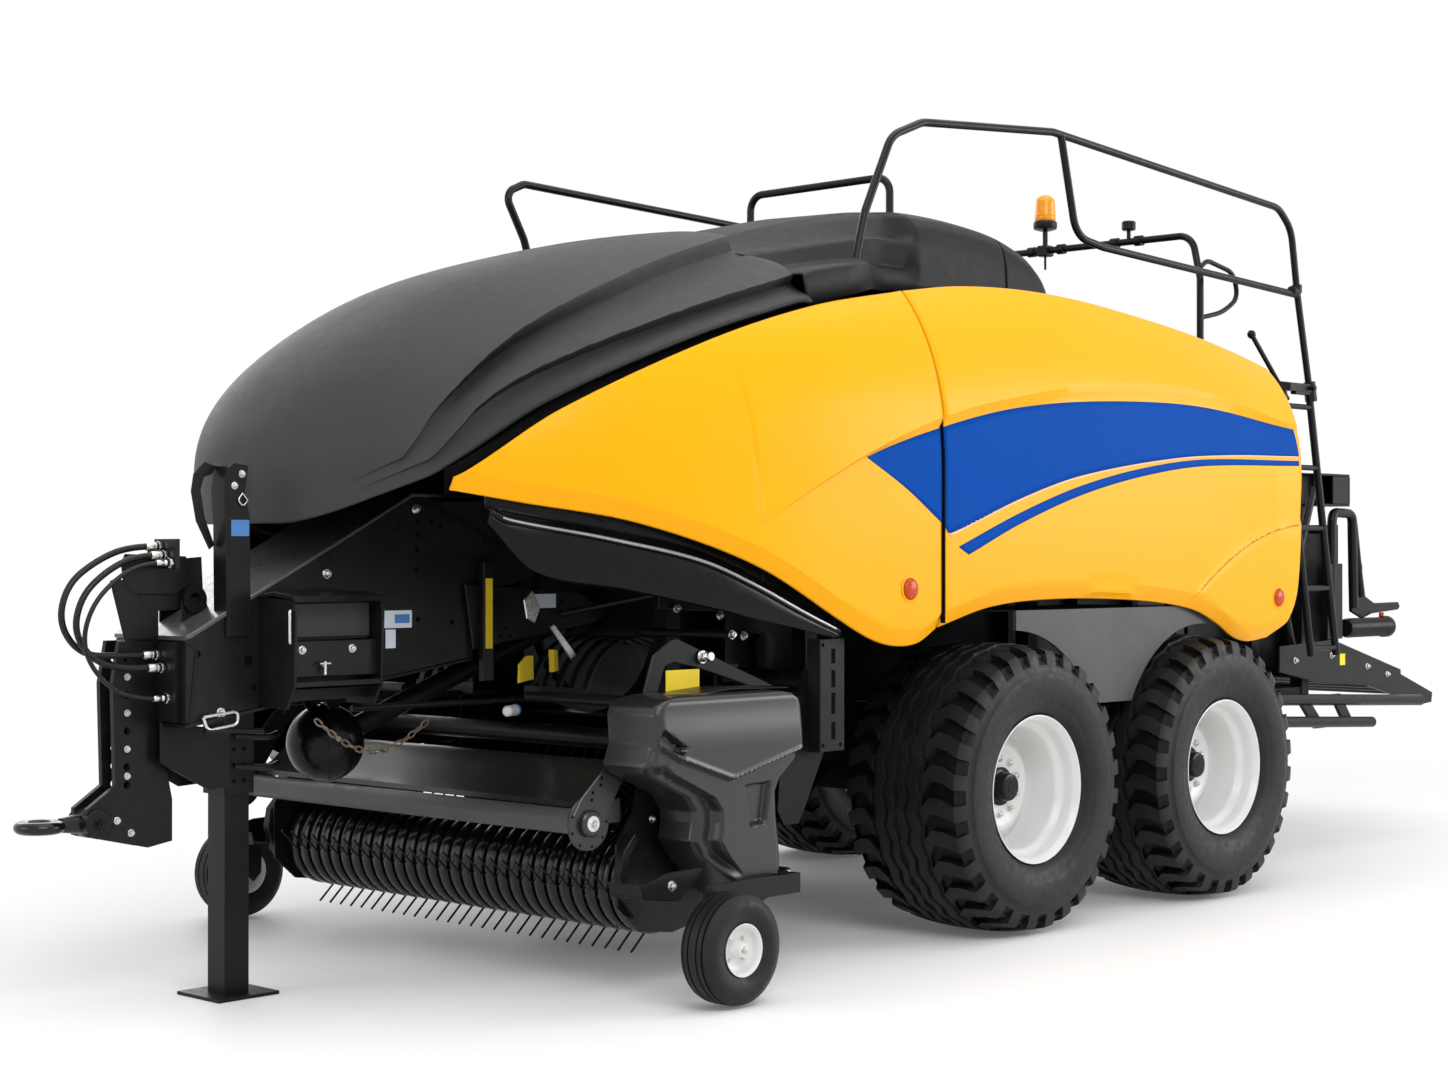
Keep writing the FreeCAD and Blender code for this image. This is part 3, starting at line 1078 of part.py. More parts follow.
def build():
    nodes = {"main_frame": main_frame(), "bale_chamber": bale_chamber(), "feeder_duct": feeder_duct(),
             "pickup_hangers": pickup_hangers(), "drawbar": drawbar(), "hitch_plates": hitch_plates(),
             "tow_eye": tow_eye(), "hose_post": hose_post(), "toolbox": toolbox(), "jack_sleeve": jack_sleeve(),
             "jack_leg": jack_leg(), "flywheel": flywheel(), "driveline": driveline(),
             "driveline_guard": driveline_guard(), "gearbox": gearbox(), "axles": axles(),
             "leaf_springs": group([s for each in leaf_springs() for s in both_sides(each)]),
             "feed_rotor": feed_rotor(), "pickup_frame": pickup_frame(), "pickup_strippers": pickup_strippers(),
             "pickup_reel": pickup_reel(), "pickup_shields": pickup_shields(), "windguard": windguard(),
             "crop_roller": crop_roller(), "needle_yoke": needle_yoke(), "fender_liners": fender_liners(),
             "wheel_fenders": wheel_fenders(), "twine_boxes": twine_boxes(), "deck": deck(),
             "handrails": handrails(), "ladder": ladder(), "beacon": beacon(), "panel_arms": panel_arms(),
             "tension_frame": tension_frame(),
             "tension_cylinders": tension_cylinders(), "bale_chute": bale_chute(), "chute_hinge": chute_hinge()}
    nodes.update(wheels())
    nodes.update(gauge_wheels())
    nodes.update(body_panels())
    nodes.update(hoses())
    return nodes


def main():
    os.makedirs("parts", exist_ok=True)
    for name, shape in build().items():
        shape = shape.translated(V(-X_MID, 0, 0))
        shape.exportStep("parts/%s.step" % name)
        if not shape.isValid():
            print("invalid:", name)


if __name__ == "__main__":
    main()
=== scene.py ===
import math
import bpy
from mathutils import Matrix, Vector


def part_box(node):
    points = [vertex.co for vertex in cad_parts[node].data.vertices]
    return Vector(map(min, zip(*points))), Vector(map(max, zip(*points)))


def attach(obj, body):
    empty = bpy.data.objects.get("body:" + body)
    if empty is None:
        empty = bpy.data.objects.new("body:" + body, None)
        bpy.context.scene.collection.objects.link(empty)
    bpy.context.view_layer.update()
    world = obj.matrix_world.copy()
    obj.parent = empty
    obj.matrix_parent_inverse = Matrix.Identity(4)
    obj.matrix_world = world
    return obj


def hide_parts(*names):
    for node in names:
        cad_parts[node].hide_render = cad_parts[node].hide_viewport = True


bl_info = {
    "name": "Large Square Baler",
    "version": (1, 0, 0),
    "blender": (4, 5, 0),
    "location": "View3D > Sidebar > Baler",
    "description": "Builds the visible surfaces of a towed large square baler around its CAD frame",
    "category": "Object",
}

import bmesh
import bpy
import numpy as np
from bpy.props import FloatProperty, FloatVectorProperty, PointerProperty
from mathutils import Vector

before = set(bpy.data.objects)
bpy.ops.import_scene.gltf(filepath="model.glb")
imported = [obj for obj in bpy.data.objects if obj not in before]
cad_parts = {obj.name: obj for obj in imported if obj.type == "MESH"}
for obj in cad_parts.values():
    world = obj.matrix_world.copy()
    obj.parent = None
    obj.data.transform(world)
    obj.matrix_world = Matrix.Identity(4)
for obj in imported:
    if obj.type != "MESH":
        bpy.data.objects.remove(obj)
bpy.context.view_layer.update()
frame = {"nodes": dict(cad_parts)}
NODES = frame["nodes"]

# The CAD model's own zero is on the ground under the front tandem axle.
FRONT_AXLE_X = sum(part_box("rim_front_left")[k].x for k in (0, 1)) / 2


# ---------------- body skin, the same curves as the CAD panels
HOOD_NOSE = 2.95
PANEL_NOSE = 3.07
BELT_Z = 1.8
BODY_HALF = 1.24
BODY_TAPER = 2.9
PLAN_POWER = 3.0
CROWN_POWER = 2.5
CROWN = [
    (3.07, 0.0), (2.9, 0.15), (2.6, 0.345), (2.2, 0.7), (1.7, 0.895), (1.1, 1.045), (0.5, 1.115), (-0.45, 1.215),
    (-1.175, 1.156), (-1.7, 1.05), (-2.35, 0.87), (-2.7, 0.78)]
HOOD_CROWN = [
    (3.07, 0.0), (3.05, 0.105), (2.98, 0.225), (2.85, 0.375), (2.6, 0.558), (2.2, 0.766), (1.7, 0.918), *CROWN[5:]]
PANEL_THICK, HOOD_THICK, COVER_THICK, DECAL_THICK = 0.018, 0.016, 0.008, 0.001
RIM_DROP = 0.004        # how far a panel's outermost row of points is set in, so that its rim is rounded
SEAM_X = 0.52          # gap between the front and the rear side panel
SIDES = (("left", 1), ("right", -1))
ENDS = ("front", "rear")
LEFT, UP, FORWARD = (0, 1, 0), (0, 0, 1), (1, 0, 0)


def between(low, high, slope_low, slope_high, t):
    """Smooth cubic from low to high as t goes from 0 to 1, with the given slopes at its ends."""
    return ((2 * t ** 3 - 3 * t ** 2 + 1) * low + (t ** 3 - 2 * t ** 2 + t) * slope_low
            + (-2 * t ** 3 + 3 * t ** 2) * high + (t ** 3 - t ** 2) * slope_high)


def curve_value(points, x):
    """Height of a smooth curve through (x, z) points at x, held level beyond its ends."""
    points = sorted(points)
    if x <= points[0][0]:
        return points[0][1]
    if x >= points[-1][0]:
        return points[-1][1]
    k = max(i for i in range(len(points) - 1) if points[i][0] <= x)

    def slope(i):
        lo, hi = max(i - 1, 0), min(i + 1, len(points) - 1)
        return (points[hi][1] - points[lo][1]) / (points[hi][0] - points[lo][0])
    span = points[k + 1][0] - points[k][0]
    return between(points[k][1], points[k + 1][1], span * slope(k), span * slope(k + 1), (x - points[k][0]) / span)


def crown_height(x, crown=CROWN):
    """Height of the roof above the belt at x: a smooth curve over the root of the distance from the nose."""
    nose = crown[0][0]
    return curve_value([(math.sqrt(nose - a), height) for a, height in crown], math.sqrt(max(nose - x, 0)))


def half_width(x, nose):
    share = min(max((nose - x) / BODY_TAPER, 0), 1)
    return BODY_HALF * math.sqrt(max(1 - (1 - share) ** PLAN_POWER, 0))


def skin_y(x, z):
    """Distance of the skin from the centre plane at (x, z) in the CAD model's own x."""
    half = half_width(x, PANEL_NOSE)
    if z <= BELT_Z:
        return half
    rise = (z - BELT_Z) / max(crown_height(x), 1e-6)
    return half * max(1 - rise ** CROWN_POWER, 0) ** (1 / CROWN_POWER)


def skin_normal(x, z):
    """Direction square to the skin at (x, z), pointing outwards."""
    step = 0.004
    dx = (skin_y(x + step, z) - skin_y(x - step, z)) / (2 * step)
    dz = (skin_y(x, z + step) - skin_y(x, z - step)) / (2 * step)
    return Vector((-dx, 1.0, -dz)).normalized()


def along(points, share):
    """Point at a share of the length of a smooth curve through the points (Catmull-Rom)."""
    pts = [np.array(p, float) for p in points]
    if len(pts) == 2:
        return pts[0] + (pts[1] - pts[0]) * share
    lengths = [float(np.linalg.norm(b - a)) for a, b in zip(pts, pts[1:])]
    at = share * sum(lengths)
    k = 0
    while k < len(lengths) - 1 and at > lengths[k]:
        at -= lengths[k]
        k += 1
    t = min(at / lengths[k], 1.0)
    p0, p1, p2, p3 = pts[max(k - 1, 0)], pts[k], pts[k + 1], pts[min(k + 2, len(pts) - 1)]
    m1 = (p2 - p0) / (lengths[k - 1] + lengths[k] if k > 0 else lengths[k]) * lengths[k]
    m2 = (p3 - p1) / (lengths[k] + lengths[k + 1] if k + 1 < len(lengths) else lengths[k]) * lengths[k]
    return between(p1, p2, m1, m2, t)


def fade(value, low, high):
    """0 below low, 1 above high, smooth between."""
    t = min(max((value - low) / (high - low), 0), 1)
    return t * t * (3 - 2 * t)


# ---------------- meshes
def new_piece(name, verts, faces, material, body, smooth=True, mirror=False):
    """Mesh object from points in the row frame that rides on a body."""
    mesh = bpy.data.meshes.new(name)
    if mirror:
        verts = [(x, -y, z) for x, y, z in verts]
        faces = [tuple(reversed(f)) for f in faces]
    mesh.from_pydata([tuple(map(float, v)) for v in verts], [], faces)
    mesh.update()
    if smooth:
        mesh.shade_smooth()
    obj = bpy.data.objects.new(name, mesh)
    bpy.context.scene.collection.objects.link(obj)
    mesh.materials.append(material)
    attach(obj, body)
    return obj


def row(x, y, z):
    """A point of the CAD model's own axes, moved to the row frame."""
    return (x + FRONT_AXLE_X, y, z)


def grid_faces(rows, columns, close_rows=False, close_columns=False):
    faces = []
    for i in range(rows if close_rows else rows - 1):
        for j in range(columns if close_columns else columns - 1):
            a, b = i * columns + j, i * columns + (j + 1) % columns
            c, d = ((i + 1) % rows) * columns + (j + 1) % columns, ((i + 1) % rows) * columns + j
            faces.append((a, b, c, d))
    return faces


def end_caps(verts, count):
    """Faces that close the first and the last ring of `count` points."""
    return [tuple(range(count)), tuple(len(verts) - 1 - k for k in range(count))]


def face_outwards(mesh, weld=0.0):
    """Turns all faces outwards; points closer than `weld` become one first."""
    bm = bmesh.new()
    bm.from_mesh(mesh)
    if weld:
        bmesh.ops.remove_doubles(bm, verts=bm.verts, dist=weld)
    bmesh.ops.recalc_face_normals(bm, faces=bm.faces)
    bm.to_mesh(mesh)
    bm.free()


def modifier(obj, kind, **values):
    mod = obj.modifiers.new(kind.lower(), kind)
    for key, value in values.items():
        setattr(mod, key, value)
    return mod


def sharpen(obj, degrees=35):
    """Smooth shading that keeps the edges sharper than the angle."""
    mesh = obj.data
    mesh.shade_smooth()
    mesh.set_sharp_from_angle(angle=math.radians(degrees))
    return obj


# ---------------- materials
MATERIALS = {}


def nodes_of(material):
    material.use_nodes = True
    tree = material.node_tree
    return tree, tree.nodes["Principled BSDF"]


def fill(tree, node, **values):
    """Sets a node's named inputs, or links those given another node's socket; an underscore stands for a space."""
    for key, value in values.items():
        socket = node.inputs[key.replace("_", " ")]
        if isinstance(value, bpy.types.NodeSocket):
            tree.links.new(value, socket)
        else:
            socket.default_value = value
    return node


def add_node(tree, kind, **values):
    return fill(tree, tree.nodes.new("ShaderNode" + kind), **values)


def noise(tree, scale, detail=4.0):
    place = add_node(tree, "TexCoord").outputs["Object"]
    return add_node(tree, "TexNoise", Vector=place, Scale=scale, Detail=detail, Roughness=0.55).outputs["Fac"]


def spread(tree, value, low, high, start=0.3, end=0.7):
    """Value mapped from start..end to low..high."""
    remap = add_node(tree, "MapRange", Value=value, From_Min=start, From_Max=end, To_Min=low, To_Max=high)
    return remap.outputs["Result"]


def mixed(tree, factor, first, second):
    mix = add_node(tree, "Mix")
    mix.data_type = "RGBA"
    for socket, colour in ((6, first), (7, second)):
        if isinstance(colour, bpy.types.NodeSocket):
            tree.links.new(colour, mix.inputs[socket])
        else:
            mix.inputs[socket].default_value = (*colour, 1.0)
    tree.links.new(factor, mix.inputs[0])
    return mix.outputs[2]


COAT_ROUGH = 0.12


def surface(name, colour, rough, metallic=0.0, coat=0.0, mottle=0.08, mottle_scale=6.0, grain=0.0,
            grain_scale=900.0, rough_range=0.08, specular=0.5):
    """Opaque finish: clouded colour and gloss, with an optional fine grain."""
    material = bpy.data.materials.new(name)
    tree, shader = nodes_of(material)
    cloud = noise(tree, mottle_scale)
    dark = tuple(c * (1 - mottle) for c in colour)
    light = tuple(min(c * (1 + mottle), 1) for c in colour)
    gloss = spread(tree, noise(tree, mottle_scale * 3.7), rough - rough_range, rough + rough_range)
    fill(tree, shader, Base_Color=mixed(tree, spread(tree, cloud, 0, 1), dark, light), Roughness=gloss,
         Metallic=metallic, Coat_Weight=coat, Coat_Roughness=COAT_ROUGH, Specular_IOR_Level=specular)
    if grain:
        relief = add_node(tree, "Bump", Distance=grain, Height=noise(tree, grain_scale, 2.0))
        fill(tree, shader, Normal=relief.outputs["Normal"])
    MATERIALS[name] = material


def darkened(material, attribute, darkest):
    """Carries the finish's colour to `darkest` where the mesh's own attribute is 1: painted shade."""
    tree, shader = nodes_of(material)
    plain = shader.inputs["Base Color"].links[0].from_socket
    value = add_node(tree, "Attribute")
    value.attribute_name = attribute
    fill(tree, shader, Base_Color=mixed(tree, value.outputs["Fac"], plain, darkest))


# Colour, or the name of the setting that holds it, roughness, and what differs from a plain finish.
FINISHES = {
    "frame_paint": ("frame", 0.35, dict(coat=0.04, mottle=0.25, grain=0.00015, grain_scale=260, specular=0.17)),
    # Light grey for the drawbar's top flange: a painted highlight on black frame steel.
    "flange_sheen": ((0.07, 0.07, 0.072), 0.34, dict(coat=0.3, mottle=0.2)),
    # Near black for the parts under the panels; also painted shade on the panels' inner faces and between the tyres'
    # lugs.
    "under_black": ((0.004, 0.004, 0.0045), 0.4, dict(mottle=0.3, mottle_scale=7, specular=0.16)),
    "hood_grain": ("hood", 0.55, dict(mottle=0.06, grain=0.0007, grain_scale=560, rough_range=0.04, specular=0.35)),
    # The hood's skin, darkened by painted shade in the channels under its ridges.
    "hood_ridged": ("hood", 0.55, dict(mottle=0.06, grain=0.0007, grain_scale=560, rough_range=0.04, specular=0.33)),
    "deck_grip": ((0.01, 0.01, 0.0105), 0.8, dict(mottle=0.3, mottle_scale=12, grain=0.0006, grain_scale=90,
        specular=0.05)),
    "cover_grain": ((0.0075, 0.0075, 0.008), 0.5, dict(mottle=0.08, grain=0.0006, grain_scale=560, rough_range=0.04,
        specular=0.2)),
    "liner_gloss": ((0.0035, 0.0035, 0.004), 0.24, dict(coat=0.05, mottle=0.2, specular=0.15)),
    "shield_satin": ((0.014, 0.014, 0.015), 0.34, dict(coat=0.2, mottle=0.06, mottle_scale=3, grain=0.00012,
        grain_scale=300, rough_range=0.03, specular=0.4)),
    "band_gloss": ((0.004, 0.004, 0.004), 0.22, dict(coat=0.25, mottle=0.2, mottle_scale=8, specular=0.25)),
    # Light grey on the liner's bead: a painted highlight.
    "bead_bright": ((0.3, 0.3, 0.31), 0.25, dict(metallic=0.6, mottle=0.15, mottle_scale=5)),
    "panel_yellow": ("panel", 0.36, dict(coat=0.03, mottle=0.015, mottle_scale=1.5, grain=0.00005, grain_scale=120,
        rough_range=0.03, specular=0.12)),
    # Darker orange along the arch crease: painted shade.
    "panel_crease": ((0.62, 0.24, 0.002), 0.45, dict(mottle=0.1, specular=0.1)),
    "stripe_blue": ("stripe", 0.5, dict(mottle=0.03, mottle_scale=1, rough_range=0.02, specular=0.03)),
    "stripe_cream": ((1.0, 0.5, 0.2), 0.4, dict(coat=0.1, mottle=0.05, mottle_scale=2, specular=0.2)),
    "rubber": ((0.0095, 0.0095, 0.0095), 0.5, dict(mottle=0.35, mottle_scale=9, grain=0.0004, grain_scale=180,
        rough_range=0.1, specular=0.24)),
    "rim_paint": ((0.72, 0.72, 0.71), 0.36, dict(coat=0.2, mottle=0.03, mottle_scale=5)),
    "plated_steel": ((0.62, 0.61, 0.58), 0.3, dict(metallic=1.0, mottle=0.1, mottle_scale=40, grain=0.0001,
        grain_scale=400)),
    "worn_steel": ((0.22, 0.17, 0.12), 0.45, dict(metallic=0.8, mottle=0.3, mottle_scale=25, grain=0.0002,
        grain_scale=300)),
    "grey_sheet": ((0.056, 0.057, 0.058), 0.42, dict(mottle=0.1, mottle_scale=4, grain=0.0002, grain_scale=300,
        specular=0.35)),
    "lens_amber": ((0.95, 0.33, 0.003), 0.18, dict(coat=0.2, mottle=0.12, mottle_scale=60, specular=0.3)),
    "lens_red": ((0.5, 0.06, 0.008), 0.22, dict(coat=0.05, specular=0.25, mottle=0.15, mottle_scale=60)),
    "label_yellow": ((0.9, 0.66, 0.03), 0.4, dict(mottle=0.06, mottle_scale=12, specular=0.2)),
    "label_white": ((0.66, 0.72, 0.78), 0.4, dict(mottle=0.05, mottle_scale=12)),
    "label_blue": ((0.06, 0.2, 0.48), 0.4, dict(mottle=0.05, mottle_scale=12)),
    "hose_rubber": ((0.006, 0.006, 0.0065), 0.36, dict(mottle=0.2, mottle_scale=30, grain=0.0003, grain_scale=500,
        specular=0.3)),
    # Near black without gloss: painted shade in holes, slots and gaps.
    "bore_black": ((0.002, 0.002, 0.002), 0.8, dict(mottle=0.2, specular=0.05))}
# Colour of the painted shade in the hood's channels under the ridges.
RIDGE_PAINTED_SHADE = (0.0065, 0.0065, 0.007)


def build_materials(colours):
    for name, (colour, rough, extra) in FINISHES.items():
        surface(name, getattr(colours, colour) if isinstance(colour, str) else colour, rough, **extra)
    # Painted shade on the hood, carried by the mesh's ridge_shade attribute.
    darkened(MATERIALS["hood_ridged"], "ridge_shade", RIDGE_PAINTED_SHADE)
    floor_material()


BACKDROP_FADE = (4.0, 8.0)      # metres from the middle over which the floor turns white


def calculated(tree, operation, first, second):
    node = add_node(tree, "Math")
    node.operation = operation
    tree.links.new(first, node.inputs[0])
    tree.links.new(second, node.inputs[1])
    return node.outputs[0]


def seen_by_eye(tree):
    """1 for rays from the eye, straight, mirrored or through glass."""
    path = add_node(tree, "LightPath")
    seen = path.outputs["Is Camera Ray"]
    for ray in ("Is Glossy Ray", "Is Transmission Ray"):
        seen = calculated(tree, "MAXIMUM", seen, path.outputs[ray])
    return seen


def mix_shaders(tree, factor, first, second, output):
    mix = add_node(tree, "MixShader")
    for socket, value in zip(mix.inputs, (factor, first.outputs[0], second.outputs[0])):
        tree.links.new(value, socket)
    fill(tree, output, Surface=mix.outputs[0])


def floor_material():
    """White floor that takes shadows near the machine and turns into the white backdrop further out."""
    material = bpy.data.materials.new("floor_white")
    tree, shader = nodes_of(material)
    fill(tree, shader, Base_Color=(0.97, 0.97, 0.97, 1), Roughness=0.55, Specular_IOR_Level=0.25)
    glow = add_node(tree, "Emission", Color=(1, 1, 1, 1))
    coords = add_node(tree, "TexCoord")
    distance = add_node(tree, "VectorMath")
    distance.operation = "LENGTH"
    tree.links.new(coords.outputs["Object"], distance.inputs[0])
    far = spread(tree, distance.outputs["Value"], 0.08, 1.0, *BACKDROP_FADE)
    share = calculated(tree, "MULTIPLY", far, seen_by_eye(tree))
    mix_shaders(tree, share, shader, glow, tree.nodes["Material Output"])
    MATERIALS["floor_white"] = material


NODE_FINISH = {
    "tyre": "rubber", "rim": "rim_paint", "hood": "hood_grain", "top_cover": "cover_grain",
    "panel_arms": "frame_paint", "panel": "panel_yellow", "fender_liners": "liner_gloss",
    "wheel_fenders": "grey_sheet", "pickup_shields": "liner_gloss", "beacon": "frame_paint",
    "flywheel": "frame_paint", "driveline_guard": "liner_gloss", "driveline": "frame_paint",
    # The chamber, frame and drive under the panels take a black darker than the frame paint.
    "main_frame": "under_black", "feeder_duct": "under_black", "bale_chamber": "under_black", "twine": "under_black",
    "gearbox": "under_black", "feed_rotor": "under_black", "pickup_hangers": "under_black", "axles": "under_black",
    "deck": "deck_grip", "gauge_tyre": "rubber", "gauge_rim": "rim_paint",
}


def dress_nodes():
    """Gives every CAD node its finish; the longest matching name wins."""
    for name, obj in NODES.items():
        keys = [key for key in NODE_FINISH if name.startswith(key)]
        finish = NODE_FINISH[max(keys, key=len)] if keys else "frame_paint"
        obj.data.materials.clear()
        obj.data.materials.append(MATERIALS[finish])


# ---------------- side panels
FRONT_TOP = [(2.61, 1.788), (2.269, 2.029), (1.687, 2.283), (1.1, 2.46), (0.525, 2.567)]
FRONT_LOW = [
    (0.525, 1.24), (0.64, 1.186), (0.768, 1.178), (0.9, 1.205), (1.07, 1.278), (1.508, 1.487), (2.001, 1.637),
    (2.4, 1.704), (2.61, 1.745)]
REAR_TOP = [
    (0.515, 2.568), (0.166, 2.615), (-0.236, 2.634), (-0.648, 2.621), (-1.096, 2.581), (-1.584, 2.525),
    (-2.019, 2.456), (-2.205, 2.415)]
REAR_BACK = [(-2.205, 2.415), (-2.19, 2.166), (-2.165, 1.787), (-2.128, 1.365), (-2.055, 1.226), (-1.921, 1.145)]
REAR_LOW = [
    (-1.921, 1.145), (-1.745, 1.131), (-1.616, 1.153), (-1.489, 1.214), (-1.323, 1.275), (-1.121, 1.309),
    (-0.734, 1.336), (-0.226, 1.343), (0.181, 1.317), (0.515, 1.244)]

# Upper and lower crease of the bevel that runs over the stripe and down the front panel.
BEVEL_LOW = [
    (-2.16, 2.117), (-1.39, 2.189), (-0.657, 2.181), (0.0, 2.125), (0.523, 2.023), (0.963, 1.896), (1.322, 1.735),
    (1.56, 1.6)]
BEVEL_HIGH = [
    (-2.167, 2.131), (-1.413, 2.249), (-0.585, 2.245), (-0.009, 2.17), (0.524, 2.062), (0.963, 1.912), (1.322, 1.742),
    (1.56, 1.604)]
ARCH_CREASE = [(-2.155, 1.67), (-1.95, 1.64), (-1.728, 1.579), (-1.48, 1.47), (-1.242, 1.33)]
BAND = 0.064
BAND_DEPTH = 0.032
BEVEL_DEPTH = 0.022


def panel_relief(x, z, low_z):
    """How far the panel's face lies inside the plain skin at (x, z)."""
    depth = 0.0
    reach = fade(1.62 - x, 0.0, 0.75) * fade(x + 2.3, 0.0, 0.35)
    low, high = curve_value(BEVEL_LOW, x), curve_value(BEVEL_HIGH, x)
    if z < high and x < 1.6:
        depth += BEVEL_DEPTH * reach * min((high - z) / max(high - low, 1e-4), 1.0)
    if x < -1.242 and z < curve_value(ARCH_CREASE, x):
        depth -= 0.007 * min((-1.242 - x) / 0.06, 1.0)
    above = z - low_z
    if above < BAND:
        depth += BAND_DEPTH * (1 - max(above, 0) / BAND)
    if -0.82 < x < -0.45 and 0.012 < above < 0.096:
        inside = min((x + 0.82) / 0.06, (-0.45 - x) / 0.06, (0.096 - above) / 0.02, (above - 0.012) / 0.02, 1.0)
        depth = depth * (1 - inside) + inside * (0.004 + BEVEL_DEPTH * reach)
    return depth


def low_edge(x):
    """Height of the panels' lower edge at x."""
    return curve_value(FRONT_LOW if x > SEAM_X else REAR_LOW, x)


def panel_point(x, z, lift=0.0):
    """Point of the panels' outer face, `lift` outside it."""
    y = skin_y(x, z) - panel_relief(x, z, low_edge(x))
    if not lift:
        return x, y, z
    normal = skin_normal(x, z)
    return x + normal.x * lift, y + normal.y * lift, z + normal.z * lift


def column_levels(outline_point, count):
    """Shares up a column, with rows on the bevel's creases, the lower band's crease and close to both ends."""
    samples = [k / 200 for k in range(201)]
    points = [outline_point(t) for t in samples]
    length = max(math.dist(points[0], points[-1]), 1e-6)
    marks = []
    for crease in (BEVEL_LOW, BEVEL_HIGH):
        gaps = [p[1] - curve_value(crease, p[0]) for p in points]
        hit = next((k for k in range(200) if gaps[k] < 0 <= gaps[k + 1]), None)
        marks.append(None if hit is None else samples[hit] + 0.005 * (-gaps[hit]) / (gaps[hit + 1] - gaps[hit]))
    edge = min(0.004 / length, 0.02)
    band = min(BAND / length, 0.5)
    low = marks[0] if marks[0] and marks[0] > band + 0.1 else None
    if low is None or points[0][0] > 1.56:
        low, high = band + (1 - band) * 0.55, band + (1 - band) * 0.56
    else:
        high = max(marks[1] or low, low + 0.003)
    stops = [0.0, edge, 2.5 * edge, band * 0.97, band * 1.03]
    counts = [1, 1, 4, 1, count]
    stops += [low, high, 1 - 2.5 * edge, 1 - edge, 1.0]
    counts += [2, count // 2, 1, 1]
    levels = [0.0]
    for k, (a, b) in enumerate(zip(stops, stops[1:])):
        n = counts[k]
        levels += [a + (b - a) * (i + 1) / n for i in range(n)]
    return levels


def panel_patch(top, low, front_edge, rear_edge, columns, count):
    """Rows of (x, z) points over an outline with four curved sides; columns run from the front to the rear."""
    rows = []
    for i in range(columns + 1):
        s = i / columns
        bottom, upper = along(low, s), along(top, s)

        def at(t, s=s, bottom=bottom, upper=upper):
            front, rear = along(front_edge, t), along(rear_edge, t)
            blend = ((1 - t) * bottom + t * upper + (1 - s) * front + s * rear
                     - (1 - s) * (1 - t) * along(front_edge, 0) - s * (1 - t) * along(rear_edge, 0)
                     - (1 - s) * t * along(front_edge, 1) - s * t * along(rear_edge, 1))
            return float(blend[0]), float(blend[1])
        rows.append([at(t) for t in column_levels(at, count)])
    return rows


def side_panel(name, rows, body, mirror):
    """Panel with rounded rims and real thickness over a patch of (x, z) points."""
    verts = []
    columns = len(rows[0])
    for i, column in enumerate(rows):
        for j, (x, z) in enumerate(column):
            px, py, pz = panel_point(x, z)
            at_rim = j in (0, columns - 1) or i in (0, len(rows) - 1)
            verts.append(row(px, py - RIM_DROP if at_rim else py, pz))
    faces = [tuple(reversed(f)) for f in grid_faces(len(rows), columns)]
    panel = new_piece(name, verts, faces, MATERIALS["panel_yellow"], body, mirror=mirror)
    # The panel's inner face takes near black: painted shade behind the panel.
    panel.data.materials.append(MATERIALS["under_black"])
    modifier(panel, "SOLIDIFY", thickness=PANEL_THICK, offset=-1, material_offset=1)
    sharpen(panel, 22)
    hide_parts(name.replace("_skin", ""))
    return panel


def decal(name, upper, lower, finish, body, mirror, lift=0.0012, columns=60, rows=6):
    """Thin sheet on the panels between two curves of (x, z) points, both drawn front to rear."""
    verts = []
    for i in range(columns + 1):
        a, b = along(upper, i / columns), along(lower, i / columns)
        for j in range(rows + 1):
            x, z = a + (b - a) * (j / rows)
            verts.append(row(*panel_point(float(x), float(z), lift)))
    faces = grid_faces(columns + 1, rows + 1)
    piece = new_piece(name, verts, faces, MATERIALS[finish], body, mirror=mirror)
    modifier(piece, "SOLIDIFY", thickness=DECAL_THICK, offset=-1)
    return piece


def crease_part(curve, x_front, x_rear, drop=0.0, count=24):
    """Points of a crease between two x, dropped by a little."""
    return [(x, curve_value(curve, x) - drop) for x in np.linspace(x_front, x_rear, count)]


STRIPE_LOW = [(0.482, 1.609), (0.022, 1.753), (-0.403, 1.856), (-1.101, 1.948), (-1.6, 1.978), (-2.158, 1.989)]
SECOND_TOP = [(0.426, 1.558), (0.022, 1.697), (-0.403, 1.815), (-0.856, 1.899), (-1.344, 1.951), (-2.152, 1.968)]
SECOND_LOW = [(0.362, 1.527), (0.022, 1.652), (-0.403, 1.775), (-0.856, 1.864), (-1.344, 1.921), (-2.152, 1.944)]


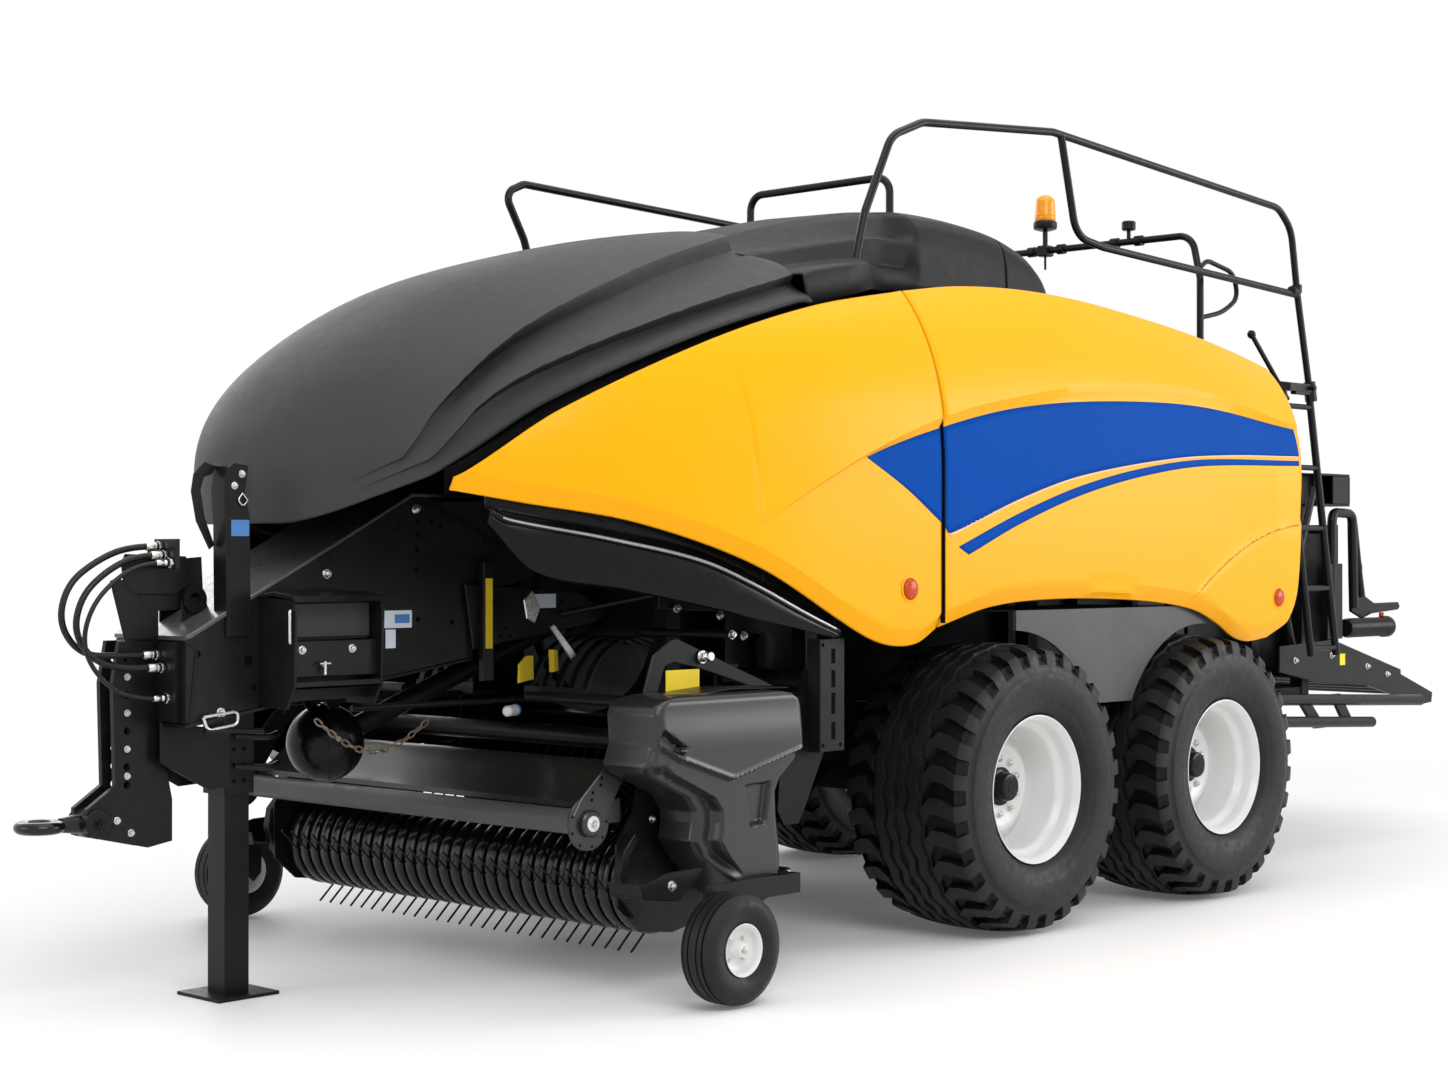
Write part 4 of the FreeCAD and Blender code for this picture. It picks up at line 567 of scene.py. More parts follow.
def build_panels():
    """Side panels with their stripes, seam strips and lamps."""
    front_seam, front_tip = [(0.525, 1.24), (0.525, 2.567)], [(2.61, 1.745), (2.61, 1.788)]
    front = panel_patch(FRONT_TOP, FRONT_LOW[::-1], front_tip, front_seam, 130, 34)
    rear = panel_patch(REAR_TOP, REAR_LOW[::-1], [(0.515, 1.244), (0.515, 2.568)], REAR_BACK[::-1], 165, 40)
    for side, sign in SIDES:
        mirror = sign < 0
        body_front, body_rear = "panel_front_" + side, "panel_rear_" + side
        side_panel(body_front + "_skin", front, body_front, mirror)
        side_panel(body_rear + "_skin", rear, body_rear, mirror)
        decal("stripe_tip_" + side, crease_part(BEVEL_LOW, 0.964, 0.531, 0.002),
              [(0.964, 1.891), (0.739, 1.778), (0.531, 1.65)], "stripe_blue", body_front, mirror,
              columns=30, rows=12)
        decal("stripe_" + side, crease_part(BEVEL_LOW, 0.509, -2.15, 0.002), [(0.509, 1.634), *STRIPE_LOW],
              "stripe_blue", body_rear, mirror, columns=110, rows=14)
        decal("stripe_line_" + side, [(0.486, 1.607), *STRIPE_LOW[1:]],
              [(0.475, 1.596), *[(x, z - 0.012 + 0.004 * (0.4 - x) / 2.5) for x, z in STRIPE_LOW[1:]]], "stripe_cream",
              body_rear, mirror, columns=90, rows=2)
        decal("stripe_second_" + side, SECOND_TOP, SECOND_LOW, "stripe_blue", body_rear, mirror,
              columns=90, rows=3)
        # Painted shade: a near-black strip behind the gap between the front and the rear panel.
        strip = []
        for k in range(61):
            z = 1.262 + (2.56 - 1.262) * k / 60
            strip += [row(x, skin_y(x, z) - depth, z) for x, depth in ((0.516, 0.016), (0.516, 0.034),
                                                                       (0.524, 0.034), (0.524, 0.016))]
        new_piece("seam_strip_" + side, strip, [tuple(reversed(f)) for f in grid_faces(61, 4, close_columns=True)],
                  MATERIALS["bore_black"], body_rear, smooth=False, mirror=mirror)
        for name, x, z, body in (("lamp_front_", 0.722, 1.397, body_front), ("lamp_rear_", -1.965, 1.329, body_rear)):
            lamp(name + side, x, z, body, mirror)


def lamp(name, x, z, body, mirror):
    """Round side lamp: a shallow well with a domed ribbed lens."""
    y = panel_point(x, z)[1]
    rings = [(0.052, 0.0), (0.05, 0.003), (0.044, 0.004), (0.041, 0.001), (0.0405, 0.006), (0.037, 0.012),
             (0.028, 0.0165), (0.015, 0.019), (0.001, 0.0195)]
    count = 40
    verts = []
    for r, lift in rings:
        for k in range(count):
            angle = 2 * math.pi * k / count
            verts.append(row(x + r * math.cos(angle), y + lift, z + r * math.sin(angle)))
    faces = grid_faces(len(rings), count, close_columns=True)
    piece = new_piece(name, verts, faces, MATERIALS["panel_yellow"], body, mirror=mirror)
    piece.data.materials.append(MATERIALS["lens_red"])
    for polygon in piece.data.polygons:
        if polygon.index >= 3 * count:
            polygon.material_index = 1
    face_outwards(piece.data, weld=0.0002)
    return sharpen(piece, 40)


def build_crease():
    """Fine line of painted shade along the top of the raised wheel arch, let into each rear panel."""
    stations = [-1.262 - 0.885 * k / 30 for k in range(31)]
    verts = []
    for x in stations:
        z = curve_value(ARCH_CREASE, x)
        verts += [panel_point(x, z + rise, lift) for rise, lift in ((-0.003, -0.002), (-0.003, 0.001),
                                                                    (0.003, 0.001), (0.003, -0.002))]
    faces = [(4 * k + i, 4 * k + (i + 1) % 4, 4 * k + 4 + (i + 1) % 4, 4 * k + 4 + i)
             for k in range(len(stations) - 1) for i in range(4)]
    faces += [(3, 2, 1, 0), tuple(range(len(verts) - 4, len(verts)))]
    part = (verts, faces)
    joined("arch_crease_left", [part], "panel_crease", "panel_rear_left", "yellow_panel")
    joined("arch_crease_right", both([part])[1:], "panel_crease", "panel_rear_right", "yellow_panel")


# ---------------- hood
RIDGE_TOP = [
    (2.94, 0.33, 1.7), (2.777, 0.63, 1.736), (2.575, 0.756, 2.046), (2.24, 0.781, 2.322), (1.706, 0.725, 2.565),
    (1.035, 0.569, 2.785)]
RIDGE_LOW = [
    (2.9, 0.45, 1.69), (2.71, 0.69, 1.76), (2.465, 0.829, 2.048), (2.169, 0.904, 2.222), (1.631, 0.954, 2.422),
    (1.035, 0.945, 2.6)]
HOOD_LENGTH, HOOD_STEPS = 1.9, 95
CHANNEL_DEPTHS, CHANNEL_WALL = (0.036, 0.052), 0.13     # lower and upper channel, share that is the steep wall
HOOD_REAR_LOW, HOOD_REAR_HIGH = (1.06, 2.482), (0.96, 3.1)
HOOD_LOW_NOSE = [(2.95, 1.634), (2.9, 1.64), (2.74, 1.735), (2.625, 1.798)]


def hood_low(x):
    """Height of the hood's lower edge at x."""
    if x >= 2.625:
        return curve_value(HOOD_LOW_NOSE, x)
    over = [(px + 0.015, pz + 0.022) for px, pz in FRONT_TOP if px > 1.0] + [HOOD_REAR_LOW]
    over[0] = (2.625, 1.798)
    return curve_value(over, x)


def ridge_height(ridge, x):
    return curve_value([(p[0], p[2]) for p in ridge], x)


def hood_section(x, samples=240):
    """Half section of the hood's skin at x, from its lower edge to the middle: (y, z) points and their lengths."""
    half = half_width(x, HOOD_NOSE)
    crown = max(crown_height(x + PANEL_NOSE - HOOD_NOSE, HOOD_CROWN), 1e-4)
    low = hood_low(x)
    points = []
    if low < BELT_Z:
        points += [(half, low + (BELT_Z - low) * k / 10) for k in range(10)]
        start = 0.0
    else:
        start = math.asin(min(((low - BELT_Z) / crown) ** (CROWN_POWER / 2), 1.0))
    for k in range(samples + 1):
        angle = start + (math.pi / 2 - start) * k / samples
        points.append((half * abs(math.cos(angle)) ** (2 / CROWN_POWER),
                       BELT_Z + crown * abs(math.sin(angle)) ** (2 / CROWN_POWER)))
    return points


# Share of painted shade on each row of a half section: dark in the lower channel, then rising from the lower ridge to
# under the upper one.
RIDGE_SHADE_TONES = [0.9, 0.9, 0.92, 0.95, 1, 1, 1, 1, 1, 1, 0.15, 0.35, 0.6, 0.78, 0.92, 1, 1, 1, 1, 1]
CHANNEL_ROWS = [0.0, 0.12, 0.25, 0.4, 0.55, 0.68, 0.78, 0.83, 0.87, 0.94]


def hood_column(x, counts=(10, 10, 44)):
    """Points of a half section with rows on the two ridges, and each point's zone and place in it."""
    points = hood_section(x)
    lengths = [0.0]
    for a, b in zip(points, points[1:]):
        lengths.append(lengths[-1] + math.dist(a, b))
    total = max(lengths[-1], 1e-6)

    def share_at(height):
        k = next((k for k, p in enumerate(points) if p[1] >= height), len(points) - 1)
        return lengths[k] / total
    lower = min(max(share_at(ridge_height(RIDGE_LOW, x)), 0.06), 0.5)
    upper = min(max(share_at(ridge_height(RIDGE_TOP, x)), lower + 0.05), 0.75)
    stops = [0.0, lower, upper, 1.0]
    out = []
    for zone, (a, b) in enumerate(zip(stops, stops[1:])):
        for i in range(counts[zone] + (1 if zone == 2 else 0)):
            t = i / counts[zone] if zone == 2 else CHANNEL_ROWS[i]
            at = (a + (b - a) * t) * total
            k = min(max(int(np.searchsorted(lengths, at)) - 1, 0), len(points) - 2)
            span = max(lengths[k + 1] - lengths[k], 1e-9)
            f = (at - lengths[k]) / span
            out.append((points[k][0] + (points[k + 1][0] - points[k][0]) * f,
                        points[k][1] + (points[k + 1][1] - points[k][1]) * f, zone, t))
    return out


def hood_relief(x, zone, t):
    """Depth of the two sunk channels along each side of the hood: steep under each ridge, then running out."""
    if zone == 2:
        return 0.0
    return fade(2.86 - x, 0.0, 0.45) * CHANNEL_DEPTHS[zone] * min((1 - t) / CHANNEL_WALL, 1.0) * fade(t, 0.0, 0.8)


def build_hood():
    """Ridged hood as one skin, mirrored about the centre plane."""
    stations = [HOOD_NOSE - HOOD_LENGTH * (k / HOOD_STEPS) ** 1.9 for k in range(HOOD_STEPS + 1)]
    stations[0] = HOOD_NOSE - 0.0008
    half_columns = []
    for x in stations:
        column = hood_column(x)
        half = []
        for y, z, zone, t in column:
            depth = hood_relief(x, zone, t)
            shear = 0.0
            if x < 1.3:
                edge = HOOD_REAR_LOW[0] + (HOOD_REAR_HIGH[0] - HOOD_REAR_LOW[0]) * (
                    (z - HOOD_REAR_LOW[1]) / (HOOD_REAR_HIGH[1] - HOOD_REAR_LOW[1]))
                shear = (edge - 1.05) * (1.3 - x) / 0.25
            rise = (z - BELT_Z) / max(crown_height(x + PANEL_NOSE - HOOD_NOSE, HOOD_CROWN), 1e-4)
            lean = min(max(rise, 0.0), 1.0) ** 1.6
            half.append((x + shear, y - depth * math.sqrt(max(1 - lean ** 2, 0)), z - depth * lean))
        half_columns.append(half)
    verts = []
    for half in half_columns:
        whole = half + [(px, -py, pz) for px, py, pz in reversed(half[:-1])]
        verts += [row(*p) for p in whole]
    faces = grid_faces(len(half_columns), len(half_columns[0]) * 2 - 1)
    hood = new_piece("hood_skin", verts, faces, MATERIALS["hood_ridged"], "hood")
    # Painted shade in the channels under the ridges, fading out towards the nose.
    tones = RIDGE_SHADE_TONES + [0.0] * (len(half_columns[0]) - len(RIDGE_SHADE_TONES))
    tones += reversed(tones[:-1])
    shade = hood.data.attributes.new("ridge_shade", "FLOAT", "POINT")
    shade.data.foreach_set("value", [fade(2.82 - x, 0.0, 0.55) * tone for x in stations for tone in tones])
    face_outwards(hood.data, weld=0.0004)
    modifier(hood, "SOLIDIFY", thickness=HOOD_THICK, offset=-1)
    sharpen(hood, 24)
    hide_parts("hood")


# ---------------- tyres
def centre_of(node):
    low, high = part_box(node)
    return (low + high) / 2


def revolve(profile, centre, count=96, side=1):
    """Points of a surface turned about a cross axis; profile is (y out, radius)."""
    verts = []
    for y, r in profile:
        for k in range(count):
            angle = 2 * math.pi * k / count
            verts.append((centre.x + r * math.cos(angle), centre.y + side * y, centre.z + r * math.sin(angle)))
    return verts


TREAD_PITCHES = 28
TREAD_HALF = 0.268
TREAD_DEPTH = 0.03
# Place and half width of each groove round the tread, and its wall's slope, as shares of the half tread.
TREAD_GROOVES = ((-0.43, 0.025), (-0.2, 0.025), (0.0, 0.03), (0.2, 0.025), (0.43, 0.025))
GROOVE_DEPTH, GROOVE_SLOPE = 0.014, 0.015
CUT_FROM, WALL_CUT = 0.53, 0.018        # share of a pitch where the space between two lugs starts, depth on the wall


def tread_radius(w):
    """Radius of the flotation tyre's crown at w, from -1 to 1 across the tread."""
    return 0.5845 - 0.026 * abs(w) ** 2.4


def build_flotation_tyre(name, body, side):
    """Flotation tyre: zigzag ribs in the middle and heavy lugs that bend out over both shoulders."""
    centre = centre_of(name)
    half = TREAD_HALF
    grooves = [(at + edge, int(abs(edge) == wide)) for at, wide in TREAD_GROOVES
               for edge in (-wide - GROOVE_SLOPE, -wide, wide, wide + GROOVE_SLOPE)]
    across = [(w, 0) for w in (-1.0, -0.8, -0.62)] + grooves + [(w, 0) for w in (0.62, 0.8, 1.0)]
    pitch = [0.0, 0.125, 0.25, 0.375, 0.5, 0.53, 0.75, 0.97]
    per = len(pitch)
    columns = TREAD_PITCHES * per
    step = 2 * math.pi / TREAD_PITCHES
    low_wall = [(0.233, 0.2865), (0.246, 0.293), (0.268, 0.318), (0.284, 0.345), (0.2845, 0.352), (0.287, 0.356),
                (0.295, 0.392), (0.2985, 0.432), (0.2965, 0.462), (0.2955, 0.466), (0.2925, 0.47), (0.287, 0.494)]
    ends = [(0.2865, 0.5), (0.2825, 0.524), (0.276, 0.5475)]

    def lug_shift(w):
        a = abs(w)
        if a < 0.4:
            return 0.0
        bend = 0.66
        inner = (min(a, bend) - 0.4) / (bend - 0.4)
        outer = max(a - bend, 0) / (1 - bend)
        return 0.62 * inner - 0.34 * outer

    def zigzag(w, a):
        wave = abs((a % 1.0) - 0.5) * 2 - 0.5
        return 0.075 * wave * (1 - fade(abs(w), 0.3, 0.62))

    def ring(point, shift, left):
        """One row of points round the tyre; the left half is half a pitch behind the right one."""
        return [(*point(i + part, part >= CUT_FROM), (i + part + shift + (0.5 if left else 0.0)) * step)
                for i in range(TREAD_PITCHES) for part in pitch]

    def tread_row(w, groove):
        def point(a, between_lugs):
            cut = GROOVE_DEPTH if groove else 0.0
            if abs(w) > 0.46 and between_lugs:
                cut = TREAD_DEPTH * (0.7 + 0.3 * abs(w))
            across_at = w + zigzag(w, a)
            return half * across_at, tread_radius(across_at) - cut
        return ring(point, lug_shift(w), w < 0)

    def wall_row(y, r, sign, depth=0.0):
        def point(_, between_lugs):
            cut = depth if between_lugs else 0.0
            return sign * (y - cut * 0.9), r - cut * 0.25
        return ring(point, lug_shift(1.0), sign < 0)

    rows = [wall_row(y, r, -1) for y, r in low_wall]
    rows += [wall_row(y, r, -1, WALL_CUT if k else 0.0) for k, (y, r) in enumerate(ends)]
    rows += [tread_row(w, groove) for w, groove in across]
    rows += [wall_row(*ends[k], 1, WALL_CUT if k else 0.0) for k in (2, 1, 0)]
    rows += [wall_row(y, r, 1) for y, r in reversed(low_wall)]
    verts = [(centre.x + r * math.cos(angle), centre.y + side * y, centre.z + r * math.sin(angle))
             for line in rows for y, r, angle in line]
    faces = grid_faces(len(rows), columns, close_columns=True)
    inner = [(len(rows) - 1) * columns + k for k in range(columns)]
    faces += [(inner[k], inner[(k + 1) % columns], (k + 1) % columns, k) for k in range(columns)]
    tyre = new_piece(name + "_tread", verts, faces, MATERIALS["rubber"], body)
    # The spaces between the shoulder lugs take near black: painted shade in the tread's hollows.
    tyre.data.materials.append(MATERIALS["under_black"])
    first, last = len(low_wall) + 1, len(rows) - len(low_wall) - 1
    for polygon in tyre.data.polygons:
        line, column = divmod(polygon.index, columns)
        if first <= line < last and (column % per) in (4, 5, 6) and not 0.46 > abs(rows[line][0][0] / half) > -1:
            polygon.material_index = 1
    if side > 0:
        tyre.data.flip_normals()
    sharpen(tyre, 32)
    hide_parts(name)
    return tyre


def build_gauge_tyre(name, body, side):
    """Ribbed tyre of the pickup's gauge wheel."""
    centre = centre_of(name)
    r = 0.1895
    crown = [(-0.06, r - 0.013), (-0.056, r - 0.006), (-0.047, r - 0.003), (-0.0465, r - 0.011), (-0.0405, r - 0.011),
             (-0.04, r - 0.001), (-0.0225, r), (-0.022, r - 0.009), (-0.016, r - 0.009), (-0.0155, r)]
    wall = [(-0.0565, 0.0865), (-0.06, 0.094), (-0.0685, 0.112), (-0.0735, 0.13), (-0.0742, 0.145),
            (-0.0712, 0.158), (-0.066, 0.169)]
    left = wall + crown
    profile = left + [(-y, radius) for y, radius in reversed(left)]
    count = 72
    verts = revolve(profile, centre, count, side)
    faces = grid_faces(len(profile), count, close_columns=True)
    last = (len(profile) - 1) * count
    faces += [(last + k, last + (k + 1) % count, (k + 1) % count, k) for k in range(count)]
    tyre = new_piece(name + "_ribs", verts, faces, MATERIALS["rubber"], body)
    if side > 0:
        tyre.data.flip_normals()
    sharpen(tyre, 32)
    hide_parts(name)


# ---------------- small parts: (verts, faces) in the CAD's axes
def turned(profile, place, axis, count=24, closed=False, phase=0.0):
    """Round part about an axis through a place; profile holds (distance along the axis, radius)."""
    axis, place = Vector(axis).normalized(), Vector(place)
    u = axis.orthogonal().normalized()
    v = axis.cross(u)
    verts = []
    for reach, radius in profile:
        for k in range(count):
            angle = phase + 2 * math.pi * k / count
            verts.append(place + axis * reach + (u * math.cos(angle) + v * math.sin(angle)) * radius)
    faces = grid_faces(len(profile), count, close_rows=closed, close_columns=True)
    return verts, faces if closed else faces + end_caps(verts, count)


def washer(place, thick, outer, inner, count=24):
    """Flat ring on a face that looks to the left."""
    return turned([(0.0, outer), (thick, outer), (thick, inner), (0.0, inner)], place, LEFT, count, True)


def bolt(place, axis, size):
    """Washer, six-sided head and thread end; size is the washer's diameter."""
    r = size / 2
    return [turned([(0, r), (0.08 * size, r), (0.11 * size, 0.93 * r)], place, axis, 18),
            turned([(0.08 * size, 0.74 * r), (0.38 * size, 0.74 * r), (0.45 * size, 0.62 * r)], place, axis, 6),
            turned([(0.4 * size, 0.36 * r), (0.58 * size, 0.36 * r), (0.64 * size, 0.28 * r)], place, axis, 10)]


def side_bolts(places, y, size):
    """Bolts at (x, z) places on a face that looks to the left."""
    return [part for x, z in places for part in bolt((x, y, z), LEFT, size)]


def rounded(points, radius, steps=5):
    """Path with its corners rounded off."""
    points = [Vector(p) for p in points]
    out = [points[0]]
    for before, corner, after in zip(points, points[1:], points[2:]):
        trim = min(radius, 0.48 * (corner - before).length, 0.48 * (after - corner).length)
        start = corner + (before - corner).normalized() * trim
        end = corner + (after - corner).normalized() * trim
        for k in range(steps + 1):
            t = k / steps
            out.append(start * (1 - t) ** 2 + corner * (2 * t * (1 - t)) + end * t ** 2)
    return out + [points[-1]]


def pipe(points, radius, count=12, closed=False):
    """Round bar along a path; radius may be one for each point."""
    points = [Vector(p) for p in points]
    last = len(points) - 1
    radii = radius if isinstance(radius, (list, tuple)) else [radius] * len(points)
    verts = []
    u = None
    for i, point in enumerate(points):
        if closed:
            tangent = points[(i + 1) % (last + 1)] - points[i - 1]
        else:
            tangent = points[min(i + 1, last)] - points[max(i - 1, 0)]
        tangent.normalize()
        u = tangent.orthogonal() if u is None else u - tangent * u.dot(tangent)
        u.normalize()
        v = tangent.cross(u)
        for k in range(count):
            angle = 2 * math.pi * k / count
            verts.append(point + (u * math.cos(angle) + v * math.sin(angle)) * radii[i])
    faces = grid_faces(last + 1, count, close_rows=closed, close_columns=True)
    return verts, faces if closed else faces + end_caps(verts, count)


def inset(outline, distance):
    """Closed outline moved inwards by a distance."""
    count = len(outline)
    area = sum(outline[i - 1][0] * outline[i][1] - outline[i][0] * outline[i - 1][1] for i in range(count))
    turn = 1 if area > 0 else -1
    out = []
    for i in range(count):
        before, at, after = (Vector(outline[k % count]) for k in (i - 1, i, i + 1))
        a, b = (at - before).normalized(), (after - at).normalized()
        normal = Vector((-(a.y + b.y), a.x + b.x)) * turn
        length = max(normal.length_squared, 0.3)
        out.append(tuple(at + normal * (2 * distance / length)))
    return out


def slab(outline, low, high, plane="xz", edge=0.003):
    """Plate with chamfered edges: an outline in a plane between two values of the third axis."""
    rings = [(inset(outline, edge), low), (outline, low + edge), (outline, high - edge), (inset(outline, edge), high)]
    place = {"xz": lambda a, b, c: (a, c, b), "yz": lambda a, b, c: (c, a, b), "xy": lambda a, b, c: (a, b, c)}[plane]
    verts = [place(a, b, level) for ring, level in rings for a, b in ring]
    count = len(outline)
    return verts, grid_faces(4, count, close_columns=True) + end_caps(verts, count)


def block(x0, x1, y0, y1, z0, z1, edge=0.003):
    return slab([(x0, y0), (x1, y0), (x1, y1), (x0, y1)], z0, z1, "xy", edge)


def both(parts):
    """The parts and their mirror images on the other side of the machine."""
    return parts + [([(v[0], -v[1], v[2]) for v in verts], faces) for verts, faces in parts]


SMALL_FINISHES = ("plated_steel", "worn_steel", "bead_bright", "label_yellow", "label_white", "label_blue", "lens_red")
NO_SLOT = ""


def joined(name, parts, finish, body="chassis", slot=None, degrees=32, replaces=None):
    """One piece from several parts; its slot is worked out but not used."""
    verts, faces = [], []
    for part_verts, part_faces in parts:
        start = len(verts)
        verts += [row(*v) for v in part_verts]
        faces += [tuple(start + i for i in face) for face in part_faces]
    if slot is None:
        slot = NO_SLOT if finish in SMALL_FINISHES else "black_frame"
    piece = new_piece(name, verts, faces, MATERIALS[finish], body)
    face_outwards(piece.data)
    if replaces:
        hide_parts(replaces)
    return sharpen(piece, degrees)


def cad_centre(node):
    centre = centre_of(node)
    return Vector((centre.x - FRONT_AXLE_X, centre.y, centre.z))


# ---------------- top covers
COVER_TOP = [
    (1.06, 2.76), (0.882, 2.8), (0.618, 2.872), (0.257, 2.955), (0.06, 2.985), (-0.158, 2.995), (-0.434, 2.985),
    (-0.64, 2.96), (-0.812, 2.912), (-0.9, 2.868), (-0.963, 2.8), (-0.99, 2.7)]
COVER_FOOT = [(1.06, 2.47), (0.525, 2.585), (0.0, 2.635), (-0.64, 2.63), (-0.99, 2.59)]
SHELF_HIGH = [(1.06, 2.69), (0.787, 2.745), (0.328, 2.828), (0.0, 2.845)]
SHELF_LOW = [(1.06, 2.59), (0.964, 2.622), (0.516, 2.697), (0.3, 2.715), (0.0, 2.72)]


def cover_section(x):
    """Half section of the covers from the foot to the middle: stepped at the front, one full wall behind."""
    top, foot = curve_value(COVER_TOP, x), curve_value(COVER_FOOT, x)
    high, low = curve_value(SHELF_HIGH, x), curve_value(SHELF_LOW, x)
    out = 0.655 + 0.325 * fade(x, 0.15, 0.8)
    edge = 0.47 - 0.05 * fade(x, 0.3, 1.0)
    ledge = max(out - 0.03 - 0.69, 0.012)
    stepped = [(out, foot), (out - 0.022, low), (out - 0.03 - ledge, low + 0.012), (0.65, high), (0.56, high + 0.014),
               (edge + 0.015, top - 0.025), (edge - 0.07, top + 0.002), (0.0, top + 0.016)]
    full = [(0.655, foot), (0.655, foot + 0.05), (0.653, foot + 0.1), (0.648, top - 0.15), (0.632, top - 0.085),
            (0.59, top - 0.035), (0.5, top - 0.004), (0.0, top + 0.016)]
    share = fade(x, -0.045, 0.035)
    points = [(0, a[0] * share + b[0] * (1 - share), a[1] * share + b[1] * (1 - share)) for a, b in zip(stepped, full)]
    return [(p.y, p.z) for p in rounded(points, 0.02, 4)]


def cover(name, x_front, x_rear, node, columns):
    """One top cover between two stations."""
    verts = []
    for i in range(columns + 1):
        x = x_front + (x_rear - x_front) * i / columns
        half = [(x, y, z) for y, z in cover_section(x)]
        verts += half + [(px, -py, pz) for px, py, pz in reversed(half[:-1])]
    rows_used, per = columns + 1, len(verts) // (columns + 1)
    faces = grid_faces(rows_used, per)
    if name.startswith("top_cover_rear"):
        faces.append(tuple(columns * per + k for k in range(per)))
    piece = joined(name, [(verts, faces)], "cover_grain", "chassis", "black_cover", 26)
    modifier(piece, "SOLIDIFY", thickness=COVER_THICK, offset=-1)
    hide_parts(node)


# ---------------- rims and hubs
RIM_LOOP = [
    (0.261, 0.2985), (0.2625, 0.295), (0.2605, 0.2915), (0.255, 0.288), (0.247, 0.2835), (0.24, 0.278), (0.23, 0.2745),
    (0.198, 0.273), (0.19, 0.2705), (0.178, 0.257), (0.17, 0.25), (0.158, 0.2475), (0.058, 0.246), (0.038, 0.244),
    (0.028, 0.238), (0.034, 0.226), (0.058, 0.198), (0.068, 0.184), (0.072, 0.176), (0.072, 0.152), (0.0695, 0.149),
    (0.0695, 0.058), (0.056, 0.058), (0.056, 0.15), (0.05, 0.18), (0.012, 0.234), (-0.06, 0.236), (-0.083, 0.24),
    (-0.11, 0.27), (-0.235, 0.274), (-0.247, 0.283), (-0.26, 0.292), (-0.261, 0.2985), (-0.248, 0.293), (-0.24, 0.286),
    (-0.105, 0.2855), (-0.08, 0.254), (0.158, 0.255), (0.172, 0.258), (0.19, 0.28), (0.205, 0.2855), (0.24, 0.286),
    (0.25, 0.292)]
GAUGE_RIM_LOOP = [
    (0.064, 0.09), (0.0648, 0.088), (0.063, 0.0855), (0.058, 0.083), (0.053, 0.079), (0.045, 0.078), (0.034, 0.0765),
    (0.027, 0.071), (0.0235, 0.062), (0.022, 0.048), (0.022, 0.0165), (0.018, 0.0165), (0.018, 0.048), (0.02, 0.064),
    (0.018, 0.072), (-0.045, 0.075), (-0.056, 0.081), (-0.063, 0.086), (-0.064, 0.09), (-0.056, 0.0865),
    (-0.045, 0.084), (0.045, 0.084), (0.056, 0.0865)]
NUTS = 10


def ring_of(count, radius, place, sign, reach):
    """Places round a wheel's centre on its outer face."""
    angles = [2 * math.pi * (k + 0.5) / count for k in range(count)]
    return [Vector((place.x + radius * math.cos(a), place.y + sign * reach, place.z + radius * math.sin(a)))
            for a in angles]


def build_wheel_trim():
    """Dished rims, hub caps, nuts and valves."""
    for side, sign in SIDES:
        axis = (0, sign, 0)
        for end in ENDS:
            node, body = f"rim_{end}_{side}", f"wheel_{end}_{side}"
            centre = cad_centre(node)
            joined(node + "_dish", [turned(RIM_LOOP, centre, axis, 96, closed=True)], "rim_paint", body,
                   "rim_paint", 40, replaces=node)
            cap = [(0.06, 0.057), (0.0705, 0.078), (0.079, 0.078), (0.083, 0.073), (0.085, 0.06), (0.118, 0.0575),
                   (0.126, 0.053), (0.129, 0.044), (0.1285, 0.02), (0.131, 0.018), (0.131, 0.001)]
            joined("hub_" + node[4:], [turned(cap, centre, axis, 48)], "liner_gloss", body)
            nuts = [part for place in ring_of(NUTS, 0.113, centre, sign, 0.0695) for part in bolt(place, axis, 0.034)]
            foot = Vector((centre.x + 0.1, centre.y + sign * 0.045, centre.z - 0.212))
            tip = foot + Vector((0.012, sign * 0.055, 0.018))
            nuts.append(pipe([foot, (foot + tip) / 2, tip], [0.008, 0.0055, 0.005]))
            joined("wheel_nuts_" + node[4:], nuts, "plated_steel", body)
        node, body = "gauge_rim_" + side, "gauge_wheel_" + side
        centre = cad_centre(node)
        boss = [(0.016, 0.017), (0.02, 0.034), (0.04, 0.031), (0.046, 0.026), (0.06, 0.0245), (0.063, 0.022),
                (0.063, 0.001)]
        joined(node + "_dish", [turned(GAUGE_RIM_LOOP, centre, axis, 64, closed=True),
                                turned(boss, centre, axis, 32)], "rim_paint", body, "rim_paint", 40, replaces=node)
        nuts = [part for place in ring_of(4, 0.047, centre, sign, 0.022) for part in bolt(place, axis, 0.016)]
        nuts += bolt(Vector((centre.x, centre.y + sign * 0.062, centre.z)), axis, 0.03)
        joined("gauge_nuts_" + side, nuts, "plated_steel", body)


# ---------------- pickup
SHIELD_TOP, SHIELD_FOOT = 1.045, 0.322
SHIELD_OUT, SHIELD_IN = 1.3, 1.05
SHIELD_FRONT = [
    (1.046, 2.03), (1.034, 2.11), (1.015, 2.146), (0.985, 2.158), (0.886, 2.15), (0.845, 2.166), (0.812, 2.18),
    (0.785, 2.15), (0.69, 1.945), (0.64, 1.906), (0.6, 1.902), (0.537, 1.915), (0.479, 1.872), (0.4, 1.79),
    (0.345, 1.735), (0.32, 1.69)]
SHIELD_REAR = [
    (1.046, 1.53), (1.034, 1.462), (1.015, 1.424), (0.985, 1.416), (0.845, 1.416), (0.797, 1.43), (0.735, 1.512),
    (0.69, 1.536), (0.6, 1.532), (0.503, 1.517), (0.422, 1.512), (0.36, 1.53), (0.32, 1.57)]
SHIELD_CREASE = [
    (1.39, 0.85), (1.419, 0.843), (1.6, 0.799), (1.775, 0.757), (1.79, 0.754), (1.805, 0.758), (2.039, 0.834),
    (2.144, 0.886), (2.19, 0.91)]
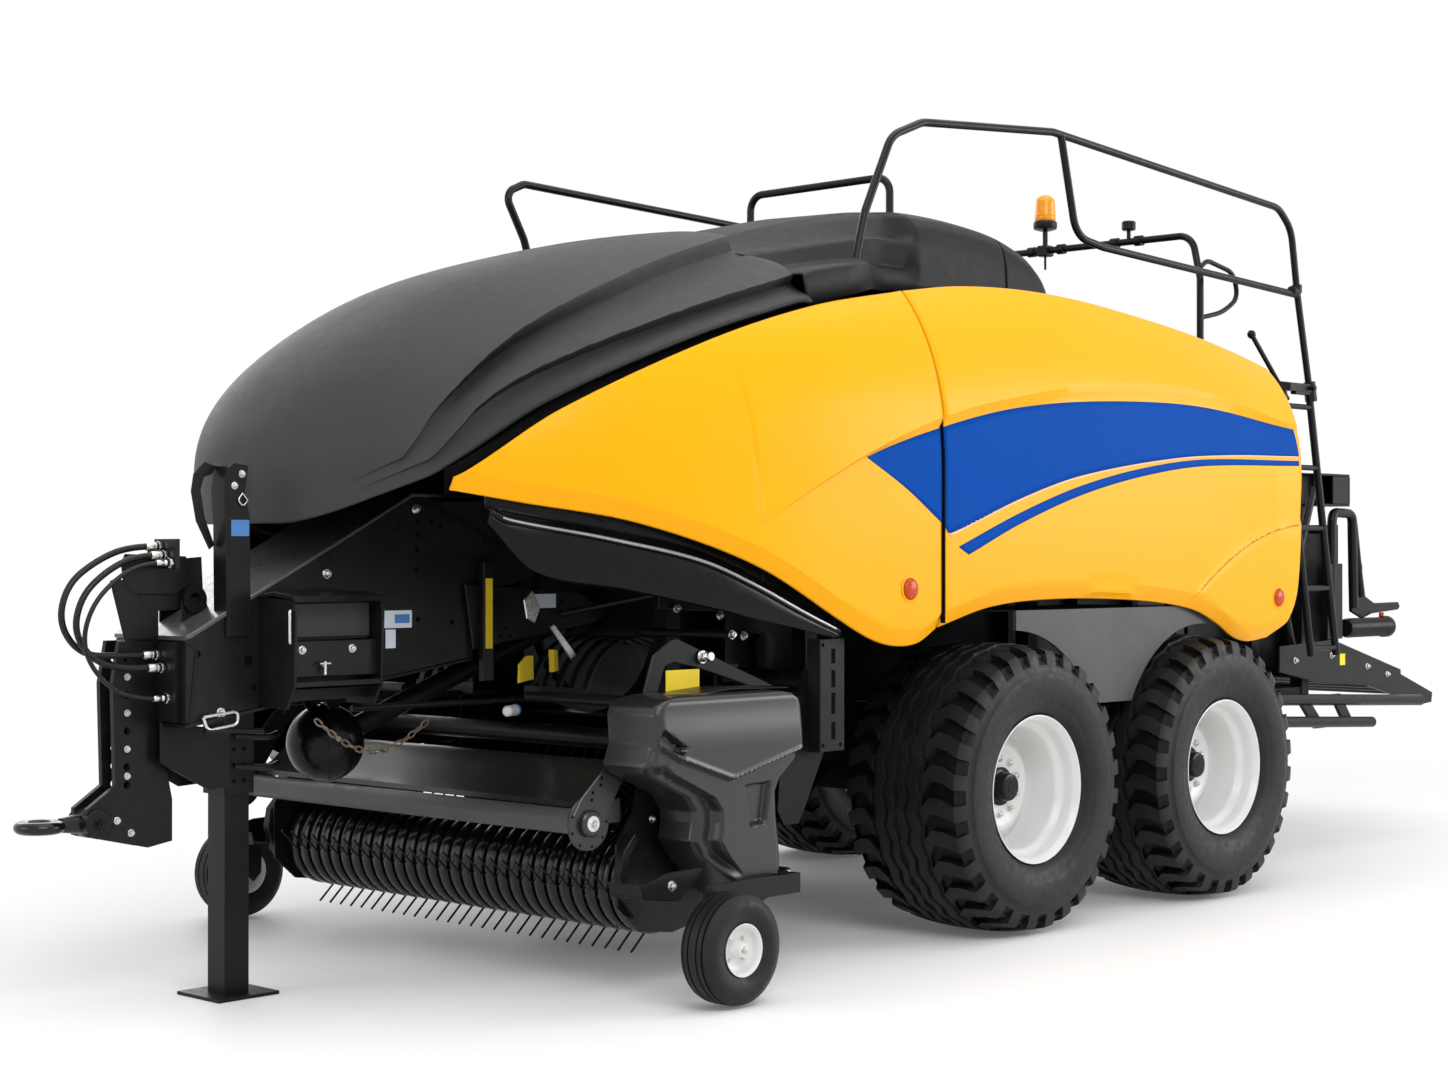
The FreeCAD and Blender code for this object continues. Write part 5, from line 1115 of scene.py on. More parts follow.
GRIP = [(1.712, 0.725), (1.572, 0.733), (1.598, 0.581), (1.686, 0.571)]
NOTCH = [(2.125, 0.94), (2.015, 0.872), (2.036, 0.842), (2.15, 0.888)]


def inside_by(outline, x, z):
    """Distance of a point inside a convex outline to its nearest side; negative outside."""
    turn = sum(outline[i - 1][0] * outline[i][1] - outline[i][0] * outline[i - 1][1] for i in range(len(outline)))
    gaps = []
    for (ax, az), (bx, bz) in zip(outline, outline[1:] + outline[:1]):
        length = math.hypot(bx - ax, bz - az)
        gaps.append(((bx - ax) * (z - az) - (bz - az) * (x - ax)) / length * (1 if turn > 0 else -1))
    return min(gaps)


def linear(points, at):
    """Value between the nearest two of (at, value) points."""
    points = sorted(points)
    return float(np.interp(at, [p[0] for p in points], [p[1] for p in points]))


def shield_depth(x, z, front, rear):
    """How far the shield's face lies inside its outermost plane."""
    crease = linear(SHIELD_CREASE, x)
    depth = 0.024 * fade(crease - z, 0.0, 0.016)
    depth -= 0.005 * math.exp(-((crease - z) / 0.007) ** 2)
    depth += 0.012 * fade(z, 0.86, 1.03)
    depth += 0.024 * fade(inside_by(GRIP, x, z), 0.0, 0.014)
    depth += 0.034 * fade(inside_by(NOTCH, x, z), 0.0, 0.008)
    if z < 0.83:
        reach = front - x
        low = fade(0.83 - z, 0.0, 0.06) * fade(z, 0.4, 0.5)
        depth += low * 0.05 * fade(0.085 - reach, 0.0, 0.02)
        depth += low * 0.022 * max(1 - abs(reach - 0.078) / 0.012, 0)
    edge = min((front - x) * 0.85, (x - rear) * 0.9, SHIELD_TOP - z + 0.002, z - SHIELD_FOOT + 0.004)
    radius = 0.03
    if edge < radius:
        depth += radius - math.sqrt(max(radius ** 2 - (radius - max(edge, 0)) ** 2, 0))
    return depth


def build_shields():
    """Moulded shields on both ends of the pickup."""
    levels = [SHIELD_FOOT + (SHIELD_TOP - SHIELD_FOOT) * k / 130 for k in range(131)]
    shares = [0.0, 0.004, 0.01, 0.018] + [0.025 + 0.95 * k / 96 for k in range(97)] + [0.982, 0.99, 0.996, 1.0]
    columns = len(shares) + 2
    verts = []
    for i in range(-1, len(levels) + 1):
        z = levels[min(max(i, 0), len(levels) - 1)]
        front, rear = linear(SHIELD_FRONT, z), linear(SHIELD_REAR, z)
        for j in range(-1, len(shares) + 1):
            x = front + (rear - front) * shares[min(max(j, 0), len(shares) - 1)]
            border = i in (-1, len(levels)) or j in (-1, len(shares))
            verts.append((x, SHIELD_IN if border else SHIELD_OUT - shield_depth(x, z, front, rear), z))
    faces = grid_faces(len(levels) + 2, columns)
    joined("pickup_shield_covers", both([(verts, faces)]), "shield_satin", "pickup", degrees=40,
           replaces="pickup_shields")


def sheet(path, y0, y1, thickness, plane_edge=0.0015):
    """Bent sheet: a path of (x, z) points given a thickness and run from y0 to y1."""
    points = [Vector(p) for p in path]
    normals = []
    for i in range(len(points)):
        run = (points[min(i + 1, len(points) - 1)] - points[max(i - 1, 0)]).normalized()
        normals.append(Vector((-run.y, run.x)))
    outline = [tuple(p) for p in points] + [tuple(p + n * thickness) for p, n in reversed(list(zip(points, normals)))]
    return slab(outline, y0, y1, "xz", plane_edge)


ROLLER_CENTRE = (2.215, 0.61)


def build_windguard():
    """Windguard arms, their pan and bolts, and the crop roller."""
    x, z = ROLLER_CENTRE
    arm = [(2.18, 0.56), (2.29, 0.64), (2.25, 0.7), (2.135, 0.8), (2.06, 0.89), (2.015, 0.905), (1.8, 0.945),
           (1.765, 0.905), (1.8, 0.87), (1.98, 0.85), (2.07, 0.725)]
    disc = turned([(0.0, 0.092), (0.002, 0.095), (0.007, 0.095), (0.009, 0.092)], (x, 1.011, z), LEFT, 48)
    boss = turned([(0, 0.046), (0.014, 0.046), (0.02, 0.04)], (x, 1.02, z), LEFT, 32)
    strap = slab([(2.012, 0.88), (1.99, 0.885), (1.958, 1.02), (1.976, 1.032), (1.99, 1.02)], 1.008, 1.02)
    web = block(2.06, 2.155, 1.0, 1.011, 0.6, 0.686)
    parts = both([slab(arm, 1.013, 1.023), disc, boss, strap, web])
    pan = [(2.158, 0.65), (2.15, 0.668), (2.085, 0.7), (2.025, 0.752), (1.985, 0.79), (1.96, 0.8), (1.936, 0.796)]
    parts.append(sheet(pan, -0.985, 0.985, 0.006))
    parts += [sheet([(2.14, 0.664), (2.07, 0.7), (2.01, 0.756)], y - 0.004, y + 0.004, 0.03)
              for y in (-0.62, 0.0, 0.62)]
    joined("windguard_arms", parts, "shield_satin", "windguard", replaces="windguard")
    # Bolt holes as discs of painted shade.
    ring = [hole((x + 0.082 * math.cos(a), 1.0202, z + 0.082 * math.sin(a)), LEFT, 0.005)
            for a in [math.radians(20 + 40 * k) for k in range(9)]]
    ring += [hole((2.205 - 0.021 * k + 0.016 * (k % 2), 1.0232, 0.69 + 0.024 * k), LEFT, 0.006) for k in range(6)]
    joined("windguard_holes", both(ring), "bore_black", "windguard")
    cap = [turned([(0.018, 0.027), (0.024, 0.027), (0.026, 0.024)], (x, 1.02, z), LEFT, 28)]
    joined("windguard_caps", both(cap), "rim_paint", "windguard", "grey_plastic")
    steel = bolt((x, 1.044, z), LEFT, 0.03) + bolt((2.03, 1.023, 0.872), LEFT, 0.034)
    steel += bolt((2.105, 1.023, 0.79), LEFT, 0.026)
    joined("windguard_bolts", both(steel), "plated_steel", "windguard")
    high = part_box("crop_roller")[1]
    half = high.y - 0.012
    tube = [(-half, 0.03), (-half + 0.002, 0.043)]
    tube += [(-half + 0.03 + a, r) for a, r in ((0, 0.043), (0.004, 0.0435), (0.012, 0.0435))]
    profile = tube + [(-a, r) for a, r in reversed(tube)]
    axle = [(-high.y, 0.0185), (high.y, 0.0185)]
    joined("crop_roller_tube", [turned(profile, (x, 0, z), LEFT, 48), turned(axle, (x, 0, z), LEFT, 24)], "grey_sheet",
           "crop_roller", replaces="crop_roller")


STRIPPERS = 29
BAND_GAP = 0.016        # gap between two stripper bands, where a tine passes
REEL_CENTRE = (1.85, 0.365)
# Each band runs straight from its foot to the knee, then round an arc, and back the same way below.
BAND_FOOT, BAND_KNEE = Vector((1.53, 0.419)), Vector((1.78, 0.533))
BAND_CENTRE, BAND_RADIUS, BAND_ARC = Vector((1.8397, 0.365)), 0.1783, math.radians(109.56)


def build_strippers():
    """Crowned bands round the reel, each swept along the same curve."""
    low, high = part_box("pickup_strippers")
    centre = Vector(REEL_CENTRE)
    path = [BAND_KNEE * t + BAND_FOOT * (1 - t) for t in (0.0, 0.3, 0.6, 0.85)]
    for k in range(45):
        angle = BAND_ARC * (1 - k / 22)
        path.append(BAND_CENTRE + Vector((math.cos(angle), math.sin(angle))) * BAND_RADIUS)
    path += [Vector((p.x, 2 * centre.y - p.y)) for p in reversed(path[:4])]
    across = [(-0.5, -0.012), (-0.5, -0.003), (-0.44, 0.0), (-0.25, 0.0022), (0.0, 0.003), (0.25, 0.0022), (0.44, 0.0),
              (0.5, -0.003), (0.5, -0.012), (0.4, -0.009), (0.0, -0.006), (-0.4, -0.009)]
    pitch = (high.y - low.y + BAND_GAP) / STRIPPERS
    width = pitch - BAND_GAP
    parts = []
    for i in range(STRIPPERS):
        y = low.y + width / 2 + pitch * i
        verts = []
        for k, point in enumerate(path):
            run = (path[min(k + 1, len(path) - 1)] - path[max(k - 1, 0)]).normalized()
            out = Vector((run.y * -1, run.x)) * -1
            if (point - centre).dot(out) < 0:
                out = -out
            for share, lift in across:
                verts.append((point.x + out.x * lift, y + share * width, point.y + out.y * lift))
        parts.append((verts, grid_faces(len(path), len(across), close_columns=True) + end_caps(verts, len(across))))
    joined("pickup_bands", parts, "band_gloss", "pickup", degrees=40, replaces="pickup_strippers")


TINE_BARS, TINE_TIP, BAR_ANGLE, TIP_ANGLE = 4, 0.252, -20, 13


def build_reel():
    """Reel with a shaft, end discs and bars of sprung tines that lean forward."""
    low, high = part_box("pickup_strippers")
    pitch = (high.y - low.y + BAND_GAP) / STRIPPERS
    reel_low, reel_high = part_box("pickup_reel")
    x, z = REEL_CENTRE
    half = high.y - 0.004

    def polar(radius, angle):
        return x + radius * math.cos(math.radians(angle)), z + radius * math.sin(math.radians(angle))
    parts = [pipe([(x, reel_low.y, z), (x, reel_high.y, z)], 0.015, 20),
             pipe([(x, -half, z), (x, half, z)], 0.045, 32)]
    parts += [turned([(-0.004, 0.03), (-0.004, 0.122), (0.004, 0.122), (0.004, 0.03)], (x, y, z), LEFT, 40)
              for y in (-half + 0.006, 0.0, half - 0.006)]
    for k in range(TINE_BARS):
        root, knee, tip = (polar(0.112, 90 * k + BAR_ANGLE), polar(0.176, 90 * k + BAR_ANGLE + 14),
                           polar(TINE_TIP, 90 * k + TIP_ANGLE))
        parts.append(pipe([(root[0], -half + 0.004, root[1]), (root[0], half - 0.004, root[1])], 0.013, 16))
        for i in range(STRIPPERS - 1):
            y = low.y + pitch * (i + 1) - BAND_GAP / 2
            parts.append(pipe([(px, y, pz) for px, pz in (root, knee, tip)], 0.0042, 8))
    joined("reel_tines", parts, "frame_paint", "pickup_reel", replaces="pickup_reel")


def build_pickup_trim():
    """Brackets, trays, gauge wheel arms, bolts and labels of the pickup."""
    wedge = [(1.941, 1.037), (1.892, 1.172), (1.807, 1.223), (1.773, 1.23), (1.256, 1.039), (1.33, 1.029),
             (1.67, 1.122), (1.79, 1.145), (1.833, 1.132), (1.875, 1.028)]
    tray = [sheet([(1.4, 1.046), (1.64, 1.051)], 1.004, 1.2, 0.004),
            sheet([(1.64, 1.051), (1.7, 1.052), (1.86, 1.04)], 1.027, 1.2, 0.004)]
    tube = pipe([(1.905, 1.0, 1.005), (1.905, 0.36, 1.005)], 0.021, 16)
    gauge = slab([(2.15, 0.408), (2.027, 0.44), (1.844, 0.446), (1.9, 0.38), (1.978, 0.332), (2.135, 0.355)],
                 1.2, 1.212)
    gauge_front = slab([(2.15, 0.408), (2.135, 0.355), (2.128, 0.357), (2.142, 0.406)], 1.04, 1.212)
    gauge_foot = sheet([(1.98, 0.335), (2.14, 0.356)], 1.04, 1.21, 0.008)
    channel = slab([(1.647, 0.32), (1.388, 0.396), (1.369, 0.351), (1.594, 0.267)], 1.19, 1.2)
    channel_top = sheet([(1.388, 0.392), (1.64, 0.318)], 1.06, 1.198, 0.006)
    horn = [(2.02, 0.56), (2.075, 0.5), (2.09, 0.42), (2.06, 0.33), (2.0, 0.262), (1.985, 0.29), (2.035, 0.35),
            (2.058, 0.425), (2.045, 0.49), (1.995, 0.54)]
    parts = both([slab(wedge, 0.992, 1.005), *tray, tube, gauge, gauge_front, gauge_foot, channel, channel_top,
                  slab(horn, 1.008, 1.046)])
    parts.append(slab([(1.56, 1.1), (1.2, 1.06), (1.14, 0.9), (1.14, 0.72), (1.56, 0.72)], -0.99, -0.984))
    joined("pickup_brackets", parts, "frame_paint", "pickup")
    steel = bolt((1.653, 1.012, 1.16), LEFT, 0.05) + bolt((1.4, 1.2, 0.372), LEFT, 0.036)
    steel += bolt((2.01, 1.212, 0.395), LEFT, 0.036) + bolt((1.9, 1.007, 0.6), LEFT, 0.03)
    steel.append(turned([(0.0, 0.017), (0.034, 0.017), (0.036, 0.014)], (1.64, 1.012, 1.162), LEFT, 20))
    joined("pickup_bolts", both(steel), "plated_steel", "pickup")
    joined("pickup_labels", both([block(1.668, 1.838, 1.012, 1.0132, 1.03, 1.118, 0.0004)]), "label_yellow", "pickup")


# ---------------- drawbar, hitch, tool box and jack
SIDE = 0.21
PLATE_HOLES = [
    (3.067, 1.272), (3.242, 1.196), (3.016, 1.075), (2.306, 1.649), (2.308, 1.6), (2.309, 1.544), (2.309, 1.473),
    (2.243, 1.644), (2.199, 1.632), (2.305, 1.293), (2.145, 1.28)]


def hole(place, axis, radius):
    """Bore mouth as a thin disc in painted shade, with a thin raised rim."""
    return turned([(-0.001, radius), (0.0006, radius), (0.0009, 0.9 * radius)], place, axis, 20)


def side_holes(places, y, radius):
    """Holes at (x, z) places on a face that looks to the left."""
    return [hole((x, y, z), LEFT, radius) for x, z in places]


def build_drawbar():
    """Flanges, gussets, holes, bolts and labels of the drawbar."""
    flange = slab([(3.293, 1.242), (2.332, 1.737), (1.452, 1.737), (1.452, 1.749), (2.33, 1.749), (3.293, 1.256)],
                  -0.219, 0.219)
    lip = [slab([(3.292, 0.962), (3.04, 1.0005), (3.04, 0.9885), (3.292, 0.95)], -0.216, 0.216),
           slab([(2.91, 1.0204), (2.402, 1.098), (2.05, 1.148), (2.046, 1.138), (2.4, 1.086), (2.91, 1.0082)],
                -0.216, 0.216)]
    beside_leg = slab([(3.04, 1.0005), (2.91, 1.0204), (2.91, 1.0082), (3.04, 0.9885)], 0.066, 0.216)
    gusset = slab([(3.292, 1.232), (3.292, 0.972), (3.276, 0.972), (3.25, 1.21)], SIDE, SIDE + 0.008)
    weld = pipe([(3.252, SIDE + 0.009, 1.206), (3.277, SIDE + 0.009, 0.976)], 0.005)
    edge = [pipe([(3.28, y, 1.249), (2.335, y, 1.742)], 0.006) for y in (-0.213, 0.213)]
    joined("drawbar_flanges", [*lip, *both([gusset, weld, beside_leg])], "frame_paint")
    # The top flange and its edge bars are light grey: a painted highlight.
    joined("drawbar_top", [flange, *edge], "flange_sheen")
    side_plate = slab([(2.1, 1.42), (1.534, 1.385), (1.354, 1.291), (1.45, 1.262), (2.06, 1.178)],
                      SIDE + 0.012, SIDE + 0.02)
    post = slab([(2.035, 1.5), (1.985, 1.5), (1.985, 1.06), (2.035, 1.06)], SIDE + 0.02, SIDE + 0.05)
    cross_bar = pipe([(2.62, SIDE + 0.02, 0.985), (1.55, SIDE + 0.02, 0.985)], 0.012)
    joined("drawbar_gussets", both([side_plate, post, cross_bar]), "frame_paint")
    # Holes as discs of painted shade.
    holes = [hole((x, SIDE, z), LEFT, 0.012 if x > 2.5 else 0.01) for x, z in PLATE_HOLES]
    holes.append(hole((3.041, SIDE, 1.168), LEFT, 0.017))
    holes += side_holes(((1.88, 1.225), (1.9, 1.255), (1.93, 1.222), (1.8, 1.29), (1.62, 1.35), (1.45, 1.3)),
                        SIDE + 0.02, 0.006)
    joined("drawbar_holes", both(holes), "bore_black")
    bolts = side_bolts(((2.315, 1.693), (2.713, 1.46), (3.15, 0.995)), SIDE, 0.036)
    joined("drawbar_bolts", both(bolts), "plated_steel")
    labels = [("white", "label_white", block(2.334, 2.474, SIDE, SIDE + 0.0015, 1.264, 1.327, 0.0005)),
              ("small", "label_white", block(2.408, 2.453, SIDE, SIDE + 0.0015, 1.192, 1.259, 0.0005)),
              ("blue", "label_blue", block(2.345, 2.412, SIDE + 0.001, SIDE + 0.0022, 1.281, 1.313, 0.0004)),
              ("strip", "label_yellow", block(1.993, 2.026, SIDE + 0.0495, SIDE + 0.0515, 1.18, 1.44, 0.0005)),
              ("plate", "label_white", block(1.65, 1.775, SIDE + 0.0195, SIDE + 0.0215, 1.325, 1.378, 0.0005))]
    for key, finish, part in labels:
        joined("drawbar_label_" + key, [part], finish)


def build_toolbox():
    """Open-fronted box with a sheet-metal hood, a light back panel and a clamped bar."""
    shell = [block(2.6, 2.985, SIDE, 0.33, 1.03, 1.378, 0.006),
             slab([(SIDE, 1.392), (0.3, 1.402), (0.416, 1.388), (0.424, 1.368), (0.414, 1.372), (0.3, 1.388),
                   (SIDE, 1.378)], 2.616, 3.0, "yz", 0.002),
             *[slab([(SIDE, 1.385), (0.405, 1.375), (0.418, 1.34), (0.412, 1.085), (0.37, 1.006), (SIDE, 1.006)],
                    x, x + 0.012, "yz") for x in (2.984, 2.618)],
             block(2.625, 2.99, 0.32, 0.408, 1.072, 1.084), block(2.628, 2.986, 0.372, 0.384, 1.112, 1.236),
             block(2.628, 2.986, 0.398, 0.408, 1.072, 1.1)]
    joined("toolbox_sheets", shell, "frame_paint", replaces="toolbox")
    joined("toolbox_panel", [block(2.64, 2.976, 0.345, 0.357, 1.24, 1.368, 0.008)], "hood_grain")
    trim = [part for x in (2.735, 2.945) for part in bolt((x, 0.384, 1.205), LEFT, 0.03)]
    trim += [pipe([(2.862, 0.384, 1.15), (2.862, 0.4, 1.15)], 0.008),
             pipe([(2.862, 0.402, 1.12), (2.862, 0.402, 1.165)], 0.006),
             pipe([(2.84, 0.402, 1.158), (2.884, 0.402, 1.158)], 0.005)]
    loop = rounded([(2.998, 0.4, 1.34), (3.014, 0.41, 1.34), (3.014, 0.41, 1.23), (2.998, 0.4, 1.23)], 0.02)
    joined("toolbox_bolts", [*trim, pipe(loop, 0.005)], "plated_steel")


def build_hose_bracket():
    """Bracket and ears that hold the hoses' rear ends."""
    cover = slab([(3.425, 1.53), (3.44, 1.5), (3.432, 1.44), (3.4, 1.395), (3.23, 1.392), (3.195, 1.415), (3.18, 1.5),
                  (3.19, 1.522)], 0.054, 0.064)
    wing = slab([(3.48, 1.44), (3.455, 1.452), (3.4, 1.43), (3.312, 1.3), (3.312, 1.242), (3.425, 1.242)], 0.052, 0.06)
    ear = washer((3.165, 0.06, 1.376), 0.022, 0.046, 0.022, 28)
    ear_foot = slab([(3.212, 1.376), (3.118, 1.39), (3.1, 1.33), (3.19, 1.285), (3.212, 1.29)], 0.06, 0.07)
    knobs = [turned([(0, 0.014), (0.016, 0.014), (0.02, 0.01)], (x, 0.07, z), UP, 14)
             for x, z in ((3.27, 1.522), (3.33, 1.526))]
    joined("hose_bracket", [cover, wing, *both([ear, ear_foot]), *knobs,
                            block(3.255, 3.345, 0.05, 0.09, 1.518, 1.53)], "frame_paint")


def build_hose_post():
    """Hooked strap beside the hitch, with the parked handle and the hitch plates' bolts."""
    strap = slab([(3.125, 1.822), (3.104, 1.84), (3.046, 1.832), (3.062, 1.74), (3.04, 1.655), (3.036, 1.25),
                  (3.126, 1.25), (3.128, 1.64), (3.136, 1.74)], SIDE + 0.002, SIDE + 0.012)
    flange = slab([(3.126, 1.25), (3.134, 1.25), (3.138, 1.64), (3.146, 1.742), (3.134, 1.826), (3.126, 1.82),
                   (3.136, 1.74), (3.128, 1.64)], 0.145, SIDE + 0.01, "xz", 0.001)
    hook = slab([(3.13, 1.828), (3.18, 1.842), (3.222, 1.8), (3.232, 1.74), (3.212, 1.64), (3.16, 1.545), (3.14, 1.56),
                 (3.178, 1.65), (3.196, 1.745), (3.182, 1.79), (3.15, 1.8)], 0.15, 0.16)
    joined("hose_post_strap", [strap, flange, hook], "frame_paint", replaces="hose_post")
    ring = rounded([(3.075, SIDE + 0.016, 1.735), (3.095, SIDE + 0.018, 1.712), (3.075, SIDE + 0.02, 1.69),
                    (3.055, SIDE + 0.018, 1.712)], 0.012)
    joined("post_label", [block(3.046, 3.118, SIDE + 0.0115, SIDE + 0.0135, 1.59, 1.645, 0.0005)], "label_blue")
    handle = [(3.232, 0.228, 0.985), (3.094, 0.228, 1.0), (3.094, 0.228, 0.955), (3.215, 0.228, 0.94)]
    bolts = [part for z in (0.79, 0.88, 1.0, 1.12) for part in bolt((3.41, 0.05, z), LEFT, 0.024)]
    bolts += side_bolts(((3.448, 0.645), (3.395, 0.6)), 0.05, 0.026)
    bolts += side_bolts(((3.075, 1.8), (3.105, 1.76)), SIDE + 0.012, 0.026)
    joined("hitch_bolts", [*bolts, pipe(rounded(handle + handle[:1], 0.02), 0.006), pipe(ring + ring[:1], 0.003)],
           "plated_steel")


def build_jack_trim():
    """Gusset plates, lever, grips and pin holes of the jack."""
    lever = [(3.224, 0.226, 0.938), (3.1, 0.226, 0.934), (2.99, 0.226, 0.926)]
    skid = slab([(3.31, 0.968), (3.03, 0.925), (3.03, 0.73), (3.12, 0.726), (3.2, 0.77), (3.31, 0.83)], 0.084, 0.094)
    joined("jack_gussets", [*both([skid]), pipe(lever, 0.009),
                            *[pipe(rounded([(3.02, 0.1, z), (2.9, 0.13, z - 0.01), (2.84, 0.1, z)], 0.05), 0.01)
                              for z in (0.905, 0.8)]], "frame_paint")
    # Pin holes as discs of painted shade.
    jack = [hole((3.0374, y, z), FORWARD, 0.007) for y in (-0.02, 0.02) for z in (0.76, 0.8, 0.84, 0.88)]
    jack += [hole((x, 0.0624, z), LEFT, 0.007) for x in (2.955, 2.995) for z in (0.745, 0.8, 0.855, 0.91)]
    joined("jack_holes", jack, "bore_black")


EYE_X, EYE_Z, EYE_RADIUS = 3.705, 0.64, 0.0565          # middle of the ring and radius of its round bar's centre line
CLAMP_X, CLAMP_HALF = 3.52, 0.062


def build_tow_eye():
    """Ring on its shank, and the clamp with its cross bolt."""
    turns = [2 * math.pi * k / 20 for k in range(20)]
    ring = [(0.62 * (0.034 * math.cos(a)), EYE_RADIUS + 0.0265 * math.sin(a)) for a in turns]
    eye = [turned(ring, (EYE_X, 0, EYE_Z), UP, 48, closed=True),
           turned([(-0.16, 0.034), (-0.1, 0.034), (-0.03, 0.024)], (3.66, 0, EYE_Z), FORWARD, 24),
           block(3.34, CLAMP_X, -0.026, 0.026, 0.612, 0.668, 0.006)]
    joined("tow_eye_ring", eye, "band_gloss", replaces="tow_eye")
    clamp = [turned([(-CLAMP_HALF, 0.046), (-0.058, 0.05), (0.058, 0.05), (CLAMP_HALF, 0.046)], (CLAMP_X, 0, EYE_Z),
                    LEFT, 28)]
    clamp += [part for _, sign in SIDES for part in bolt((CLAMP_X, sign * CLAMP_HALF, EYE_Z), (0, sign, 0), 0.04)]
    joined("eye_clamp", clamp, "frame_paint")


BALL_CENTRE, BALL_RADIUS = (2.56, 0, 0.85), 0.14


def build_guard():
    """Closed ball over the driveline's end, in two halves with a seam, and its hangers."""
    r = BALL_RADIUS
    arc = [(-r * math.cos(math.pi * k / 24), max(r * math.sin(math.pi * k / 24), 0.001)) for k in range(25)]
    ball = turned(arc, BALL_CENTRE, (-1, 0.15, 0.35), 48)
    seam = turned([(-0.006, r - 0.002), (-0.006, r + 0.006), (0.006, r + 0.006), (0.006, r - 0.002)], BALL_CENTRE,
                  (1, -0.55, -0.1), 48, closed=True)
    hangers = [slab([(2.64, 1.06), (2.56, 1.075), (2.545, 0.96), (2.585, 0.95)], y, y + 0.008) for y in (-0.07, 0.062)]
    joined("driveline_guard_ball", [ball, seam, *hangers], "liner_gloss", replaces="driveline_guard")
    joined("guard_bolt", bolt((2.6, 0.126, 0.872), (0.3, 1, 0.15), 0.026), "plated_steel")


# ---------------- hydraulic hoses
HOSE_FROM, HOSE_TO = 3.325, 3.335
# Name, distance from the centre plane, diameter, length and the route's (x, z) points.
HOSES = [
    ("hose_1", 0.084, 0.022, 0.87, [(HOSE_FROM, 1.555), (3.425, 1.555), (3.545, 1.51), (3.655, 1.432),
                                    (3.688, 1.305), (3.608, 1.2), (3.47, 1.192), (HOSE_TO, 1.192)]),
    ("hose_2", 0.116, 0.022, 0.8, [(HOSE_FROM, 1.525), (3.415, 1.525), (3.525, 1.478), (3.622, 1.395),
                                    (3.652, 1.275), (3.575, 1.175), (3.445, 1.15), (HOSE_TO, 1.15)]),
    ("hose_3", 0.148, 0.016, 0.82, [(HOSE_FROM, 1.5), (3.41, 1.5), (3.515, 1.45), (3.605, 1.36),
                                    (3.64, 1.24), (3.585, 1.13), (3.46, 1.05), (HOSE_TO, 1.05)])]


def build_hoses():
    """Three hoses as cords, with crimped sleeves at their ends."""
    crimps = []
    for name, y, diameter, length, route in HOSES:
        curve = bpy.data.curves.new(name + "_line", "CURVE")
        curve.dimensions = "3D"
        spline = curve.splines.new("NURBS")
        spline.points.add(len(route) - 1)
        for point, (x, z) in zip(spline.points, route):
            point.co = (*row(x, y, z), 1.0)
        spline.order_u = 3
        spline.use_endpoint_u = True
        spline.resolution_u = 10
        curve.bevel_depth = diameter / 2
        curve.bevel_resolution = 5
        curve.use_fill_caps = True
        curve.materials.append(MATERIALS["hose_rubber"])
        hose = bpy.data.objects.new(name + "_line", curve)
        bpy.context.scene.collection.objects.link(hose)
        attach(hose, "chassis")
        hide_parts(name)
        sleeve = [(-0.012, 0.01), (-0.01, 0.0148), (0.004, 0.0148), (0.006, 0.0132), (0.012, 0.0132), (0.014, 0.0148),
                  (0.034, 0.0142), (0.038, 0.0115)]
        scale = diameter / 0.022
        for x, z in (route[0], route[-1]):
            crimps.append(turned([(a, r * scale) for a, r in sleeve], (x, y, z), FORWARD, 20))
            crimps.append(turned([(-0.022, 0.017), (-0.019, 0.0185), (-0.01, 0.0185), (-0.008, 0.0165)],
                                 (x, y, z), FORWARD, 6))
    joined("hose_sleeves", crimps, "plated_steel", "chassis", "bare_steel")


# ---------------- beacon, lamps and clamps on the rails
def dome(radius, height, base=0.0, steps=10):
    """Profile of a rounded cap that stands on a straight wall."""
    return [(base, radius)] + [(base + height * math.sin(math.pi / 2 * k / steps),
                                max(radius * math.cos(math.pi / 2 * k / steps), 0.001)) for k in range(steps + 1)]


HOOP_X, HOOP_Z = -2.0, 3.06
BEACON_FOOT, REAR_LAMP_FOOT = (HOOP_X, -0.12, HOOP_Z), (HOOP_X, 0.38, 3.075)


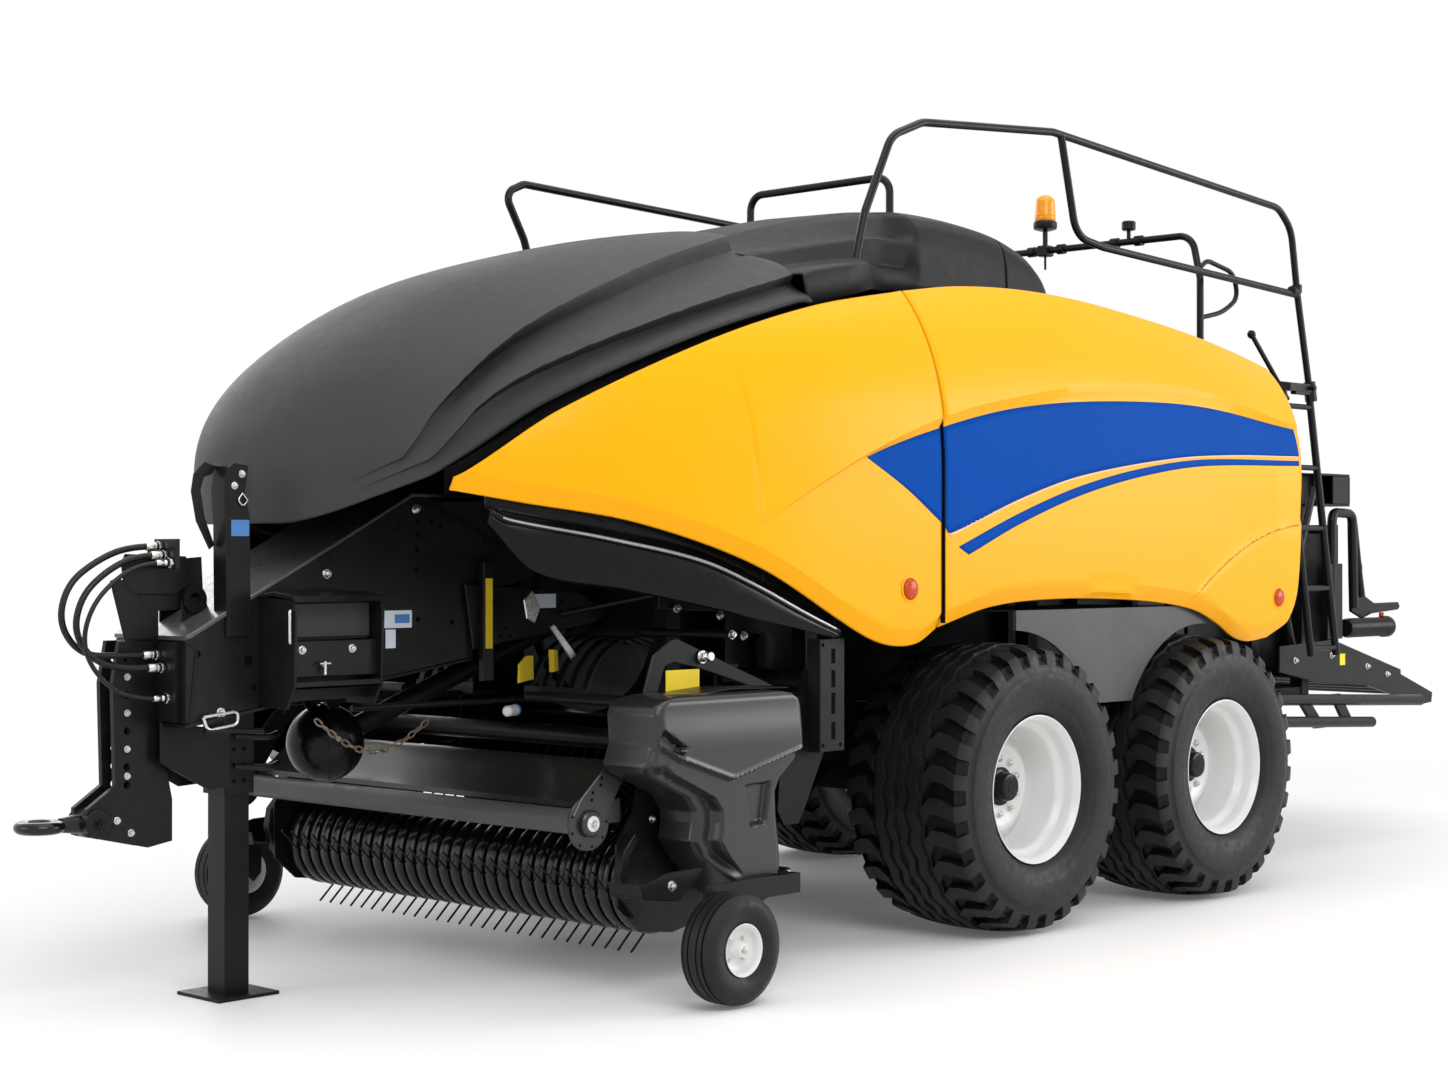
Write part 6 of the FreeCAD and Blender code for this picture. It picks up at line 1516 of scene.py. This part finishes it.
def build_rail_trim():
    """Beacon, rear lamp and clamps on the rails."""
    x, y, z = BEACON_FOOT
    body = [turned([(0.02, 0.013), (0.105, 0.013)], (x, y, z), UP, 20),
            turned([(0.1, 0.03), (0.108, 0.056), (0.118, 0.06), (0.14, 0.06), (0.148, 0.054)], (x, y, z), UP, 40),
            block(x - 0.03, x + 0.03, y - 0.03, y + 0.03, z - 0.03, z + 0.026, 0.006),
            turned([(0.0, 0.006), (0.07, 0.006)], (x, y, z - 0.095), UP, 10)]
    joined("beacon_body", body, "frame_paint", replaces="beacon")
    lens = [(0.15, 0.05), (0.158, 0.053), (0.17, 0.053), (0.173, 0.0505), (0.176, 0.0525), (0.205, 0.0515),
            (0.24, 0.049)]
    lens += dome(0.049, 0.04, 0.242)
    joined("beacon_lens", [turned(lens, (x, y, z), UP, 48)], "lens_amber", "chassis", "amber_lens")
    bits = [turned([(0.0, 0.01), (0.045, 0.01)], REAR_LAMP_FOOT, UP, 14),
            turned([(0.04, 0.028), (0.046, 0.034), (0.08, 0.034), (0.086, 0.028)], REAR_LAMP_FOOT, UP, 28)]
    clamps = [((HOOP_X, y, HOOP_Z), LEFT) for y in (-0.2, -0.02, 0.44, 0.3)]
    clamps += [((-2.735, 0.88, 2.85), UP), ((-2.7, 0.88, 2.835), FORWARD), ((0.66, 0.836, 2.49), UP)]
    bits += [turned([(-0.022, 0.02), (-0.02, 0.0255), (0.02, 0.0255), (0.022, 0.02)], place, axis, 24)
             for place, axis in clamps]
    loop = rounded([(-2.0, 0.785, 2.9), (-2.06, 0.785, 2.94), (-2.3, 0.785, 2.9), (-2.34, 0.785, 2.78),
                    (-2.2, 0.785, 2.7), (-2.0, 0.785, 2.66)], 0.09)
    bits.append(pipe(loop, 0.012))
    joined("rail_clamps", bits, "frame_paint")


# ---------------- rear end
CHUTE_SLOTS = [(-4.1, 0.895), (-4.22, 0.862), (-4.34, 0.829), (-4.46, 0.796)]


TENSION_Y = 0.6         # distance of the tension gear from the centre plane


def build_rear():
    """Tension hoops, beams, tubes and fittings on both sides of the chamber's rear end."""
    y = TENSION_Y
    hoop = pipe(rounded([(-3.57, y, 1.22), (-3.585, y, 1.752), (-3.798, y, 1.748), (-3.815, y, 1.24)], 0.05), 0.026)
    braces = [pipe([(-3.39, y, 1.88), (-3.08, y, 1.18)], 0.022), pipe([(-2.86, y, 1.9), (-3.18, y, 1.01)], 0.022),
              pipe([(-3.82, y, 1.7), (-3.9, y, 1.3)], 0.018)]
    plates = [slab([(-3.52, 1.48), (-3.66, 1.48), (-3.66, 1.08), (-3.5, 1.08)], y - 0.02, y + 0.02),
              slab([(-3.38, 1.955), (-3.69, 1.96), (-3.73, 1.93), (-3.735, 1.82), (-3.7, 1.785), (-3.38, 1.79)],
                   y - 0.1, y - 0.085),
              *[block(-3.738, -3.395, y - 0.11, y + 0.02, z, z + 0.012) for z in (1.785, 1.945)],
              block(-3.738, -3.726, y - 0.11, y + 0.02, 1.797, 1.945),
              block(-3.738, -3.56, y + 0.008, y + 0.02, 1.797, 1.945),
              slab([(-2.9, 1.06), (-3.45, 1.08), (-4.18, 0.9), (-4.18, 0.8), (-3.3, 0.86), (-2.9, 0.93)],
                   y + 0.075, y + 0.085),
              slab([(-3.0, 0.8), (-3.11, 0.8), (-3.3, 0.63), (-3.19, 0.63)], 0.705, 0.725),
              slab([(-3.35, 0.8), (-3.45, 0.8), (-3.6, 0.63), (-3.5, 0.63)], 0.705, 0.725)]
    hook = slab([(-3.86, 1.22), (-3.85, 1.44), (-3.9, 1.48), (-3.94, 1.48), (-3.975, 1.44), (-4.01, 1.3),
                 (-4.11, 1.262), (-4.38, 1.264), (-4.4, 1.24), (-4.38, 1.222), (-4.08, 1.205), (-3.98, 1.18)],
                0.545, 0.565)
    eye = washer((-3.925, 0.544, 1.455), 0.022, 0.048, 0.026, 24)
    drum = turned([(0.0, 0.045), (0.02, 0.052), (0.4, 0.052), (0.41, 0.058), (0.455, 0.058), (0.46, 0.05)],
                  (-3.72, y, 1.134), (-1, 0, 0), 32)
    tubes = [turned([(0, 0.03), (1.52, 0.03), (1.525, 0.026)], (-2.82, 0.715, 0.795), (-1, 0, -0.045), 20),
             turned([(0, 0.028), (0.93, 0.028), (0.935, 0.024)], (-2.82, 0.74, 0.684), (-1, 0, -0.05), 20)]
    joined("tension_gear", both([hoop, *braces, *plates, hook, eye, drum, *tubes]), "frame_paint")
    clamp = [turned([(-0.05, 0.026), (-0.048, 0.03), (0.048, 0.03), (0.05, 0.026)], (-2.865, 0.88, 2.345),
                    (0.2, 0, 1), 24),
             block(-2.85, -2.7, 0.865, 0.895, 2.325, 2.345), pipe([(-2.83, 0.84, 2.36), (-2.83, 0.93, 2.36)], 0.012),
             pipe([(-2.68, 0.86, 2.3), (-2.345, 0.86, 2.594)], 0.012),
             turned([(-0.02, 0.01), (-0.012, 0.018), (0.0, 0.021), (0.012, 0.018), (0.02, 0.01)],
                    (-2.34, 0.86, 2.598), (1, 0, 0.9), 18)]
    joined("rear_handle", clamp, "frame_paint")
    steel = [part for z in (1.83, 1.905) for part in bolt((-3.735, y - 0.04, z), (-1, 0, 0), 0.04)]
    steel += side_bolts(((-3.05, 0.985), (-3.42, 1.0), (-3.8, 0.93), (-4.02, 0.88)), y + 0.085, 0.034)
    joined("rear_bolts", both(steel), "plated_steel")
    joined("rear_cap", [turned([(0.0, 0.014), (0.018, 0.014), (0.022, 0.01)], (-4.12, y, 1.19), UP, 16)], "lens_red")
    joined("rear_label", both([block(-3.565, -3.51, y + 0.0845, y + 0.086, 0.945, 1.005, 0.0004)]), "label_yellow")
    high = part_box("bale_chute")[1]
    # Slots as thin plates of painted shade.
    slots = [slab([(x + 0.025, z + 0.022), (x - 0.025, z + 0.01), (x - 0.025, z - 0.014), (x + 0.025, z - 0.002)],
                  high.y - 0.0004, high.y + 0.0008, "xz", 0.0003) for x, z in CHUTE_SLOTS]
    joined("chute_slots", both(slots), "bore_black", "bale_chute")


# ---------------- under the hood and the panels
LINER_TOP = [(2.48, 1.76), (2.001, 1.69), (1.508, 1.54), (1.06, 1.33)]
LINER_BEAD = [
    (2.486, 1.679), (2.418, 1.645), (2.1, 1.585), (1.721, 1.505), (1.48, 1.415), (1.255, 1.317), (1.06, 1.24)]
LINER_LOW = [(2.48, 1.64), (2.33, 1.47), (2.0, 1.4), (1.44, 1.29), (1.06, 1.215)]


LINER_FRONT, LINER_REAR, BEAD = 2.478, 1.062, 0.01      # ends of the skirt, radius of its raised bead


def build_liners():
    """Moulded skirt behind the front panel's lower edge: a set-in upper band, a raised bead with a painted highlight
    and a full lower face.
    """
    verts, columns, count = [], 27, 80
    for i in range(count + 1):
        x = LINER_FRONT - (LINER_FRONT - LINER_REAR) * i / count
        top, low = curve_value(LINER_TOP, x), curve_value(LINER_LOW, x)
        bead = min(max(curve_value(LINER_BEAD, x), low + 0.012), top - 0.03)
        for j in range(columns):
            if j <= 12:
                t = j / 12
                z = low + (bead - BEAD - low) * t
                depth = 0.08 - 0.012 * math.sin(math.pi * t * 0.8)
            elif j <= 20:
                angle = math.pi * (j - 12) / 8
                z = bead - BEAD * math.cos(angle)
                depth = 0.073 - BEAD * math.sin(angle)
            else:
                t = (j - 20) / 6
                z = bead + BEAD + (top - bead - BEAD) * t
                depth = 0.076 + 0.018 * fade(t, 0, 0.2)
            verts.append((x, skin_y(x, z) - depth, z))
    skin = (verts, grid_faces(count + 1, columns))
    liner = joined("liner_skins", both([skin]), "liner_gloss", "chassis", "black_cover", 50)
    modifier(liner, "SOLIDIFY", thickness=COVER_THICK, offset=0)
    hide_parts("fender_liners")
    # The bead's light grey is a painted highlight along the skirt.
    line = [(x, skin_y(x, curve_value(LINER_BEAD, x)) - 0.062, curve_value(LINER_BEAD, x))
            for x in np.linspace(2.44, 1.09, 60)]
    joined("liner_beads", both([pipe(line, [0.0045 + 0.002 * math.sin(math.pi * k / 59) for k in range(60)], 8)]),
           "bead_bright")
    strut = block(1.395, 1.435, 0.76, 1.1, 1.43, 1.47)
    joined("liner_struts", both([strut]), "frame_paint")


def under_skin(x, z, depth):
    """Point a depth below the plain skin, square to it."""
    normal = skin_normal(x, z) * depth
    return x - normal.x, skin_y(x, z) - normal.y, z - normal.z


def build_hood_seal():
    """Rubber seal on the frame behind the gap between hood and front panels, in the darkest black: painted shade that
    also closes the view.
    """
    verts = []
    count = 70
    for i in range(count + 1):
        x = 2.64 - (2.64 - 1.08) * i / count
        at = hood_low(x) - 0.016
        verts += [under_skin(x, at - 0.045 + 0.09 * j / 8, 0.052 + 0.004 * abs(j - 4)) for j in range(9)]
    seal = joined("hood_seals", both([(verts, grid_faces(count + 1, 9))]), "bore_black", "hood", "black_cover", 60)
    modifier(seal, "SOLIDIFY", thickness=0.006, offset=0)


def build_under_frame():
    """Slotted posts, rotor cover straps, a service box and small fittings seen below the panels."""
    plate = slab([(1.118, 1.212), (0.976, 1.216), (0.976, 0.79), (1.118, 0.79)], 1.096, 1.104)
    fold = slab([(1.118, 1.212), (1.112, 1.212), (1.112, 0.79), (1.118, 0.79)], 1.04, 1.104, "xz", 0.001)
    straps = []
    for k in range(5):
        y = 0.165 + 0.075 * k
        arc = [(1.48 + 0.26 * math.cos(math.radians(a)), 0.96 + 0.26 * math.sin(math.radians(a)))
               for a in range(14, 126, 8)]
        straps.append(sheet(arc, y, y + 0.03, 0.012))
    straps.append(sheet([(1.742, 0.985), (1.738, 1.03)], 0.15, 0.5, 0.008))
    bars = [pipe([(1.47, 0.5, 1.235), (1.47, 0.99, 1.235)], 0.014),
            pipe([(1.62, 0.23, 1.3), (1.33, 0.76, 1.42)], 0.012)]
    skirt = [sheet([(2.25, 1.72), (1.9, 1.56), (1.65, 1.54)], 0.24, 0.96, 0.006),
             slab([(1.64, 1.54), (1.12, 1.42), (1.1, 1.3), (1.64, 1.33)], 0.77, 0.778)]
    far_sheet = slab([(2.3, 1.5), (1.15, 1.45), (1.15, 1.2), (2.3, 1.2)], -0.566, -0.56)
    far_end = slab([(1.16, 1.45), (1.02, 1.43), (1.02, 0.93), (1.4, 0.93), (1.4, 1.21), (1.16, 1.21)], -0.574, -0.568)
    joined("under_sheets", [*both([plate, fold, *straps, *bars, *skirt]), far_sheet, far_end], "frame_paint")
    # Slots and holes as thin plates of painted shade.
    slots = [slab([(1.052, z0), (1.03, z0), (1.03, z1), (1.052, z1)], 1.1035, 1.1048, "xz", 0.0004)
             for z0, z1 in ((0.835, 0.9), (0.93, 1.01), (1.03, 1.095), (1.12, 1.175))]
    slots += side_holes(((1.1, 1.19), (1.0, 0.815), (1.1, 0.815)), 1.1042, 0.008)
    joined("under_slots", both(slots), "bore_black")
    steel = [part for x, y, z in ((1.47, 0.985, 1.235), (1.56, 0.79, 1.33), (1.33, 0.79, 1.3), (1.2, 0.79, 1.22),
                                  (1.88, 0.56, 1.51)) for part in bolt((x, y, z), LEFT, 0.034)]
    steel += [slab([(1.905, 1.36), (1.86, 1.395), (1.82, 1.33), (1.85, 1.27), (1.89, 1.29)], 0.33, 0.336),
              slab([(1.84, 1.26), (1.815, 1.27), (1.7, 1.15), (1.73, 1.135)], 0.4, 0.406)]
    joined("under_fittings", both(steel), "plated_steel")
    tag = slab([(1.905, 1.12), (1.87, 1.15), (1.835, 1.15), (1.832, 1.062), (1.908, 1.05)], 0.3, 0.312)
    switch = slab([(1.752, 1.17), (1.728, 1.17), (1.724, 1.092), (1.748, 1.086)], 0.3, 0.33)
    joined("under_yellow_parts", [tag, switch], "label_yellow")
    cap = turned([(0.0, 0.02), (0.07, 0.02), (0.078, 0.014)], (1.965, 0.352, 0.955), (1, 0.5, 0), 24)
    joined("pickup_cap", [cap], "rim_paint", "pickup", NO_SLOT)
    ring = turned([(-0.014, 0.016), (-0.012, 0.022), (0.0, 0.022)], (1.965, 0.352, 0.955), (1, 0.5, 0), 24)
    joined("pickup_cap_ring", [ring], "label_blue", "pickup")


ARM_X, ARM_LONG, ARM_ROOT = (0.595, -0.9, -2.1), 0.07, 0.63
ARM_LEVELS = ((2.215, 2.265), (1.34, 1.4))
PORTAL_X, PORTAL_TOP = 1.38, 1.74


def build_panel_arms():
    """Carriers from the posts and the portal to just inside the panels and the hood."""
    parts = []
    for x in ARM_X:
        for z0, z1 in ARM_LEVELS:
            ends = [panel_point(x + dx, max(z, low_edge(x + dx) + 0.005))[1] - 0.034
                    for dx in (0, ARM_LONG) for z in (z0, z1)]
            parts.append(block(x, x + ARM_LONG, ARM_ROOT, min(ends), z0, z1))
    x, top = PORTAL_X, PORTAL_TOP
    ends = [skin_y(x + dx, z) - 0.06 for dx in (0, ARM_LONG) for z in (top - 0.06, top)]
    parts.append(block(x, x + ARM_LONG, ARM_ROOT, min(ends), top - 0.06, top))
    roof = max(top + 0.01 * k for k in range(140) if skin_y(x + ARM_LONG, top + 0.01 * k) > ARM_ROOT + 0.06)
    parts.append(block(x, x + ARM_LONG, ARM_ROOT - ARM_LONG, ARM_ROOT, top, roof - 0.02))
    joined("panel_arm_bars", both(parts), "frame_paint", replaces="panel_arms")


CHAIN_FROM, CHAIN_TO, CHAIN_SAG = Vector((2.78, 0.235, 0.955)), Vector((2.28, 0.235, 0.925)), 0.11
CHAIN_LINKS, LINK_LONG, LINK_WIDE, LINK_WIRE = 17, 0.02, 0.009, 0.0035


def build_chain():
    """Short safety chain hung from the drawbar: welded links, turned a quarter each."""
    links = []
    run = CHAIN_TO - CHAIN_FROM
    for k in range(CHAIN_LINKS):
        t = (k + 0.5) / CHAIN_LINKS
        place = CHAIN_FROM * (1 - t) + CHAIN_TO * t - Vector((0, 0, CHAIN_SAG * math.sin(math.pi * t)))
        slope = Vector((run.x, 0, run.z - CHAIN_SAG * math.pi * math.cos(math.pi * t))).normalized()
        across = Vector(LEFT) if k % 2 else slope.cross(Vector(LEFT))
        loop = [place + slope * (LINK_LONG * math.cos(a)) + across * (LINK_WIDE * math.sin(a))
                for a in [2 * math.pi * i / 12 for i in range(12)]]
        links.append(pipe(loop, LINK_WIRE, 6, closed=True))
    joined("safety_chain", links, "worn_steel")


# ---------------- stage
FLOOR_HALF = 45.0
CAMERA_PLACE, CAMERA_YAW, CAMERA_PITCH, CAMERA_LENS = (7.724, 6.902, 1.527), 43.6, 0.286, 58.594
# Name, place, point aimed at, width and length, and full power in watts of each lamp.
LAMPS = (
    ("key", (5.5, 7.5, 7.0), (0.6, 0, 1.3), (6.0, 3.5), 620),
    ("overhead", (0.5, 1.0, 8.0), (0.5, 0, 0), (9.0, 5.0), 430),
    ("front_fill", (11.0, -2.0, 3.5), (2.0, 0, 1.0), (4.0, 4.0), 200),
    ("rear_side", (-7.0, 7.5, 3.6), (-1.2, 1.2, 1.8), (5.0, 4.0), 620),
    ("far_side", (-1.0, -8.5, 5.0), (0, 0, 1.2), (7.0, 3.0), 300))


def build_stage(stage):
    """Floor, studio light, lamps and camera."""
    scene = bpy.context.scene
    scene.view_settings.view_transform = "Standard"
    half = FLOOR_HALF
    floor = bpy.data.objects.new("floor", bpy.data.meshes.new("floor"))
    floor.data.from_pydata([(-half, -half, 0), (half, -half, 0), (half, half, 0), (-half, half, 0)], [],
                           [(0, 1, 2, 3)])
    floor.data.materials.append(MATERIALS["floor_white"])
    scene.collection.objects.link(floor)

    world = bpy.data.worlds.new("studio")
    scene.world = world
    world.use_nodes = True
    tree = world.node_tree
    base = tree.nodes["Background"]
    fill(tree, base, Color=(0.97, 0.98, 1.0, 1), Strength=stage.ambient)
    white = add_node(tree, "Background", Color=(1, 1, 1, 1), Strength=1.0)
    mix_shaders(tree, seen_by_eye(tree), base, white, tree.nodes["World Output"])

    for name, place, aim, size, power in LAMPS:
        data = bpy.data.lights.new(name, "AREA")
        data.shape = "RECTANGLE"
        data.size, data.size_y = size
        data.energy = power * stage.lamp_share
        lamp_object = bpy.data.objects.new(name, data)
        lamp_object.location = place
        lamp_object.rotation_euler = (Vector(aim) - Vector(place)).to_track_quat("-Z", "Y").to_euler()
        scene.collection.objects.link(lamp_object)

    data = bpy.data.cameras.new("camera")
    data.sensor_width = 36.0
    data.lens = CAMERA_LENS
    data.clip_end = 200
    camera = bpy.data.objects.new("camera", data)
    camera.location = row(*CAMERA_PLACE)
    yaw, pitch = math.radians(CAMERA_YAW), math.radians(CAMERA_PITCH)
    direction = Vector((-math.cos(yaw) * math.cos(pitch), -math.sin(yaw) * math.cos(pitch), math.sin(pitch)))
    camera.rotation_euler = direction.to_track_quat("-Z", "Y").to_euler()
    scene.collection.objects.link(camera)
    scene.camera = camera


# ---------------- settings
class BalerColours(bpy.types.PropertyGroup):
    """Colours of the paints and plastics."""
    panel: FloatVectorProperty(name="Panels", description="Side panels", subtype="COLOR", default=(0.93, 0.405, 0.002))
    stripe: FloatVectorProperty(name="Stripe", description="Stripe on the side panels", subtype="COLOR",
                                default=(0.0, 0.06, 0.34))
    hood: FloatVectorProperty(name="Hood", description="Grained hood", subtype="COLOR", default=(0.029, 0.029, 0.03))
    frame: FloatVectorProperty(name="Frame", description="Painted steel frame", subtype="COLOR",
                               default=(0.008, 0.008, 0.0085))


class BalerStage(bpy.types.PropertyGroup):
    """Light of the studio."""
    ambient: FloatProperty(name="Ambient", description="Strength of the even light", default=0.55, min=0.0)
    lamp_share: FloatProperty(name="Lamps", description="Share of the lamps' full power", default=0.62, min=0.0)


class BALER_OT_finishes(bpy.types.Operator):
    """Make the materials and give them to the CAD nodes"""
    bl_idname = "baler.finishes"
    bl_label = "Finishes"

    def execute(self, context):
        build_materials(context.scene.baler_colours)
        dress_nodes()
        return {"FINISHED"}


class BALER_OT_panels(bpy.types.Operator):
    """Build the side panels with their bevels, stripes and lamps"""
    bl_idname = "baler.panels"
    bl_label = "Side Panels"

    def execute(self, context):
        build_panels()
        build_crease()
        return {"FINISHED"}


class BALER_OT_hood(bpy.types.Operator):
    """Build the grained hood with its sunk channels"""
    bl_idname = "baler.hood"
    bl_label = "Hood"

    def execute(self, context):
        build_hood()
        return {"FINISHED"}


class BALER_OT_tyres(bpy.types.Operator):
    """Build the flotation tyres and the ribbed gauge tyres"""
    bl_idname = "baler.tyres"
    bl_label = "Tyres"

    def execute(self, context):
        for end in ENDS:
            for side, sign in SIDES:
                build_flotation_tyre(f"tyre_{end}_{side}", f"wheel_{end}_{side}", sign)
        for side, sign in SIDES:
            build_gauge_tyre("gauge_tyre_" + side, "gauge_wheel_" + side, sign)
        return {"FINISHED"}


class BALER_OT_covers(bpy.types.Operator):
    """Build the stepped top covers"""
    bl_idname = "baler.covers"
    bl_label = "Top Covers"

    def execute(self, context):
        cover("top_cover_front_shell", 1.045, -0.634, "top_cover_front", 130)
        cover("top_cover_rear_shell", -0.646, -0.99, "top_cover_rear", 40)
        return {"FINISHED"}


class BALER_OT_wheel_trim(bpy.types.Operator):
    """Add hub caps, wheel nuts and valves"""
    bl_idname = "baler.wheel_trim"
    bl_label = "Wheel Trim"

    def execute(self, context):
        build_wheel_trim()
        return {"FINISHED"}


class BALER_OT_pickup_trim(bpy.types.Operator):
    """Build the pickup's moulded shields, bands and tines"""
    bl_idname = "baler.pickup_trim"
    bl_label = "Pickup"

    def execute(self, context):
        build_shields()
        build_windguard()
        build_strippers()
        build_reel()
        build_pickup_trim()
        return {"FINISHED"}


class BALER_OT_hitch_trim(bpy.types.Operator):
    """Add bolts, holes, brackets and labels to the drawbar"""
    bl_idname = "baler.hitch_trim"
    bl_label = "Drawbar and Hitch"

    def execute(self, context):
        build_drawbar()
        build_toolbox()
        build_hose_bracket()
        build_hose_post()
        build_jack_trim()
        build_tow_eye()
        build_guard()
        return {"FINISHED"}


class BALER_OT_hoses(bpy.types.Operator):
    """Hang the hydraulic hoses"""
    bl_idname = "baler.hoses"
    bl_label = "Hoses"

    def execute(self, context):
        build_hoses()
        return {"FINISHED"}


class BALER_OT_rail_trim(bpy.types.Operator):
    """Build the beacon and the rails' fittings"""
    bl_idname = "baler.rail_trim"
    bl_label = "Rails and Beacon"

    def execute(self, context):
        build_rail_trim()
        return {"FINISHED"}


class BALER_OT_rear_trim(bpy.types.Operator):
    """Add the tension gear and the chute's details"""
    bl_idname = "baler.rear_trim"
    bl_label = "Rear End"

    def execute(self, context):
        build_rear()
        return {"FINISHED"}


class BALER_OT_under_trim(bpy.types.Operator):
    """Add the parts seen under the panels"""
    bl_idname = "baler.under_trim"
    bl_label = "Under the Hood"

    def execute(self, context):
        build_liners()
        build_hood_seal()
        build_under_frame()
        build_panel_arms()
        build_chain()
        return {"FINISHED"}


class BALER_OT_stage(bpy.types.Operator):
    """Set up the floor, lamps and camera"""
    bl_idname = "baler.stage"
    bl_label = "Stage"

    def execute(self, context):
        build_stage(context.scene.baler_stage)
        return {"FINISHED"}


STEPS = (
    "finishes", "panels", "hood", "tyres", "covers", "wheel_trim", "pickup_trim", "hitch_trim", "hoses", "rail_trim",
    "rear_trim", "under_trim", "stage")


class BALER_PT_sidebar(bpy.types.Panel):
    """Lists the baler's build steps and settings"""
    bl_label = "Large Square Baler"
    bl_idname = "BALER_PT_sidebar"
    bl_space_type = "VIEW_3D"
    bl_region_type = "UI"
    bl_category = "Baler"

    def draw(self, context):
        for settings in (context.scene.baler_colours, context.scene.baler_stage):
            for name in settings.__annotations__:
                self.layout.prop(settings, name)
        for step in STEPS:
            self.layout.operator("baler." + step)


CLASSES = (
    BalerColours, BalerStage, BALER_OT_finishes, BALER_OT_panels, BALER_OT_hood, BALER_OT_tyres, BALER_OT_covers,
    BALER_OT_wheel_trim, BALER_OT_pickup_trim, BALER_OT_hitch_trim, BALER_OT_hoses, BALER_OT_rail_trim,
    BALER_OT_rear_trim, BALER_OT_under_trim, BALER_OT_stage, BALER_PT_sidebar)


def register():
    for cls in CLASSES:
        bpy.utils.register_class(cls)
    bpy.types.Scene.baler_colours = PointerProperty(type=BalerColours)
    bpy.types.Scene.baler_stage = PointerProperty(type=BalerStage)


def unregister():
    del bpy.types.Scene.baler_colours
    del bpy.types.Scene.baler_stage
    for cls in reversed(CLASSES):
        bpy.utils.unregister_class(cls)


def main():
    register()
    for step in STEPS:
        getattr(bpy.ops.baler, step)()


if __name__ == "__main__":
    main()
